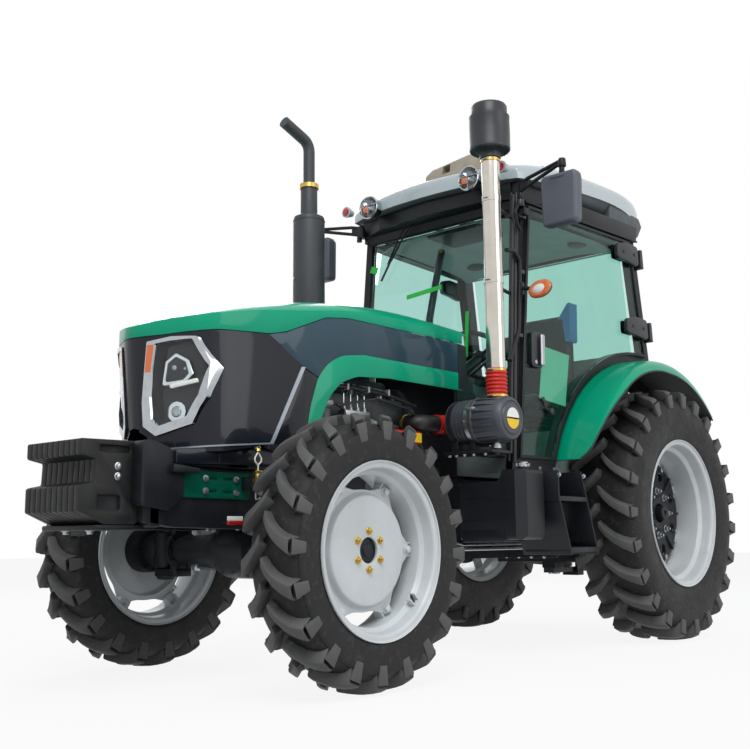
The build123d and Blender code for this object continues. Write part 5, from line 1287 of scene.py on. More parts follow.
# ---------------------------------------------------------------- front axle
def make_front_axle():
    """Driven front axle: centre case with its cover, tapered beams, forks, pivot and steering cylinder."""
    _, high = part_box("front_axle")
    centre = FRONT_AXLE
    z = FRONT_R
    pieces = []
    for side in (1, -1):
        beam = turned("beam", (0, centre.y, z), "X",
                      [(side * a, r) for a, r in ((0.10, 0.118), (0.17, 0.092), (0.24, 0.078), (0.40, 0.072),
                                                  (0.455, 0.075), (0.458, 0.098), (0.486, 0.098), (0.490, 0.080),
                                                  (0.505, 0.078))], 36)
        put(pieces, "cast_black", beam)
        for index in range(10):
            turn = 2 * pi * index / 10
            place = Vector((side * 0.457, centre.y + 0.087 * cos(turn), z + 0.087 * sin(turn)))
            pieces.append(hexagon("beam_bolt", place, OUT[-side], 0.017, 0.010, "cast_black", False))
        for way in (1, -1):
            ear_z = z + way * 0.1148
            outline = [(side * 0.445, centre.y - 0.055), (side * 0.60, centre.y - 0.062),
                (side * 0.645, centre.y - 0.04), (side * 0.662, centre.y), (side * 0.645, centre.y + 0.04),
                (side * 0.60, centre.y + 0.062), (side * 0.445, centre.y + 0.055)]
            put(pieces, "cast_black", plate("ear", rounded(outline, 0.03, 3), "Z",
                span(ear_z - way * 0.019, ear_z + way * 0.0185), 0.005))
            put(pieces, "cast_black", turned("kingpin_cap", (side * 0.600, centre.y, ear_z + way * 0.018), "Z",
                [(0.0, 0.048), (way * 0.012, 0.046), (way * 0.018, 0.036), (way * 0.020, 0.016)], 24))
            for index in range(4):
                turn = 2 * pi * (index + 0.5) / 4
                pieces.append(hexagon("cap_bolt", (side * 0.600 + 0.036 * cos(turn), centre.y + 0.036 * sin(turn),
                                                   ear_z + way * 0.026), "Z" if way > 0 else "-Z", 0.013, 0.008,
                                      "cast_black", False))
        put(pieces, "cast_black", block("fork_web", span(side * 0.455, side * 0.500),
            (centre.y - 0.058, centre.y + 0.058), (z - 0.132, z + 0.132), 0.014, 3))
    case = turned("centre_case", (0.02, centre.y, z), "X", [(-0.13, 0.085), (-0.128, 0.118), (-0.09, 0.132),
                                                            (-0.02, 0.135), (0.05, 0.135), (0.11, 0.126),
                                                            (0.128, 0.100), (0.130, 0.080)], 44)
    put(pieces, "cast_black", case)
    cover = turned("case_cover", (0.02, centre.y - 0.095, z), "Y", [(0.02, 0.118), (0.0, 0.118), (-0.012, 0.112),
                                                                    (-0.028, 0.092), (-0.036, 0.05)], 40)
    put(pieces, "cast_black", cover)
    for index in range(10):
        turn = 2 * pi * index / 10
        pieces.append(hexagon("cover_bolt", (0.02 + 0.106 * cos(turn), centre.y - 0.104, z + 0.106 * sin(turn)), "-Y",
                              0.017, 0.010, "cast_black", False))
    put(pieces, "cast_black", block("pivot_block", (-0.085, 0.085), (centre.y - 0.108, centre.y + 0.108),
        (z + 0.02, high.z), 0.016, 3))
    put(pieces, "cast_black", bar("pinion_nose", (0.06, centre.y + 0.10, z), (0.06, centre.y + 0.24, z + 0.004),
        0.068, 0.048, 28, 0.006))
    put(pieces, "cast_black", bar("drive_shaft", (0.06, centre.y + 0.23, z + 0.004), (0.06, along(0.56), 0.600),
        0.030, sides=24, edge=0.003))
    for side in (1, -1):
        put(pieces, "hose", pipe("steer_hose", [(side * 0.11, along(-0.125), 0.700),
            (side * 0.10, along(-0.16), 0.735), (side * 0.06, along(-0.12), 0.775), (side * 0.05, along(0.0), 0.77)],
            0.0075, 0.03))
        put(pieces, "zinc", hexagon("hose_end", (side * 0.11, along(-0.125), 0.690), "Z", 0.022, 0.026, "zinc"))
    fitted(joined("front_axle_cast", pieces), "chassis", "chassis_black", "front_axle")
    make_knuckles()
    make_tie_rod()


def make_knuckles():
    """Portal hubs: a kingpin case, a bolted drum with a cover, and the steering arm."""
    z, y = FRONT_R, FRONT_Y
    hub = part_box("knuckle_left")
    pieces = [
        turned("kingpin_case", (0.600, y, z), "Z", [(-0.094, 0.045), (-0.090, 0.058), (-0.05, 0.068), (0.05, 0.068),
                                                    (0.090, 0.058), (0.094, 0.045)], 36),
        turned("stub", (0.600, y, z), "X", [(0.0, 0.060), (0.03, 0.082), (0.10, 0.084), (0.104, 0.112), (0.132, 0.117),
                                            (hub[1].x - 0.602, 0.117), (hub[1].x - 0.6005, 0.108)], 48),
        block("steering_arm", (0.577, 0.623), (y + 0.040, y + 0.200), (z - 0.061, z - 0.035), 0.008, 3),
        bar("arm_eye", (0.600, y + 0.200, z - 0.062), (0.600, y + 0.200, z - 0.034), 0.030, sides=28, edge=0.004),
        turned("lock_stop", (0.600, y + 0.060, z - 0.020), "Y", [(0.0, 0.014), (0.030, 0.014), (0.034, 0.010)], 12),
    ]
    for piece in pieces:
        painted(piece, "cast_black")
    for index in range(12):
        turn = 2 * pi * index / 12
        pieces.append(hexagon("drum_bolt", (0.7035, y + 0.101 * cos(turn), z + 0.101 * sin(turn)), "-X", 0.016, 0.010,
                              "cast_black", False))
    for index in range(3):
        put(pieces, "cast_black", turned("drum_rib", (0.745 + index * 0.018, y, z), "X",
            [(-0.003, 0.1165), (-0.002, 0.1178), (0.002, 0.1178), (0.003, 0.1165)], 48))
    both(joined("portal_hub", pieces), "knuckle_left", "knuckle_right", "chassis_black", ["knuckle"])


def make_tie_rod():
    """The tie rod with its steering cylinder in the middle and a ball joint on each end."""
    low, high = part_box("tie_rod")
    y, z = (low.y + high.y) / 2, low.z + (high.y - low.y) / 2 + 0.0
    z = low.z + 0.034
    pieces = [painted(bar("rod", (-0.585, y, z), (0.585, y, z), 0.0145, sides=24), "chrome"),
              painted(turned("cylinder", (0, y, z), "X", [(-0.190, 0.018), (-0.189, 0.033), (-0.160, 0.033),
                                                          (-0.158, 0.029), (0.158, 0.029), (0.160, 0.033),
                                                          (0.189, 0.033), (0.190, 0.018)], 32), "cast_black")]
    for side in (1, -1):
        put(pieces, "zinc", bar("sleeve", (side * 0.40, y, z), (side * 0.575, y, z), 0.019, sides=6, edge=0.002))
        put(pieces, "zinc", turned("ball_joint", (side * 0.600, y, z), "Z",
            [(-0.026, 0.012), (-0.024, 0.020), (-0.010, 0.0258), (0.010, 0.0258), (0.018, 0.020),
            (high.z - z - 0.002, 0.016), (high.z - z, 0.012)], 28))
        put(pieces, "zinc", bar("port", (side * 0.140, y, z + 0.026), (side * 0.140, y, z + 0.034), 0.011, sides=6))
    fitted(joined("steering_rod", pieces), "tie_rod", "chassis_black", "tie_rod")


# ---------------------------------------------------------------- tank, battery box, steps
def make_tank():
    """Rotomoulded fuel tank with its filler, chained cap, strap and bracket; a battery box on the far side."""
    low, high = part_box("fuel_tank")
    y = ((low.y + high.y) / 2)
    top, step, step_x = 1.000, 0.940, 0.690
    outline = [(low.x, low.z), (high.x - 0.02, low.z), (high.x, low.z + 0.02), (high.x, top), (step_x, top),
               (step_x - 0.03, step), (low.x, step)]
    tank = plate("tank", rounded(outline, 0.022, 4), "Y", (low.y, high.y), 0.020, 4)
    cut(tank, [plate("corner", [(high.x - 0.055, low.y - 0.01), (high.x + 0.01, low.y - 0.01),
                                (high.x + 0.01, low.y + 0.055)], "Z", (low.z - 0.01, top + 0.01))])
    pieces = [painted(eased(tank, 0.006, 2, 30), "tank_black")]
    for z in (low.z + 0.10, low.z + 0.22):
        put(pieces, "tank_black", block("strap", (low.x + 0.02, high.x - 0.05), (low.y - 0.002, low.y + 0.002),
            (z, z + 0.004), 0.001))
    put(pieces, "plate_black", block("bracket", (low.x + 0.03, high.x - 0.12), (low.y - 0.006, low.y + 0.19),
        (low.z - 0.012, low.z + 0.052), 0.004))
    x = 0.755
    put(pieces, "tank_black", turned("filler_neck", (x, y, top - 0.004), "Z",
        [(0.0, 0.040), (0.006, 0.040), (0.010, 0.031), (0.022, 0.031)], 28))
    put(pieces, "zinc", turned("filler_cap", (x, y, top + 0.014), "Z",
        [(0.0, 0.030), (0.002, 0.034), (0.022, 0.034), (0.028, 0.028), (0.029, 0.010)], 24))
    pieces += [painted(piece, "zinc") for piece in
               around([block("cap_grip", (x + 0.032, x + 0.037), (y - 0.004, y + 0.004), (top + 0.017, top + 0.034),
                             0.001)], (x, y, top), "Z", 8)]
    put(pieces, "hose", pipe("cap_cable", [(x + 0.030, y - 0.010, top + 0.030), (x + 0.058, y - 0.012, top + 0.036),
        (x + 0.062, y - 0.014, top + 0.004), (x + 0.050, y - 0.015, top - 0.004)], 0.0022, 0.02))
    fitted(joined("fuel_tank_moulded", pieces), "chassis", "black_plastic", "fuel_tank")

    low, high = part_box("battery_box")
    box = [painted(block("box", (low.x, high.x), (low.y, high.y), (low.z, high.z - 0.04), 0.012, 3), "plate_black"),
           painted(block("lid", (low.x - 0.0, high.x + 0.0), (low.y - 0.0, high.y), (high.z - 0.046, high.z), 0.010, 3),
                   "plate_black")]
    for x in (low.x + 0.08, high.x - 0.10):
        put(box, "zinc", pipe("lid_clip", [(x, low.y - 0.001, high.z - 0.03), (x, low.y - 0.008, high.z - 0.07),
            (x, low.y - 0.001, high.z - 0.10)], 0.004, 0.01))
    fitted(joined("battery_case", box), "chassis", "chassis_black", "battery_box")


TREADS = ((1.462, 1.762, 0.860), (1.560, 1.880, 0.585))


def make_steps():
    """Two folded treads with pierced grips between slanted cheek plates, and a brace behind them."""
    pieces = []
    x_in, x_out, wall = 0.590, 0.880, 0.012
    slope = (TREADS[1][0] - TREADS[0][0]) / (TREADS[0][2] - TREADS[1][2])
    top = 0.9995
    for column, inward in ((0, wall), (1, -wall)):
        y_top = TREADS[0][column] - column * (top - TREADS[0][2]) * slope
        y_low = TREADS[0][column] + (TREADS[0][2] - TREADS[1][2] + 0.040) * slope
        z_low = TREADS[1][2] - 0.040
        outline = [(y_top, top), (TREADS[0][column], TREADS[0][2]), (y_low, z_low), (y_low + inward, z_low),
                   (TREADS[0][column] + inward, TREADS[0][2]), (y_top + inward, top)]
        cheek = plate("cheek", [(along(y), z) for y, z in outline], "X", (x_in - 0.018, x_out), 0.002)
        put(pieces, "plate_black", cheek)
        put(pieces, "plate_black", pipe("cheek_edge", [(x_out - 0.004, along(y),
            z) for y, z in ((y_top + inward / 2, top - 0.004), (TREADS[0][column] + inward / 2, TREADS[0][2]),
            (y_low + inward / 2, z_low + 0.006))], 0.0058, 0.03))
    for front, rear, high in TREADS:
        front_y, rear_y = along(front + 0.004), along(rear - 0.004)
        tread = block("tread", (x_in, x_out), (front_y, rear_y), (high - 0.026, high), 0.003)
        cut(tread, [block("hollow", (x_in + 0.012, x_out - 0.012), (front_y + 0.012, rear_y - 0.012),
                          (high - 0.05, high - 0.006))])
        holes = [bar("hole", (x_in + 0.055 + 0.048 * column, front_y + 0.050 + 0.062 * row, high - 0.03),
                     (x_in + 0.055 + 0.048 * column, front_y + 0.050 + 0.062 * row, high + 0.02), 0.012, sides=12)
                 for column in range(5) for row in range(4)]
        cut(tread, [joined("holes", holes)])
        put(pieces, "plate_black", tread)
        for column in range(6):
            for row in range(5):
                place = (x_in + 0.031 + 0.048 * column, front_y + 0.019 + 0.062 * row, high)
                if place[1] < rear_y - 0.01:
                    put(pieces, "plate_black", turned("stud", place, "Z", [(-0.001, 0.007), (0.003, 0.004)], 8))
    put(pieces, "plate_black", bar("brace", (x_in + 0.02, along(1.60), 0.85), (x_in + 0.05, along(1.86), 0.600),
        0.012, sides=4))
    for column in (1.475, 1.735):
        pieces.append(hexagon("step_bolt", (x_out - 0.002, along(column), 0.975), "X", 0.020, 0.010, "zinc"))
    joined("steps_near", pieces)
    near = bpy.context.object
    far = copied(near, MIRROR)
    fitted(joined("steps_folded", [near, far]), "chassis", "chassis_black", "steps")


# ---------------------------------------------------------------- air cleaner, intake, exhaust
STACK_X = 0.710
STACK_Y = along(1.155)
CLEANER_Z = 1.262


def make_air_cleaner():
    """Moulded air cleaner: grooved canister, ribbed end cover with a round blank label, clips and dust valve."""
    low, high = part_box("air_cleaner")
    centre = (0.0, STACK_Y, CLEANER_Z)
    body = [(low.x, 0.050), (low.x + 0.002, 0.100), (low.x + 0.012, 0.112)]
    for index in range(4):
        x = low.x + 0.040 + index * 0.024
        body += [(x, 0.117), (x + 0.009, 0.117), (x + 0.011, 0.112), (x + 0.015, 0.112), (x + 0.017, 0.117)]
    body += [(0.565, 0.119), (0.600, 0.119), (0.602, 0.108), (0.640, 0.108)]
    pieces = [painted(turned("canister", centre, "X", body, 56), "cleaner_grey")]
    cover = [(0.606, 0.112), (0.606, 0.128), (0.610, 0.131), (0.622, 0.131), (0.628, 0.126), (0.700, 0.126),
             (0.770, 0.122), (0.790, 0.116), (0.800, 0.108), (0.802, 0.098), (0.796, 0.092), (0.796, 0.086),
             (0.804, 0.080), (0.806, 0.060)]
    put(pieces, "cleaner_grey", turned("cover", centre, "X", cover, 56))
    rib = plate("cover_rib", [(0.628, 0.124), (0.628, 0.1335), (0.700, 0.1335), (0.755, 0.126), (0.755, 0.118)],
                "Y", (-0.0045, 0.0045), 0.0015)
    for vertex in rib.data.vertices:
        vertex.co += Vector(centre)
    pieces += [painted(piece, "cleaner_grey") for piece in around([rib], centre, "X", 20)]
    for index, turn in enumerate((35, 155, 275)):
        angle = radians(turn)
        place = Vector((0, STACK_Y + 0.132 * cos(angle), CLEANER_Z + 0.132 * sin(angle)))
        put(pieces, "yellow_label" if index == 0 else "zinc", bar("clip", place + Vector((0.585, 0, 0)),
            place + Vector((0.650, 0, 0)), 0.0085, sides=8, edge=0.002))
    put(pieces, "cleaner_grey", turned("label_edge", centre, "X", [(0.8055, 0.062), (0.8075, 0.060), (0.808, 0.056)],
        48))
    for half, key in ((1, "white_label"), (-1, "yellow_label")):
        disc = turned("label", centre, "X", [(0.8078, 0.056), (0.8092, 0.056)], 48)
        cut(disc, [block("half", (0.7, 0.9), (STACK_Y - 0.1, STACK_Y + 0.1),
            span(CLEANER_Z - half * 0.004, CLEANER_Z - half * 0.1))])
        put(pieces, key, disc)
    place = Vector((0.700, STACK_Y, CLEANER_Z - 0.120))
    put(pieces, "zinc", turned("dust_neck", place, "Z", [(0.0, 0.022), (-0.020, 0.022), (-0.022, 0.026),
        (-0.032, 0.026), (-0.034, 0.020)], 20))
    put(pieces, "hose", turned("dust_valve", place + Vector((0, 0, -0.034)), "Z",
        [(0.0, 0.020), (-0.018, 0.019), (-0.034, 0.012), (-0.036, 0.006)], 20))
    put(pieces, "plate_black", block("shelf", (0.400, 0.720), (STACK_Y - 0.07, STACK_Y + 0.11),
        (CLEANER_Z - 0.178, CLEANER_Z - 0.160), 0.004))
    for x in (0.45, 0.56):
        put(pieces, "plate_black", block("saddle", (x, x + 0.04), (STACK_Y - 0.06, STACK_Y + 0.06),
            (CLEANER_Z - 0.162, CLEANER_Z - 0.098), 0.004))
        put(pieces, "zinc" if x > 0.5 else "plate_black", turned("band", (x + 0.02, STACK_Y, CLEANER_Z), "X",
            [(-0.012, 0.1185), (-0.012, 0.1205), (0.012, 0.1205), (0.012, 0.1185)], 48, ring=True))
    for x, y in ((0.43, -0.055), (0.47, -0.05), (0.53, -0.058), (0.585, -0.052), (0.66, -0.05)):
        pieces.append(hexagon("shelf_bolt", (x, STACK_Y + y, CLEANER_Z - 0.178), "-Z", 0.017, 0.012, "zinc"))
    arm_y = high.y
    put(pieces, "plate_black", block("wall_arm", (0.482, 0.543), (STACK_Y + 0.10, arm_y),
        (CLEANER_Z - 0.040, CLEANER_Z + 0.020), 0.005))
    put(pieces, "plate_black", block("shelf_stay", (0.482, 0.543), (STACK_Y + 0.085, arm_y),
        (CLEANER_Z - 0.178, CLEANER_Z - 0.165), 0.003))
    fitted(joined("air_cleaner_moulded", pieces), "chassis", "black_plastic", "air_cleaner")


def make_stack():
    """Polished intake stack on its red bellows, with bands, stays to the cab post, and the dark precleaner bowl."""
    pieces = []
    centre = Vector((STACK_X, STACK_Y, 0))
    folds = [(1.376, 0.052), (1.380, 0.0595), (1.392, 0.0595)]
    low, high, count = 1.396, 1.520, 6
    for index in range(count):
        z = low + (high - low) * index / count
        deep = (high - low) / count
        folds += [(z + deep * 0.10, 0.0525), (z + deep * 0.22, 0.0525), (z + deep * 0.42, 0.0585),
                  (z + deep * 0.62, 0.060), (z + deep * 0.82, 0.0585)]
    folds += [(high + 0.002, 0.0525), (1.536, 0.0525), (1.538, 0.050)]
    put(pieces, "red_rubber", turned("bellows", centre, "Z", folds, 48))
    put(pieces, "abs_black", turned("cleaner_port", centre, "Z",
        [(CLEANER_Z + 0.09, 0.050), (CLEANER_Z + 0.124, 0.050), (CLEANER_Z + 0.128, 0.056), (1.376, 0.056),
        (1.378, 0.048)], 40))
    tube = [(1.530, 0.050), (1.532, 0.0515)]
    tube += [(1.560, 0.0515), (1.561, 0.0505), (2.711, 0.0505), (2.712, 0.048)]
    put(pieces, "stainless", turned("tube", centre, "Z", tube, 64))
    for z, key, radius, half in ((1.3865, "gold_zinc", 0.0612, 0.007), (1.527, "gold_zinc", 0.0550, 0.007),
                                 (2.019, "stainless", 0.0535, 0.017), (2.481, "stainless", 0.0535, 0.017),
                                 (2.701, "gold_zinc", 0.0545, 0.008)):
        put(pieces, key, turned("band", centre, "Z", [(z - half, radius - 0.003), (z - half + 0.001, radius),
            (z + half - 0.001, radius), (z + half, radius - 0.003)], 56))
        put(pieces, "zinc", bar("band_screw", centre + Vector((-0.012, -radius - 0.004, z)),
            centre + Vector((0.016, -radius - 0.004, z)), 0.005, sides=8))
    for z in (2.019, 2.481):
        post_y = along(1.456) + (z - 1.0) * 0.1025
        foot = Vector((0.592, post_y - 0.004, z))
        put(pieces, "plate_black", bar("stay", centre + Vector((-0.040, 0.030, z)), foot, 0.0105, sides=20))
        put(pieces, "plate_black", block("stay_foot", (foot.x - 0.022, foot.x + 0.006),
            (foot.y - 0.010, foot.y + 0.006), (z - 0.03, z + 0.03), 0.003))
    fitted(joined("intake_stack_polished", pieces), "chassis", "polished_steel", "intake_stack")

    low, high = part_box("precleaner")
    bowl = [(low.z, 0.052), (low.z + 0.002, 0.0585), (low.z + 0.034, 0.0585), (low.z + 0.040, 0.072),
            (low.z + 0.044, 0.106), (low.z + 0.050, 0.1125), (low.z + 0.062, 0.1138), (low.z + 0.072, 0.1125),
            (low.z + 0.150, 0.1138), (low.z + 0.226, 0.1125), (low.z + 0.232, 0.1138), (low.z + 0.243, 0.1138),
            (low.z + 0.246, 0.104)]
    dark = [painted(turned("bowl", centre, "Z", bowl, 64), "abs_black")]
    put(dark, "abs_black", turned("cap", centre, "Z", [(low.z + 0.244, 0.096), (low.z + 0.248, 0.101),
        (high.z - 0.018, 0.101), (high.z - 0.006, 0.094), (high.z - 0.001, 0.070), (high.z, 0.030)], 56))
    vane = block("vane", (STACK_X + 0.070, STACK_X + 0.108), (STACK_Y - 0.002, STACK_Y + 0.002),
                 (low.z + 0.0415, low.z + 0.052), 0.0008)
    dark += [painted(piece, "abs_black") for piece in around([vane], centre, "Z", 24)]
    put(dark, "white_label", turned("cap_label", centre, "Z", [(high.z - 0.001, 0.052), (high.z + 0.0, 0.050)], 40))
    put(dark, "zinc", turned("cap_nut", centre, "Z", [(high.z - 0.012, 0.014), (high.z, 0.014)], 6))
    fitted(joined("precleaner_bowl", dark), "chassis", "black_plastic", "precleaner")


def make_intake_hose():
    """Red silicone elbow between the air cleaner and the engine, with gold clamps at both ends."""
    low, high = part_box("intake_hose")
    start = Vector((high.x + 0.012, STACK_Y, CLEANER_Z))
    end = Vector((low.x - 0.004, along(0.955), CLEANER_Z))
    line = [start, (start.x - 0.10, start.y, start.z), (start.x - 0.107, end.y, end.z), end]
    turn = (start.x - 0.104, start.y + (end.y - start.y) * 0.30, start.z)
    pieces = [painted(pipe("elbow", line[:2] + [turn], 0.0530, 0.075, 12), "red_rubber"),
              painted(pipe("elbow_run", line, 0.0455, 0.075, 12), "hose")]
    for place in (start - Vector((0.060, 0, 0)), end + Vector((0.018, 0, 0))):
        put(pieces, "gold_zinc", turned("hose_clamp", place, "X",
            [(-0.008, 0.047), (-0.0075, 0.0495), (0.0075, 0.0495), (0.008, 0.047)], 40))
    fitted(joined("intake_elbow", pieces), "chassis", "red_rubber", "intake_hose")


def make_exhaust():
    """Muffler with its seams and two screws on its side, gold clamp at the foot, tail pipe that bends towards the
    middle.
    """
    x, y = -0.500, along(0.945)
    centre = Vector((x, y, 0))
    pieces = []
    riser = [(-0.226, y, 1.330), (x, y, 1.330), (x, y, 1.800)]
    put(pieces, "muffler", pipe("riser", riser, 0.0415, 0.075, 10))
    shell = [(1.780, 0.045), (1.782, 0.070), (1.796, 0.092), (1.815, 0.0965), (2.572, 0.0965), (2.592, 0.092),
             (2.604, 0.070), (2.606, 0.050)]
    put(pieces, "muffler", turned("muffler_can", centre, "Z", shell, 64))
    for z in (1.818, 2.568):
        put(pieces, "muffler", turned("seam", centre, "Z", [(z - 0.006, 0.0955), (z - 0.004, 0.0985),
            (z + 0.004, 0.0985), (z + 0.006, 0.0955)], 64))
    put(pieces, "gold_zinc", turned("foot_clamp", centre, "Z",
        [(1.826, 0.097), (1.827, 0.103), (1.853, 0.103), (1.854, 0.097)], 56))
    put(pieces, "muffler", turned("outlet", centre, "Z", [(2.600, 0.0515), (2.786, 0.0515), (2.806, 0.046),
        (2.812, 0.038)], 48))
    put(pieces, "gold_zinc", turned("tail_clamp", centre, "Z",
        [(2.777, 0.053), (2.778, 0.0598), (2.804, 0.0598), (2.805, 0.053)], 48))
    tip_z = 3.150
    tail = [(x, y, 2.800), (x, y, 3.062), (x + 0.018, y - 0.212, 3.146)]
    low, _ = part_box("exhaust_stack")
    tail = [(x, y, 2.800), (x, y, 3.070), (x, low.y + 0.022, tip_z)]
    outer = pipe("tail", tail, 0.0355, 0.080, 10)
    put(pieces, "muffler", outer)
    for angle in (200, 250):
        turn = radians(angle)
        put(pieces, "zinc", bar("shield_screw", (x + 0.096 * cos(turn), y + 0.096 * sin(turn), 2.20),
            (x + 0.102 * cos(turn), y + 0.102 * sin(turn), 2.20), 0.008, sides=8))
    fitted(joined("exhaust_built", pieces), "chassis", "muffler_paint", "exhaust_stack")


# ---------------------------------------------------------------- cab
CAB_Y, FLOOR_Z = REAR_Y - 1.366, 1.0
SIDE_X, SPREAD = 0.6, radians(3.9)   # each side of the cab spreads to the rear from its front pillar
FENDER_R = 0.985
FENDER_REAR, FENDER_SWEEP = 46, 116.2   # degrees about the rear axle: rear end, and the way round to the front
FENDER_IN = 0.548                     # inner edge of the fender


def front_edge(z):
    """Front faces of the front pillars."""
    return CAB_Y + (z - FLOOR_Z) * 0.1025


def rear_edge(z):
    """Rear faces of the rear pillars."""
    return REAR_Y + 0.170 - (z - 1.755) * 0.15


def hinge_y(z):
    """The door hinge's axis, in the rear pillar."""
    return rear_edge(z) - 0.064


def splayed(piece):
    """Turn a piece made square to the cab's left side so that it follows the spread."""
    piece.data.transform(turn_about((SIDE_X, CAB_Y, 0), "Z", -SPREAD))
    return piece


def side_outline(inset, low, top, arc_r, rear, steps=14):
    """Outline in the cab's side: front, head, rear, and the arc over the fender down to its foot."""
    first, last = acos((0.170 - rear) / arc_r), pi - asin((low - REAR_R) / arc_r)
    arc = [first + (last - first) * step / steps for step in range(steps + 1)]
    return ([(front_edge(low) + inset, low), (front_edge(top) + inset, top), (rear_edge(top) - rear, top)]
            + [(REAR_Y + arc_r * cos(angle), REAR_R + arc_r * sin(angle)) for angle in arc])


def side_ring(name, x, outer, inner, edge=0.0):
    """A flat ring between two outlines in the cab's side."""
    ring = plate(name, side_outline(*outer), "X", x)
    hole = plate("hole", side_outline(*inner), "X", (x[0] - 0.1, x[1] + 0.1))
    cut(ring, [hole])
    return eased(ring, edge, 1, 50) if edge else ring


def make_doors():
    """Frameless glass doors: a bonded black band, rubber seal, clamp hinges and a chromed pull."""
    outer, inner = (0.035, 1.080, 2.585, 1.030, 0.090), (0.053, 1.098, 2.567, 1.048, 0.108)
    band = painted(side_ring("band", (0.603, 0.629), outer, inner, 0.002), "cab_black")
    seal_outer, seal_inner = (0.030, 1.074, 2.590, 1.025, 0.085), (0.046, 1.090, 2.575, 1.040, 0.100)
    pieces = [band, painted(side_ring("seal", (0.6015, 0.612), seal_outer, seal_inner), "hose")]
    for z in (1.99, 2.48):
        y = hinge_y(z)
        clamp = plate("clamp", rounded([(y - 0.250, z - 0.045), (y - 0.250, z + 0.050), (y - 0.150, z + 0.075),
                                        (y - 0.006, z + 0.070), (y - 0.002, z - 0.068), (y - 0.150, z - 0.050)], 0.03),
                      "X", (0.628, 0.662), 0.008, 3)
        pieces += [painted(clamp, "abs_black"), painted(bar("pin", (0.639, y, z + 0.001),
            (0.639, y - 0.006, z + 0.045), 0.016, sides=24, edge=0.002), "cab_black"),
            painted(block("strap", (0.622, 0.645), (y - 0.04, y - 0.003), (z + 0.004, z + 0.044), 0.003),
            "cab_black"), painted(plate("pad", rounded([(y - 0.245, z - 0.040), (y - 0.245, z + 0.044),
            (y - 0.12, z + 0.050), (y - 0.12, z - 0.044)], 0.02), "X", (0.598, 0.606), 0.002), "abs_black")]
        for step in (0.055, 0.185):
            put(pieces, "cab_black", bar("cover_screw", (0.660, y - step, z + 0.006), (0.665, y - step, z + 0.006),
                0.014, 0.011, sides=24, edge=0.002))
    cup = plate("cup", rounded([(0.250, 1.612), (0.256, 1.818), (0.362, 1.822), (0.352, 1.608)], 0.035), "X",
                (0.627, 0.640), 0.004, 3)
    pull = plate("pull", rounded([(0.312, 1.622), (0.318, 1.808), (0.356, 1.808), (0.348, 1.622)], 0.017), "X",
                 (0.645, 0.662), 0.007, 3)
    pieces += [painted(cup, "abs_black"), painted(pull, "chrome"),
        painted(block("neck", (0.636, 0.650), (0.322, 0.344), (1.775, 1.795), 0.003), "chrome"),
        painted(block("neck", (0.636, 0.650), (0.322, 0.344), (1.635, 1.655), 0.003), "chrome"),
        painted(bar("lock", (0.638, 0.288, 1.640), (0.645, 0.288, 1.640), 0.013, sides=24, edge=0.002), "chrome"),
        painted(bar("knob", (0.626, 0.425, 1.362), (0.648, 0.425, 1.362), 0.022, 0.019, sides=24, edge=0.005),
        "abs_black"), painted(pipe("latch_link", [(0.624, 0.37, 1.425), (0.628, 0.375, 1.38), (0.632, 0.425, 1.362)],
        0.006, 0.02), "hose"), painted(bar("latch_foot", (0.620, 0.364, 1.432), (0.630, 0.364, 1.432), 0.014,
        sides=20, edge=0.002), "abs_black")]
    y = front_edge(1.24) + 0.10
    pull_line = [(0.606, y, 1.24), (0.566, y + 0.01, 1.26), (0.566, y + 0.04, 1.60), (0.606, y + 0.04, 1.62)]
    put(pieces, "abs_black", pipe("lining_pull", pull_line, 0.010, 0.03))
    door = joined("door", [splayed(piece) for piece in pieces])
    both(door, "door_left", "door_right", "cab_black", ["door"])
    sheet_of_paper = plate("door_note", [(0.396, 1.752), (0.662, 1.726), (0.604, 1.410), (0.345, 1.438)], "X",
                           (0.6085, 0.6100))
    fitted(painted(splayed(sheet_of_paper), "note_paper"), "door_left", "cab_black")


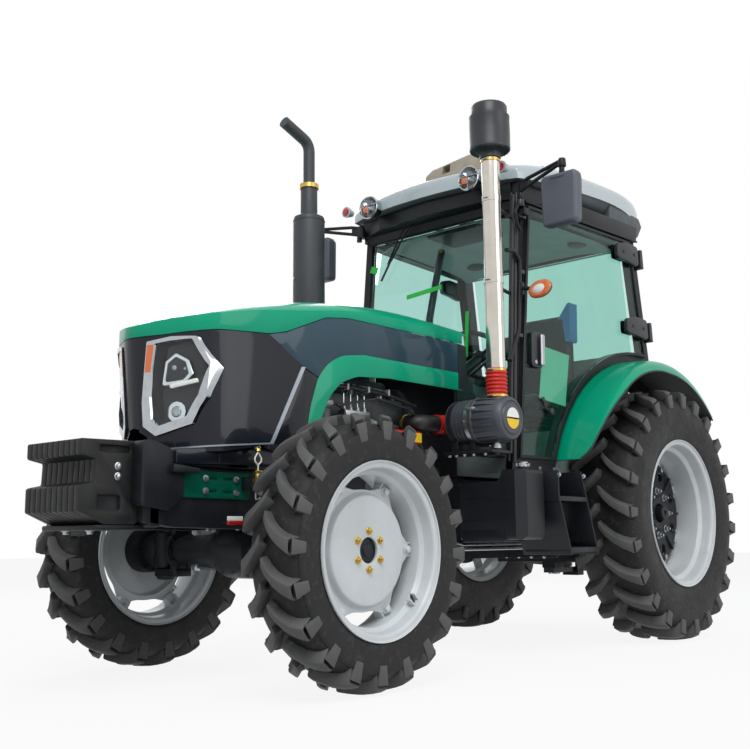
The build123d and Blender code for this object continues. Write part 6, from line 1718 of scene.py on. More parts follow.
def make_cab_fittings():
    """Hinge caps, rails, hoses, markers, wipers, ceiling and tapes on the cab's frame."""
    dark = []
    for z in (1.99, 2.48):
        y = hinge_y(z)
        dark.append(splayed(painted(plate("hinge_cap", rounded([(y + 0.034, z - 0.062), (y + 0.034, z + 0.064),
                                                                (y + 0.060, z + 0.060), (y + 0.070, z - 0.070)], 0.012),
                                          "X", (0.598, 0.655), 0.005, 3), "abs_black")))
        dark.append(splayed(painted(bar("barrel", (0.639, y + 0.006, z - 0.045), (0.639, y, z - 0.002), 0.016, sides=24,
                                        edge=0.002), "cab_black")))
        dark.append(splayed(painted(block("barrel_root", (0.598, 0.640), (y + 0.002, y + 0.020),
                                          (z - 0.042, z - 0.006), 0.003), "cab_black")))
    dark.append(splayed(painted(side_ring("door_seal", (0.598, 0.6012), (0.019, 1.065, 2.6, 1.014, 0.072),
                                          (0.043, 1.089, 2.576, 1.038, 0.096)), "hose")))
    for y in (0.20, 0.34, 0.48):
        dark.append(hexagon("sill_bolt", (SIDE_X + (y - CAB_Y) * 0.068 + 0.001, y, 1.032), "X", 0.017, 0.008, "zinc"))
    left = joined("cab_edge", dark)
    right = copied(left, MIRROR, "cab_edge_right")
    fitted(left, "chassis", "cab_black")
    fitted(right, "chassis", "cab_black")

    pieces = [painted(pipe("stack_rail", [(0.655, 0.008, 2.250), (0.655, 0.085, 2.262), (0.650, 0.150, 2.215),
                                          (0.645, 0.152, 2.10), (0.645, 0.125, 1.80), (0.655, 0.015, 1.615)], 0.0125,
                           0.04), "cab_black")]
    for x, y, low, high, radius in ((0.628, 0.030, 1.10, 2.62, 0.011), (0.628, 0.064, 1.05, 2.64, 0.013),
                                    (0.606, 0.046, 1.06, 2.64, 0.009)):
        put(pieces, "hose", pipe("drain_hose", [(x, y, low), (x + 0.004, y + 0.03, 1.6), (x, y + 0.07, 2.1),
            (x - 0.01, y + 0.125, high)], radius, 0.3))
    for z in (1.34, 1.78, 2.16, 2.5):
        y = front_edge(z) - 0.028
        put(pieces, "abs_black", block("hose_clip", (0.596, 0.646), (y - 0.034, y + 0.034), (z - 0.011, z + 0.011),
            0.004))
    pieces += [painted(block("stack_foot", (0.60, 0.675), (front_edge(2.52) - 0.06, front_edge(2.52) - 0.01),
                             (2.50, 2.545), 0.005), "cab_black"),
               painted(bar("stack_knob", (0.655, 0.175, 2.545), (0.655, 0.175, 2.590), 0.022, 0.020, sides=24,
                           edge=0.005), "abs_black"),
               painted(pipe("stack_hook", [(0.652, 0.15, 2.55), (0.662, 0.10, 2.50), (0.660, 0.12, 2.43),
                                           (0.652, 0.165, 2.40)], 0.010, 0.03), "cab_black")]
    put(pieces, "cab_black", block("marker_foot", (0.602, 0.665), (0.140, 0.172), (2.015, 2.090), 0.006))
    put(pieces, "cab_black", pipe("marker_arm", [(0.655, 0.158, 2.055), (0.70, 0.158, 2.045), (0.76, 0.166, 2.034)],
        0.012, 0.02))
    header = prism_header()
    fitted(joined("cab_pipes", pieces + header), "chassis", "cab_black")
    make_marker_lamps()
    make_screen_details()


def prism_header():
    """The moulded black header and gutter over the screen and the doors."""
    pieces = []
    brow = plate("brow", [(front_edge(2.62) - 0.075, 2.712), (front_edge(2.62) - 0.060, 2.668),
                          (front_edge(2.62) - 0.012, 2.606), (front_edge(2.58) - 0.006, 2.575),
                          (front_edge(2.58) + 0.012, 2.575), (front_edge(2.62) + 0.03, 2.64),
                          (front_edge(2.62) + 0.03, 2.712)], "X", (-0.585, 0.585), 0.004)
    put(pieces, "cab_black", brow)
    for side in (1, -1):
        gutter = plate("gutter", [(front_edge(2.62) - 0.02, 2.712), (front_edge(2.60) - 0.004, 2.600),
                                  (rear_edge(2.60) + 0.004, 2.600), (rear_edge(2.62) + 0.03, 2.712)], "X",
                       (SIDE_X - 0.035, SIDE_X + 0.020), 0.006)
        splayed(gutter)
        lip = pipe("gutter_lip", [(SIDE_X + 0.024, front_edge(2.6) + 0.01, 2.603),
            (SIDE_X + 0.024, rear_edge(2.6), 2.603)], 0.007)
        splayed(lip)
        for piece in (gutter, lip):
            if side < 0:
                piece.data.transform(MIRROR)
                piece.data.flip_normals()
            put(pieces, "cab_black", piece)
    return pieces


def make_marker_lamps():
    """An oval position lamp on its arm, and a small red and white one under the roof's corner."""
    centre = Vector((0.775, 0.165, 2.031))
    body = turned("body", centre, "Y", [(0.026, 0.030), (0.012, 0.046), (-0.004, 0.050), (-0.010, 0.048)], sides=48)
    ring = turned("ring", centre, "Y", [(-0.008, 0.049), (-0.018, 0.046), (-0.024, 0.038), (-0.024, 0.026),
                                        (-0.018, 0.026), (-0.010, 0.044)], sides=48, ring=True)
    eye = turned("eye", centre, "Y", [(-0.010, 0.027), (-0.022, 0.026), (-0.028, 0.018), (-0.030, 0.006)], sides=40)
    lamp = joined("marker_lamp", [painted(body, "abs_black"), painted(ring, "amber_lens"), painted(eye, "white_label")])
    lamp.data.transform(Matrix.Translation(centre) @ Matrix.Rotation(radians(-12), 4, "Y")
                        @ Matrix.Diagonal((1.55, 1.0, 1.0, 1.0)) @ Matrix.Translation(-centre))
    right = copied(lamp, MIRROR, "marker_lamp_right")
    arm = [painted(block("marker_foot", (-0.665, -0.602), (0.140, 0.172), (2.015, 2.090), 0.006), "cab_black"),
           painted(pipe("marker_arm", [(-0.655, 0.158, 2.055), (-0.70, 0.158, 2.045), (-0.76, 0.166, 2.034)], 0.012,
                        0.02), "cab_black")]
    fitted(lamp, "chassis", "lamp_glass")
    fitted(joined("marker_lamp_right", [right] + arm), "chassis", "lamp_glass")
    for side in (1, -1):
        centre = Vector((side * 0.612, 0.050, 2.765))
        shell = turned("shell", centre, "Y", [(0.045, 0.022), (0.0, 0.036), (-0.010, 0.036), (-0.012, 0.030)], sides=32)
        eye = turned("eye", centre, "Y", [(-0.008, 0.027), (-0.018, 0.025), (-0.024, 0.014)], sides=32)
        fitted(joined("corner_lamp_left" if side > 0 else "corner_lamp_right",
                      [painted(shell, "roof"), painted(eye, "red_lens")]), "chassis", "lamp_glass")


def make_screen_details():
    """Wipers, tapes and the pale ceiling behind the glass."""
    arms = []
    for start, elbow, end, radius in (((-0.130, 0.150, 2.690), (-0.300, 0.205, 2.560), (-0.405, 0.214, 2.405), 0.006),
                                      ((-0.075, 0.150, 2.690), (-0.260, 0.205, 2.560), (-0.372, 0.214, 2.425), 0.005)):
        put(arms, "cab_black", pipe("wiper_arm", [start, elbow, end], radius, 0.05))
    arms += [painted(pipe("wiper_blade", [(-0.455, 0.205, 2.300), (-0.385, 0.216, 2.42), (-0.31, 0.226, 2.53)], 0.007,
        0.1), "hose"), painted(bar("wiper_motor", (-0.10, 0.135, 2.700), (-0.10, 0.185, 2.690), 0.030, 0.026,
        sides=28, edge=0.004), "abs_black")]
    fitted(joined("screen_wiper", arms), "chassis", "cab_black")
    tapes = []
    for (x, z), (end_x, end_z), wide in (((-0.250, 2.158), (0.030, 2.182), 0.030),
            ((0.236, 1.990), (0.240, 1.705), 0.026), ((-0.560, 2.40), (-0.500, 2.38), 0.045),
            ((0.556, 1.43), (0.592, 1.42), 0.050)):
        line = Vector((end_x - x, 0, end_z - z))
        side = Vector((line.z, 0, -line.x)).normalized() * wide / 2
        corners = [Vector((x, 0, z)) + side, Vector((end_x, 0, end_z)) + side, Vector((end_x, 0, end_z)) - side,
                   Vector((x, 0, z)) - side]
        tape = plate("tape", [(corner.x, corner.z) for corner in corners], "Y", (-0.0006, 0.0002))
        for vertex in tape.data.vertices:
            vertex.co.y += front_edge(vertex.co.z) + (-0.004 if abs(x) > 0.5 else 0.0125)
        put(tapes, "green_tape", tape)
    fitted(joined("masking_tapes", tapes), "chassis", "tinted_glass")
    ceiling = sheet("ceiling", 12, 12, lambda u, v: (
        (u - 0.5) * (1.06 + 0.16 * v), front_edge(2.6) + 0.05 + v * (rear_edge(2.6) - front_edge(2.6) - 0.16),
        2.612 - 0.05 * (2 * abs(u - 0.5)) ** 4 - 0.04 * (2 * abs(v - 0.5)) ** 6))
    applied(ceiling, "SOLIDIFY", thickness=0.004, offset=-1)
    console = block("ceiling_console", (-0.20, 0.20), (front_edge(2.6) + 0.12, front_edge(2.6) + 0.42),
        (2.565, 2.606), 0.012)
    speaker = [bar("speaker", (side * 0.42, 1.22, 2.60), (side * 0.42, 1.22, 2.575), 0.07, 0.06, sides=32, edge=0.004)
               for side in (1, -1)]
    dark = [painted(piece, "lining") for piece in [console] + speaker]
    fitted(joined("cab_ceiling", [painted(ceiling, "headliner")] + dark), "chassis", "cab_lining")


# ---------------------------------------------------------------- roof
ROOF_ACROSS = (                # share of the half-width, share of the drop to the rim
    (-1.0, 1.0), (-1.0, 0.55), (-0.997, 0.24), (-0.975, 0.09), (-0.93, 0.03), (-0.75, 0.0), (-0.45, 0.0), (0.0, 0.0),
    (0.45, 0.0), (0.75, 0.0), (0.93, 0.03), (0.975, 0.09), (0.997, 0.24), (1.0, 0.55), (1.0, 1.0))
ROOF_ALONG = (                 # share of the length, share of the drop to the rim
    (0.0, 1.0), (0.0, 0.55), (0.002, 0.24), (0.012, 0.09), (0.03, 0.03), (0.10, 0.0), (0.25, 0.0), (0.45, 0.0),
    (0.65, 0.0), (0.82, 0.0), (0.93, 0.03), (0.965, 0.09), (0.985, 0.24), (0.995, 0.55), (1.0, 1.0))
ROOF_TOP = ((0.0, 2.805), (0.08, 2.835), (0.25, 2.880), (0.45, 2.905), (0.75, 2.935), (0.9, 2.935), (1.0, 2.905))
ROOF_RIM = ((0.0, 2.722), (0.08, 2.728), (0.3, 2.760), (0.6, 2.800), (0.75, 2.812), (0.86, 2.800), (1.0, 2.745))


def along_line(table, share):
    """The value of a table of (share, value) at a share."""
    for (a, low), (b, high) in zip(table, table[1:]):
        if share <= b:
            return low + (high - low) * (share - a) / (b - a)
    return table[-1][1]


def roof_spot(u, v, inset=0.0):
    """A point of the roof's skin."""
    across, drop_x = ROOF_ACROSS[round(u * (len(ROOF_ACROSS) - 1))]
    share, drop_y = ROOF_ALONG[round(v * (len(ROOF_ALONG) - 1))]
    half = 0.702 - inset
    if share < 0.2:
        half -= 0.055 * (1 - share / 0.2) ** 2
    if share > 0.8:
        half -= 0.035 * ((share - 0.8) / 0.2) ** 2
    front = CAB_Y - 0.036 + 0.115 * abs(across) ** 2.6 + inset
    back = REAR_Y + 0.232 - 0.05 * abs(across) ** 3 - inset
    top = along_line(ROOF_TOP, share) + 0.028 * (1 - across ** 2)
    rim = along_line(ROOF_RIM, share)
    drop = max(drop_x, drop_y)
    return (across * half, front + (back - front) * share, top + (rim - top) * drop)


def make_roof():
    """A moulded gel-coat roof whose rear corners droop, its dark underside, and the hatch."""
    skin = sheet("skin", len(ROOF_ACROSS) - 1, len(ROOF_ALONG) - 1, roof_spot)
    applied(mended(skin), "SUBSURF", levels=2, render_levels=2)
    applied(skin, "SOLIDIFY", thickness=0.007, offset=-1)
    edit(skin)
    bpy.ops.mesh.normals_make_consistent(inside=False)
    bpy.ops.object.mode_set(mode="OBJECT")
    under = sheet("under", len(ROOF_ACROSS) - 1, len(ROOF_ALONG) - 1, lambda u, v: roof_under(u, v))
    applied(mended(under), "SUBSURF", levels=1, render_levels=1)
    applied(under, "SOLIDIFY", thickness=0.003, offset=1)
    hatch = plate("hatch", [(-0.04, 2.83), (-0.035, 2.895), (0.02, 2.925), (0.30, 2.955), (0.40, 2.95), (0.40, 2.83)],
        "Y", (0.155, 0.62), 0.012, 3)
    mouth = plate("mouth", rounded([(0.095, 2.875), (0.110, 2.925), (0.165, 2.930), (0.160, 2.880)], 0.008), "Y",
                  (0.1, 0.26))
    cut(hatch, [mouth])
    hook = pipe("aerial_loop", [(0.50, 0.62, 2.89), (0.505, 0.625, 2.945), (0.53, 0.64, 2.962), (0.54, 0.66, 2.90)],
        0.003, 0.02)
    pieces = [painted(skin, "roof"), painted(under, "roof_inside"), painted(hatch, "hatch_tan"), painted(hook, "zinc")]
    for side in (1, -1):
        corner = plate("corner", rounded([(1.190, 2.815), (1.194, 2.690), (1.345, 2.610), (1.575, 2.660),
            (1.640, 2.745), (1.600, 2.800)], 0.02), "X", (side * 0.600, side * 0.692), 0.012, 3)
        put(pieces, "roof_inside", corner)
    fitted(joined("roof_moulding", pieces), "chassis", "roof_paint", "roof_shell", angle=50)


def roof_under(u, v):
    """The dark inner moulding that closes the roof from below."""
    x, y, _ = roof_spot(u, v, 0.010)
    share = ROOF_ALONG[round(v * (len(ROOF_ALONG) - 1))][0]
    across = abs(ROOF_ACROSS[round(u * (len(ROOF_ACROSS) - 1))][0])
    floor = 2.712
    edge = max((across - 0.90) / 0.10, 0.0, (share - 0.93) / 0.07, (0.02 - share) / 0.02)
    rim = along_line(ROOF_RIM, share) + 0.006
    return (x, y, floor + (rim - floor) * min(edge, 1.0))


def make_roof_lamps():
    """Round work lamps: a chromed bowl and bezel under a domed lens, with an amber cell."""
    pieces, lenses = [], []
    for side in (1, -1):
        centre = Vector((side * 0.395, 0.030, 2.742))
        shell = turned("shell", centre, "Y", [(0.075, 0.040), (0.045, 0.064), (0.0, 0.074), (-0.012, 0.076),
            (-0.018, 0.073), (-0.016, 0.068), (0.0, 0.062), (0.022, 0.044), (0.034, 0.020), (0.036, 0.006)], sides=48)
        bulb = turned("bulb", centre, "Y", [(0.034, 0.010), (0.006, 0.010), (-0.002, 0.006)], sides=24)
        cell = plate("cell", rounded([(-0.052, -0.020), (-0.052, 0.012), (-0.010, 0.016), (-0.014, -0.026)], 0.008),
            "Y", (-0.002, 0.016), 0.002)
        cell.data.transform(Matrix.Translation(centre))
        spokes = [block("cell_wall", (centre.x - 0.060, centre.x + 0.060), (0.026, 0.040),
                        (centre.z + 0.017, centre.z + 0.021)),
                  block("cell_wall", (centre.x - 0.012, centre.x - 0.008), (0.026, 0.040),
                        (centre.z - 0.060, centre.z + 0.019))]
        lens = turned("lens", centre, "Y", [(-0.006, 0.069), (-0.016, 0.067), (-0.026, 0.050), (-0.031, 0.025)],
            sides=48)
        pieces += [painted(shell, "chrome"), painted(bulb, "white_label"), painted(cell, "amber_lens")]
        pieces += [painted(piece, "chrome") for piece in spokes]
        put(lenses, "clear", lens)
    fitted(joined("roof_lamp_bowls", pieces), "chassis", "lamp_glass", "roof_lamps")
    fitted(joined("roof_lamp_lenses", lenses), "chassis", "lamp_glass")


# ---------------------------------------------------------------- mirrors
def make_mirrors():
    """Rounded slate housings on flat double arms."""
    shell = plate("shell", rounded([(0.838, 2.362), (0.832, 2.640), (0.850, 2.662), (1.052, 2.662), (1.066, 2.640),
                                    (1.056, 2.362)], 0.030), "Y", (0.100, 0.176), 0.020, 4)
    rim = plate("rim", rounded([(0.846, 2.370), (0.842, 2.652), (1.056, 2.652), (1.048, 2.370)], 0.028), "Y",
                (0.172, 0.186), 0.003)
    glass = plate("glass", rounded([(0.856, 2.382), (0.852, 2.642), (1.046, 2.642), (1.038, 2.382)], 0.020), "Y",
                  (0.1855, 0.188))
    grip = plate("grip", rounded([(0.905, 2.632), (0.905, 2.646), (0.990, 2.646), (0.990, 2.632)], 0.006), "Y",
                 (0.095, 0.102), 0.002)
    stem = [bar("stem", (0.955, 0.140, 2.645), (0.960, 0.140, 2.735), 0.017, 0.014, sides=24, edge=0.003),
            bar("elbow", (0.960, 0.140, 2.700), (0.960, 0.140, 2.752), 0.024, 0.021, sides=28, edge=0.008, steps=3)]
    upper = pipe("upper_arm", [(0.610, 0.210, 2.690), (0.70, 0.19, 2.712), (0.960, 0.140, 2.742)], 0.011, 0.1)
    lower = pipe("lower_arm", [(0.610, 0.205, 2.640), (0.70, 0.185, 2.664), (0.930, 0.146, 2.722)], 0.011, 0.1)
    web = plate("web", [(0.625, 2.650), (0.625, 2.688), (0.70, 2.700), (0.70, 2.672)], "Y", (0.190, 0.196))
    foot = block("foot", (0.590, 0.640), (0.180, 0.240), (2.622, 2.706), 0.008)
    collar = bar("collar", (0.640, 0.200, 2.600), (0.640, 0.200, 2.640), 0.018, 0.016, sides=24, edge=0.003)
    pieces = [painted(shell, "mirror_grey"), painted(grip, "mirror_grey"), painted(rim, "abs_black"),
              painted(glass, "mirror")]
    pieces += [painted(piece, "cab_black") for piece in stem + [upper, lower, web, foot, collar]]
    whole = joined("mirrors_moulded", pieces)
    other = copied(whole, MIRROR, "mirror_right")
    fitted(joined("mirrors_moulded", [whole, other]), "chassis", "cab_black", "mirrors")


# ---------------------------------------------------------------- fenders
FENDER_RIM = ((46, 0.885), (65, 0.885), (90, 0.890), (115, 0.930), (140, 0.965), (162, 0.985))   # degrees, lip radius
FENDER_SHOULDER = (             # share of the width, share of the fall to the lip
    (0.0, 0.0), (0.12, 0.0), (0.40, 0.0), (0.62, 0.02), (0.76, 0.08), (0.86, 0.20), (0.93, 0.40), (0.975, 0.66),
    (1.0, 1.0))


def fender_reach(angle):
    """Outer edge of the fender along X at an angle: it narrows towards its lower front end."""
    z = REAR_R + FENDER_R * sin(angle)
    table = ((1.089, 0.79), (1.105, 0.825), (1.14, 0.845), (1.25, 0.875), (1.38, 0.905), (1.50, 0.930))
    return 0.930 if angle < radians(110) else along_line(table, z)


def fender_spot(u, v, drop=0.0):
    """A point of the fender's skin: along its arc, and out over its rolled shoulder."""
    angle = radians(FENDER_REAR + FENDER_SWEEP * u)
    share, fall = FENDER_SHOULDER[round(v * (len(FENDER_SHOULDER) - 1))]
    lip = along_line(FENDER_RIM, degrees(angle))
    radius = FENDER_R - drop + (lip - FENDER_R) * fall
    x = FENDER_IN + (fender_reach(angle) - FENDER_IN) * share
    return (x, REAR_Y + radius * cos(angle), REAR_R + radius * sin(angle))


def make_fenders():
    """Green fenders with a rolled outer shoulder, a dark liner, a rubber lip and a rear flap."""
    skin = sheet("skin", 30, len(FENDER_SHOULDER) - 1, fender_spot, closed=True)
    applied(skin, "SUBSURF", levels=1, render_levels=1)
    applied(skin, "SOLIDIFY", thickness=0.004, offset=-1)
    liner = sheet("liner", 30, len(FENDER_SHOULDER) - 1, lambda u, v: fender_spot(u, v, 0.010), closed=True)
    applied(liner, "SUBSURF", levels=1, render_levels=1)
    applied(liner, "SOLIDIFY", thickness=0.002, offset=-1)
    lip = [fender_spot(step / 40, 1.0, 0.004) for step in range(41)]
    rim = pipe("lip", [(x - 0.001, y, z) for x, y, z in lip], 0.0055)
    flap = sheet("flap", 6, 8, lambda u, v: flap_spot(u, v), closed=True)
    applied(flap, "SOLIDIFY", thickness=0.005, offset=-1)
    wall = sheet("inner_wall", 30, 1, lambda u, v: (0.556, REAR_Y + (0.83 + 0.145 * v) * cos(radians(46 + 116 * u)),
                                                    REAR_R + (0.83 + 0.145 * v) * sin(radians(46 + 116 * u))))
    applied(wall, "SOLIDIFY", thickness=0.004, offset=0.0)
    pieces = [painted(skin, "green"), painted(liner, "lining"), painted(rim, "hose"), painted(flap, "flap_brown"),
              painted(wall, "plate_black")]
    for angle in (50, 75, 100, 125, 150):
        x, y, z = fender_spot((angle - FENDER_REAR) / FENDER_SWEEP, 0.0)
        bolt = bar("fender_bolt", (x + 0.02, y, z), (x + 0.02, REAR_Y + (FENDER_R + 0.007) * cos(radians(angle)),
                                                    REAR_R + (FENDER_R + 0.007) * sin(radians(angle))), 0.010, 0.009,
                   sides=16, edge=0.002)
        put(pieces, "plate_black", bolt)
    whole = joined("fender", pieces)
    both(whole, "chassis", "chassis", "green_paint", ["fender"], angle=50)


def flap_spot(u, v):
    """The rubber flap that carries on the fender's rear end."""
    angle = radians(47 - 6.0 * u)
    share, fall = FENDER_SHOULDER[round(v * (len(FENDER_SHOULDER) - 1))]
    radius = FENDER_R - 0.006 + (0.880 + 0.01 * u - FENDER_R) * fall
    reach = 0.926 - 0.14 * u ** 2
    return (0.552 + (reach - 0.552) * share, REAR_Y + radius * cos(angle), REAR_R + radius * sin(angle))


# ---------------------------------------------------------------- inside of the cab
def puffed(piece, cap):
    """Swell a pad as cloth under pressure, no point further than a cap, and smooth it."""
    applied(piece, "REMESH", mode="VOXEL", voxel_size=0.006)
    rest = [vertex.co.copy() for vertex in piece.data.vertices]
    cloth = piece.modifiers.new("cloth", "CLOTH")
    cloth.settings.use_pressure = True
    cloth.settings.uniform_pressure_force = 4.0
    cloth.settings.effector_weights.gravity = 0.0
    cloth.point_cache.frame_start, cloth.point_cache.frame_end = 1, 20
    for frame_number in range(1, 21):
        bpy.context.scene.frame_set(frame_number)
    only(piece)
    bpy.ops.object.modifier_apply(modifier="cloth")
    bpy.context.scene.frame_set(1)
    for vertex, start in zip(piece.data.vertices, rest):
        move = vertex.co - start
        if move.length > cap:
            vertex.co = start + move.normalized() * cap
    return applied(piece, "SMOOTH", factor=0.5, iterations=4)


def make_seat():
    """A sprung seat: two puffed pads on a moulded pan with bellows below it, arm rests and a blue cover."""
    base = block("seat_cushion", (-0.238, 0.238), (0.922, 1.395), (1.468, 1.562), 0.035, 4)
    edit(base)
    bpy.ops.mesh.subdivide(number_cuts=2)
    bpy.ops.object.mode_set(mode="OBJECT")
    back = plate("seat_back_pad", rounded([(1.318, 1.585), (1.378, 2.170), (1.455, 2.170), (1.440, 1.585)], 0.03), "X",
                 (-0.226, 0.226), 0.020, 3)
    for pad, cap in ((base, 0.010), (back, 0.010)):
        puffed(pad, cap)
        fitted(painted(pad, "seat_cloth"), "chassis", "seat_cover", angle=60)
    pan = [block("pan", (-0.205, 0.205), (0.95, 1.37), (1.425, 1.466), 0.012),
           block("spring_box", (-0.150, 0.150), (1.00, 1.34), (1.291, 1.428), 0.010),
           block("back_shell", (-0.215, 0.215), (1.452, 1.470), (1.60, 2.08), 0.008)]
    for side in (1, -1):
        pan.append(pipe("arm_rest", [(side * 0.262, 1.40, 1.60), (side * 0.275, 1.30, 1.69),
            (side * 0.275, 1.00, 1.70)], 0.026, 0.08))
    welts = []
    for step in range(3):
        z = 1.315 + 0.032 * step
        welts.append(block("bellows", (-0.165, 0.165), (0.985, 1.355), (z, z + 0.018), 0.006))
    pieces = [painted(piece, "lining") for piece in pan] + [painted(piece, "hose") for piece in welts]
    cover = plate("cover", rounded([(0.070, 2.020), (0.246, 1.960), (0.254, 2.245), (0.232, 2.235)], 0.02), "Y",
                  (1.366, 1.470), 0.018, 3)
    put(pieces, "vinyl", cover)
    fitted(joined("seat_frame", pieces), "chassis", "seat_cover", "seat")


def make_controls():
    """Steering wheel on its tilted column, the dash with its hood, pedals, console and levers."""
    low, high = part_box("steering_column")
    tilt = radians(40)
    centre = Vector((0, REAR_Y - 0.800, 1.800))
    rim = turned("wheel_rim", centre, "Z", [(0.016 * sin(2 * pi * k / 14), 0.205 + 0.016 * cos(2 * pi * k / 14))
                                            for k in range(14)], sides=64, ring=True)
    hub = turned("wheel_hub", centre, "Z", [(-0.030, 0.034), (-0.010, 0.048), (0.010, 0.046), (0.018, 0.030)], sides=32)
    spokes = [bar("spoke", centre + Vector((0.03 * cos(a), 0.03 * sin(a), 0)), centre
                  + Vector((0.196 * cos(a), 0.196 * sin(a), 0)), 0.013, 0.010, sides=16)
              for a in (radians(90), radians(210), radians(330))]
    wheel = [rim, hub] + spokes
    for piece in wheel:
        piece.data.transform(turn_about(centre, "X", -tilt))
    dash_y = front_edge(1.44) + 0.06
    column = bar("column", (0, dash_y + 0.10, 1.58), centre - Vector((0, sin(tilt), cos(tilt))) * 0.02, 0.042, 0.030,
                 sides=28, edge=0.004)
    gaiter = bar("gaiter", (0, dash_y + 0.10, 1.56), (0, dash_y + 0.21, 1.655), 0.075, 0.046, sides=28, edge=0.006)
    dash = plate("dash", rounded([(dash_y, 1.042), (dash_y, 1.56), (dash_y + 0.03, 1.638), (dash_y + 0.11, 1.640),
        (dash_y + 0.178, 1.575), (dash_y + 0.170, 1.042)], 0.025), "X", (-0.148, 0.148), 0.012, 3)
    hood = plate("dash_hood", rounded([(dash_y + 0.004, 1.560), (dash_y + 0.012, 1.650), (dash_y + 0.100, 1.668),
        (dash_y + 0.110, 1.650), (dash_y + 0.05, 1.600)], 0.012), "X", (-0.142, 0.142), 0.006)
    dial = [painted(bar("dial", (x, dash_y + 0.128, 1.622), (x, dash_y + 0.140, 1.634), 0.030, sides=32, edge=0.002),
                    "white_label") for x in (-0.075, 0.075)]
    pedals = []
    for x in (-0.10, 0.095, 0.155):
        pedals += [block("pedal", (x - 0.030, x + 0.030), (dash_y + 0.20, dash_y + 0.215), (1.10, 1.19), 0.006),
                   bar("pedal_arm", (x, dash_y + 0.205, 1.18), (x, dash_y + 0.12, 1.34), 0.009, sides=16)]
    stalk = bar("stalk", centre - Vector((0.03, sin(tilt) * 0.09, cos(tilt) * 0.09)), centre
                - Vector((0.19, sin(tilt) * 0.07, cos(tilt) * 0.07)), 0.006, 0.009, sides=16, edge=0.002)
    pieces = [painted(piece, "abs_black") for piece in wheel + [column, gaiter, stalk]]
    pieces += [painted(piece, "lining") for piece in (dash, hood)] + dial
    pieces += [painted(piece, "plate_black") for piece in pedals]
    fitted(joined("steering_built", pieces), "chassis", "cab_lining", "steering_column")

    low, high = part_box("side_console")
    console = plate("console", rounded([(low.y, low.z + 0.002), (low.y, high.z - 0.09), (low.y + 0.10, high.z - 0.01),
        (high.y, high.z), (high.y, low.z + 0.002)], 0.02), "X", (low.x, high.x), 0.014, 3)
    pieces = [painted(console, "lining")]
    for x, y, tall, key in ((-0.46, 0.93, 0.20, "red_paint"), (-0.40, 0.95, 0.17, "abs_black"),
            (-0.37, 1.06, 0.13, "abs_black"), (-0.47, 1.10, 0.12, "yellow_label")):
        top = (x, y - 0.03, high.z - 0.02 + tall)
        pieces += [painted(bar("lever", (x, y, high.z - 0.04), top, 0.006, sides=12), "zinc"),
            painted(bar("lever_knob", (top[0], top[1], top[2] - 0.03), (top[0], top[1] - 0.006, top[2] + 0.03), 0.016,
            0.012, sides=20, edge=0.005), key), painted(bar("lever_boot", (x, y, high.z - 0.012),
            (x, y - 0.005, high.z + 0.03), 0.030, 0.012, sides=20, edge=0.003), "hose")]
    fitted(joined("console_moulded", pieces), "chassis", "cab_lining", "side_console")

    rail = [pipe("grab_bar", [(-0.235, 0.40, 1.66), (-0.228, 0.42, 2.05), (-0.20, 0.50, 2.44), (-0.20, 0.53, 2.52)],
        0.024, 0.3)]
    rail.append(block("monitor", (0.22, 0.42), (0.40, 0.43), (1.70, 1.84), 0.010))
    rail.append(bar("monitor_arm", (0.14, 0.34, 1.62), (0.28, 0.40, 1.74), 0.010, sides=16))
    fitted(joined("cab_grips", [painted(piece, "abs_black") for piece in rail]), "chassis", "cab_lining")


# ---------------------------------------------------------------- carried-over nodes
FINISHES = (                   # finish, nodes
    # the cab floor's pale grey-green is painted light for the inside of the cab
    ("lit_trim_grey", ("cab_floor",)),
    ("cab_black", ("cab_frame", "roof_lining")),
    ("glass", ("rear_window", "door_left_glass", "door_right_glass")),
    ("screen_glass", ("windscreen",)),
    ("plate_black", ("hood_support", "drawbar", "lift_rods", "top_link")),
    ("cast_black", ("gearbox_housing", "rear_axle", "lower_links", "lift_arms")),
)


def finish_nodes():
    """Give every node that stays from the solid model its finish."""
    for key, names in FINISHES:
        for name in names:
            painted(nodes[name], key)


# ---------------------------------------------------------------- driveline and linkage
def flange(name, y, half_x, z, wide=0.024):
    """A bolted joint round the housing: two lips and a row of screws."""
    low, high = z
    outline = rounded([(-half_x, low), (half_x, low), (half_x, high), (-half_x, high)], 0.035)
    pieces = [painted(plate(name, outline, "Y", (y - wide / 2, y + wide / 2), 0.003), "cast_black")]
    for step in range(5):
        z_at = low + 0.045 + (high - low - 0.09) * step / 4
        for side in (1, -1):
            pieces.append(hexagon("screw", (side * (half_x - 0.014), y - wide / 2, z_at), "-Y", 0.019, 0.010, "zinc"))
    for step in range(4):
        x_at = (-0.6 + 0.4 * step) * half_x
        pieces.append(hexagon("screw", (x_at, y - wide / 2, low + 0.014), "-Y", 0.019, 0.010, "zinc"))
    return pieces


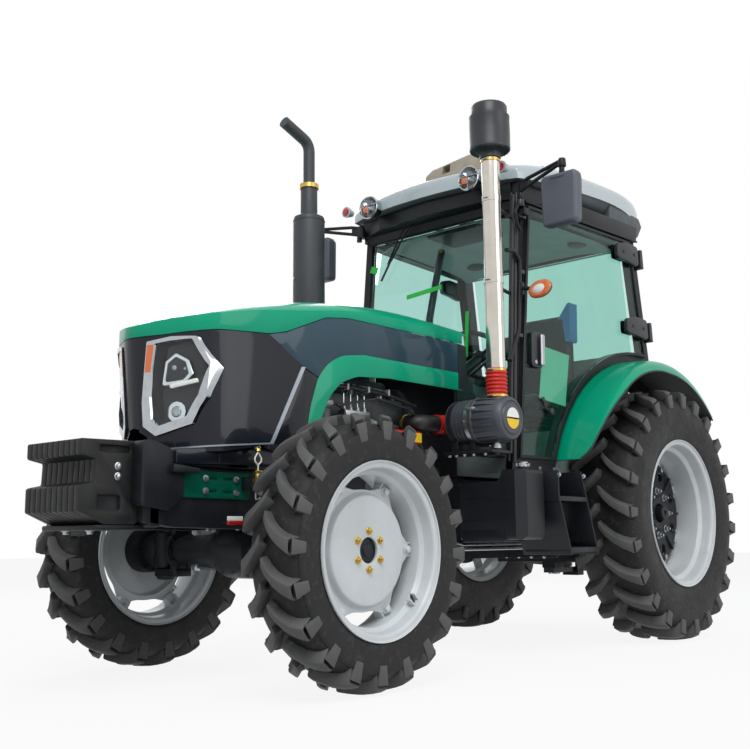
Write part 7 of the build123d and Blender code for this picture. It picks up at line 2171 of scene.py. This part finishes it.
def make_driveline():
    """Flanges, ribs, covers and pipes on the gearbox and the rear axle."""
    pieces = flange("bell_flange", -0.072, 0.274, (0.545, 0.992))
    pieces += flange("axle_flange", REAR_Y - 0.332, 0.244, (0.500, 0.994))
    for side in (1, -1):
        for y in (0.16, 0.42, 0.68, 0.92):
            rib = plate("rib", [(side * 0.198, 0.56), (side * 0.226, 0.60), (side * 0.226, 0.90), (side * 0.198, 0.94)],
                        "Y", (y - 0.009, y + 0.009), 0.003)
            put(pieces, "cast_black", rib)
        cover = plate("cover", rounded([(0.47, 0.62), (0.64, 0.62), (0.64, 0.84), (0.47, 0.84)], 0.03), "X",
                      (side * 0.198, side * 0.212), 0.003)
        put(pieces, "cast_black", cover)
        for y in (0.488, 0.622):
            for z in (0.638, 0.822):
                pieces.append(hexagon("cover_screw", (side * 0.212, y, z), OUT[side], 0.017, 0.009))
        for radius, z in ((0.009, 0.575), (0.007, 0.600)):
            pipe_run = pipe("oil_pipe", [(side * 0.245, -0.02, z + 0.02), (side * 0.238, 0.10, z),
                (side * 0.238, 1.00, z), (side * 0.250, 1.09, z + 0.10)], radius, 0.05)
            put(pieces, "zinc", pipe_run)
        brake = turned("brake_housing", (side * 0.300, REAR_Y, REAR_R), "X",
                       [(-side * 0.075, 0.150), (-side * 0.055, 0.168), (side * 0.020, 0.168), (side * 0.034, 0.150),
                        (side * 0.060, 0.118), (side * 0.066, 0.094)], sides=56)
        put(pieces, "cast_black", brake)
        screw = hexagon("brake_screw", (side * 0.322, REAR_Y, REAR_R + 0.155), OUT[side], 0.018, 0.010)
        pieces += around([screw], (side * 0.3, REAR_Y, REAR_R), "X", 10, 0.2)
        bead = turned("final_drive_bead", (side * 0.598, REAR_Y, REAR_R), "X",
                      [(-side * 0.014, 0.148), (-side * 0.010, 0.158), (side * 0.010, 0.158), (side * 0.014, 0.148)],
                      sides=56, ring=True)
        put(pieces, "cast_black", bead)
        lever = bar("brake_lever", (side * 0.300, REAR_Y - 0.17, REAR_R + 0.06), (side * 0.300, REAR_Y - 0.19, 1.00),
            0.008, sides=16)
        put(pieces, "zinc", lever)
    rear_face = REAR_Y + 0.300
    cover = plate("rear_cover", rounded([(-0.200, 0.520), (0.200, 0.520), (0.200, 0.850), (-0.200, 0.850)], 0.04), "Y",
                  (rear_face - 0.002, rear_face + 0.014), 0.003)
    put(pieces, "cast_black", cover)
    for x in (-0.18, -0.06, 0.06, 0.18):
        for z in (0.540, 0.830):
            pieces.append(hexagon("rear_screw", (x, rear_face + 0.014, z), "Y", 0.019, 0.010))
    collar = turned("shaft_collar", (0, rear_face, 0.640), "Y",
        [(0.010, 0.080), (0.024, 0.078), (0.032, 0.060), (0.062, 0.056), (0.066, 0.048)], sides=40)
    put(pieces, "cast_black", collar)
    spline = block("spline", (-0.0025, 0.0025), (rear_face + 0.066, rear_face + 0.132), (0.6555, 0.6592), 0.0005, 1)
    pieces += [painted(piece, "zinc") for piece in around([spline], (0, rear_face, 0.640), "Y", 6)]
    guard = sheet("shaft_guard", 12, 1, lambda u, v: (0.135 * cos(pi * (1.08 - 1.16 * u)),
        rear_face + 0.004 + 0.145 * v, 0.640 + 0.125 * sin(pi * (1.08 - 1.16 * u))))
    applied(guard, "SOLIDIFY", thickness=0.004, offset=0.0)
    put(pieces, "plate_black", eased(guard, 0.001, 1, 50))
    valve = block("valve_block", (0.130, 0.225), (rear_face + 0.004, rear_face + 0.100), (0.950, 1.060), 0.008)
    put(pieces, "cast_black", valve)
    for x, key in ((0.152, "red_paint"), (0.203, "amber_lens")):
        for z in (0.978, 1.030):
            pieces += [painted(bar("coupler", (x, rear_face + 0.09, z), (x, rear_face + 0.128, z), 0.016, sides=24,
                edge=0.002), "gold_zinc"), painted(bar("dust_cap", (x, rear_face + 0.124, z),
                (x, rear_face + 0.142, z), 0.019, 0.017, sides=24, edge=0.003), key)]
    fitted(joined("driveline_fittings", pieces), "chassis", "chassis_black")


def make_linkage():
    """Turnbuckles, ball ends and pins on the hitch, each on the part that carries it."""
    low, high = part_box("top_link")
    start, end = Vector((0, low.y + 0.028, high.z - 0.028)), Vector((0, high.y - 0.028, low.z + 0.028))
    way = (end - start).normalized()
    sleeve = [painted(bar("turnbuckle", start + way * 0.130, start + way * 0.390, 0.027, sides=6, edge=0.003),
        "plate_black"), painted(bar("lock_nut", start + way * 0.105, start + way * 0.130, 0.026, sides=6, edge=0.002),
        "zinc"), painted(bar("lock_nut", start + way * 0.390, start + way * 0.415, 0.026, sides=6, edge=0.002),
        "zinc"), painted(pipe("tommy_bar", [start + way * 0.20 + Vector((0.026, 0, 0)),
        start + way * 0.20 + Vector((0.06, 0, 0.01)), start + way * 0.34 + Vector((0.06, 0, 0.02))], 0.006, 0.02),
        "zinc")]
    for step in range(5):
        put(sleeve, "zinc", bar("thread", start + way * (0.070 + step * 0.007), start + way * (0.074 + step * 0.007),
            0.0185, sides=20))
    fitted(joined("top_link_sleeve", sleeve), "top_link", "chassis_black")

    low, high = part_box("lift_rods")
    for_rods = []
    for side in (1, -1):
        x = side * (high.x - 0.011)
        top, foot = Vector((x, low.y + 0.028, high.z - 0.028)), Vector((x, low.y + 0.036, low.z + 0.028))
        span = foot - top
        for_rods += [painted(bar("rod_sleeve", top + span * 0.30, top + span * 0.72, 0.0185, sides=24, edge=0.002),
                             "plate_black"),
                     painted(bar("rod_nut", top + span * 0.27, top + span * 0.30, 0.019, sides=6, edge=0.002), "zinc"),
                     painted(bar("rod_nut", top + span * 0.72, top + span * 0.75, 0.019, sides=6, edge=0.002), "zinc")]
    fitted(joined("lift_rod_sleeves", for_rods), "lift_rods", "chassis_black")

    low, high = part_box("lower_links")
    balls = []
    for side in (1, -1):
        centre = (side * 0.435, high.y - 0.032, 0.430)
        ball = turned("ball_end", centre, "X", [(-0.026, 0.0155), (-0.026, 0.021), (-0.019, 0.026), (0.019, 0.026),
                                                (0.026, 0.021), (0.026, 0.0155)], sides=40, ring=True)
        put(balls, "zinc", ball)
        collar = turned("ball_collar", centre, "X", [(-0.0228, 0.0265), (-0.0245, 0.0290), (0.0245, 0.0290),
            (0.0228, 0.0265)], sides=40, ring=True)
        put(balls, "plate_black", collar)
    fitted(joined("link_ball_ends", balls), "lower_links", "chassis_black")

    low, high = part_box("drawbar")
    pin_y = high.y - 0.045
    cap = turned("drawbar_bush", (0, pin_y, high.z), "Z", [(-0.001, 0.0170), (0.0, 0.027), (0.005, 0.026),
        (0.005, 0.0170)], sides=40, ring=True)
    edges = [painted(cap, "zinc")]
    for y in (low.y + 0.05, low.y + 0.09):
        edges.append(hexagon("drawbar_screw", (0.022, y, low.z - 0.001), "-Z", 0.020, 0.010))
        edges.append(hexagon("drawbar_screw", (-0.022, y, low.z - 0.001), "-Z", 0.020, 0.010))
    fitted(joined("drawbar_fittings", edges), "chassis", "chassis_black")


def make_rear_lamps():
    """Tail lamps on the fenders, with red and amber cells, and a bare plate holder on the cab's rear."""
    for side, label in ((1, "left"), (-1, "right")):
        y, z = REAR_Y + 0.625, 1.585
        shell = block("shell", (side * 0.640, side * 0.820), (y, y + 0.055), (z - 0.040, z + 0.040), 0.010, 3)
        foot = plate("foot", [(y + 0.004, z - 0.036), (y + 0.036, z - 0.036), (y + 0.050, z - 0.075),
            (y - 0.035, z - 0.028)], "X", (side * 0.700, side * 0.760), 0.003)
        red = block("red_cell", (side * 0.650, side * 0.745), (y + 0.048, y + 0.062), (z - 0.032, z + 0.032), 0.005, 2)
        amber = block("amber_cell", (side * 0.750, side * 0.812), (y + 0.048, y + 0.062), (z - 0.032, z + 0.032),
            0.005, 2)
        ribs = [block("lens_rib", (side * 0.652, side * 0.743), (y + 0.060, y + 0.0645),
            (z - 0.028 + 0.014 * k, z - 0.024 + 0.014 * k), 0.001, 1) for k in range(5)]
        pieces = [painted(shell, "abs_black"), painted(foot, "abs_black"), painted(red, "red_lens"),
            painted(amber, "amber_lens")]
        pieces += [painted(rib, "red_lens") for rib in ribs]
        fitted(joined("tail_lamp_" + label, pieces), "chassis", "lamp_glass")
    y = rear_edge(1.55) - 0.012
    plate_back = plate("plate_holder", rounded([(-0.17, 1.50), (0.17, 1.50), (0.17, 1.62), (-0.17, 1.62)], 0.012), "Y",
                       (y, y + 0.008), 0.002)
    blank = plate("blank_plate", rounded([(-0.155, 1.512), (0.155, 1.512), (0.155, 1.608), (-0.155, 1.608)], 0.008),
        "Y", (y + 0.008, y + 0.010))
    fitted(joined("plate_holder", [painted(plate_back, "abs_black"), painted(blank, "white_label")]), "chassis",
        "cab_black")


# ---------------------------------------------------------------- the tractor
set_studio()
set_camera()
make_tyres()
front_rim()
rear_rim()
make_hood()
make_weights()
make_front_frame()
make_engine()
make_radiator()
make_front_axle()
make_tank()
make_steps()
make_air_cleaner()
make_stack()
make_intake_hose()
make_exhaust()
make_doors()
make_cab_fittings()
make_roof()
make_roof_lamps()
make_mirrors()
make_fenders()
make_seat()
make_controls()
make_driveline()
make_linkage()
make_rear_lamps()
finish_nodes()
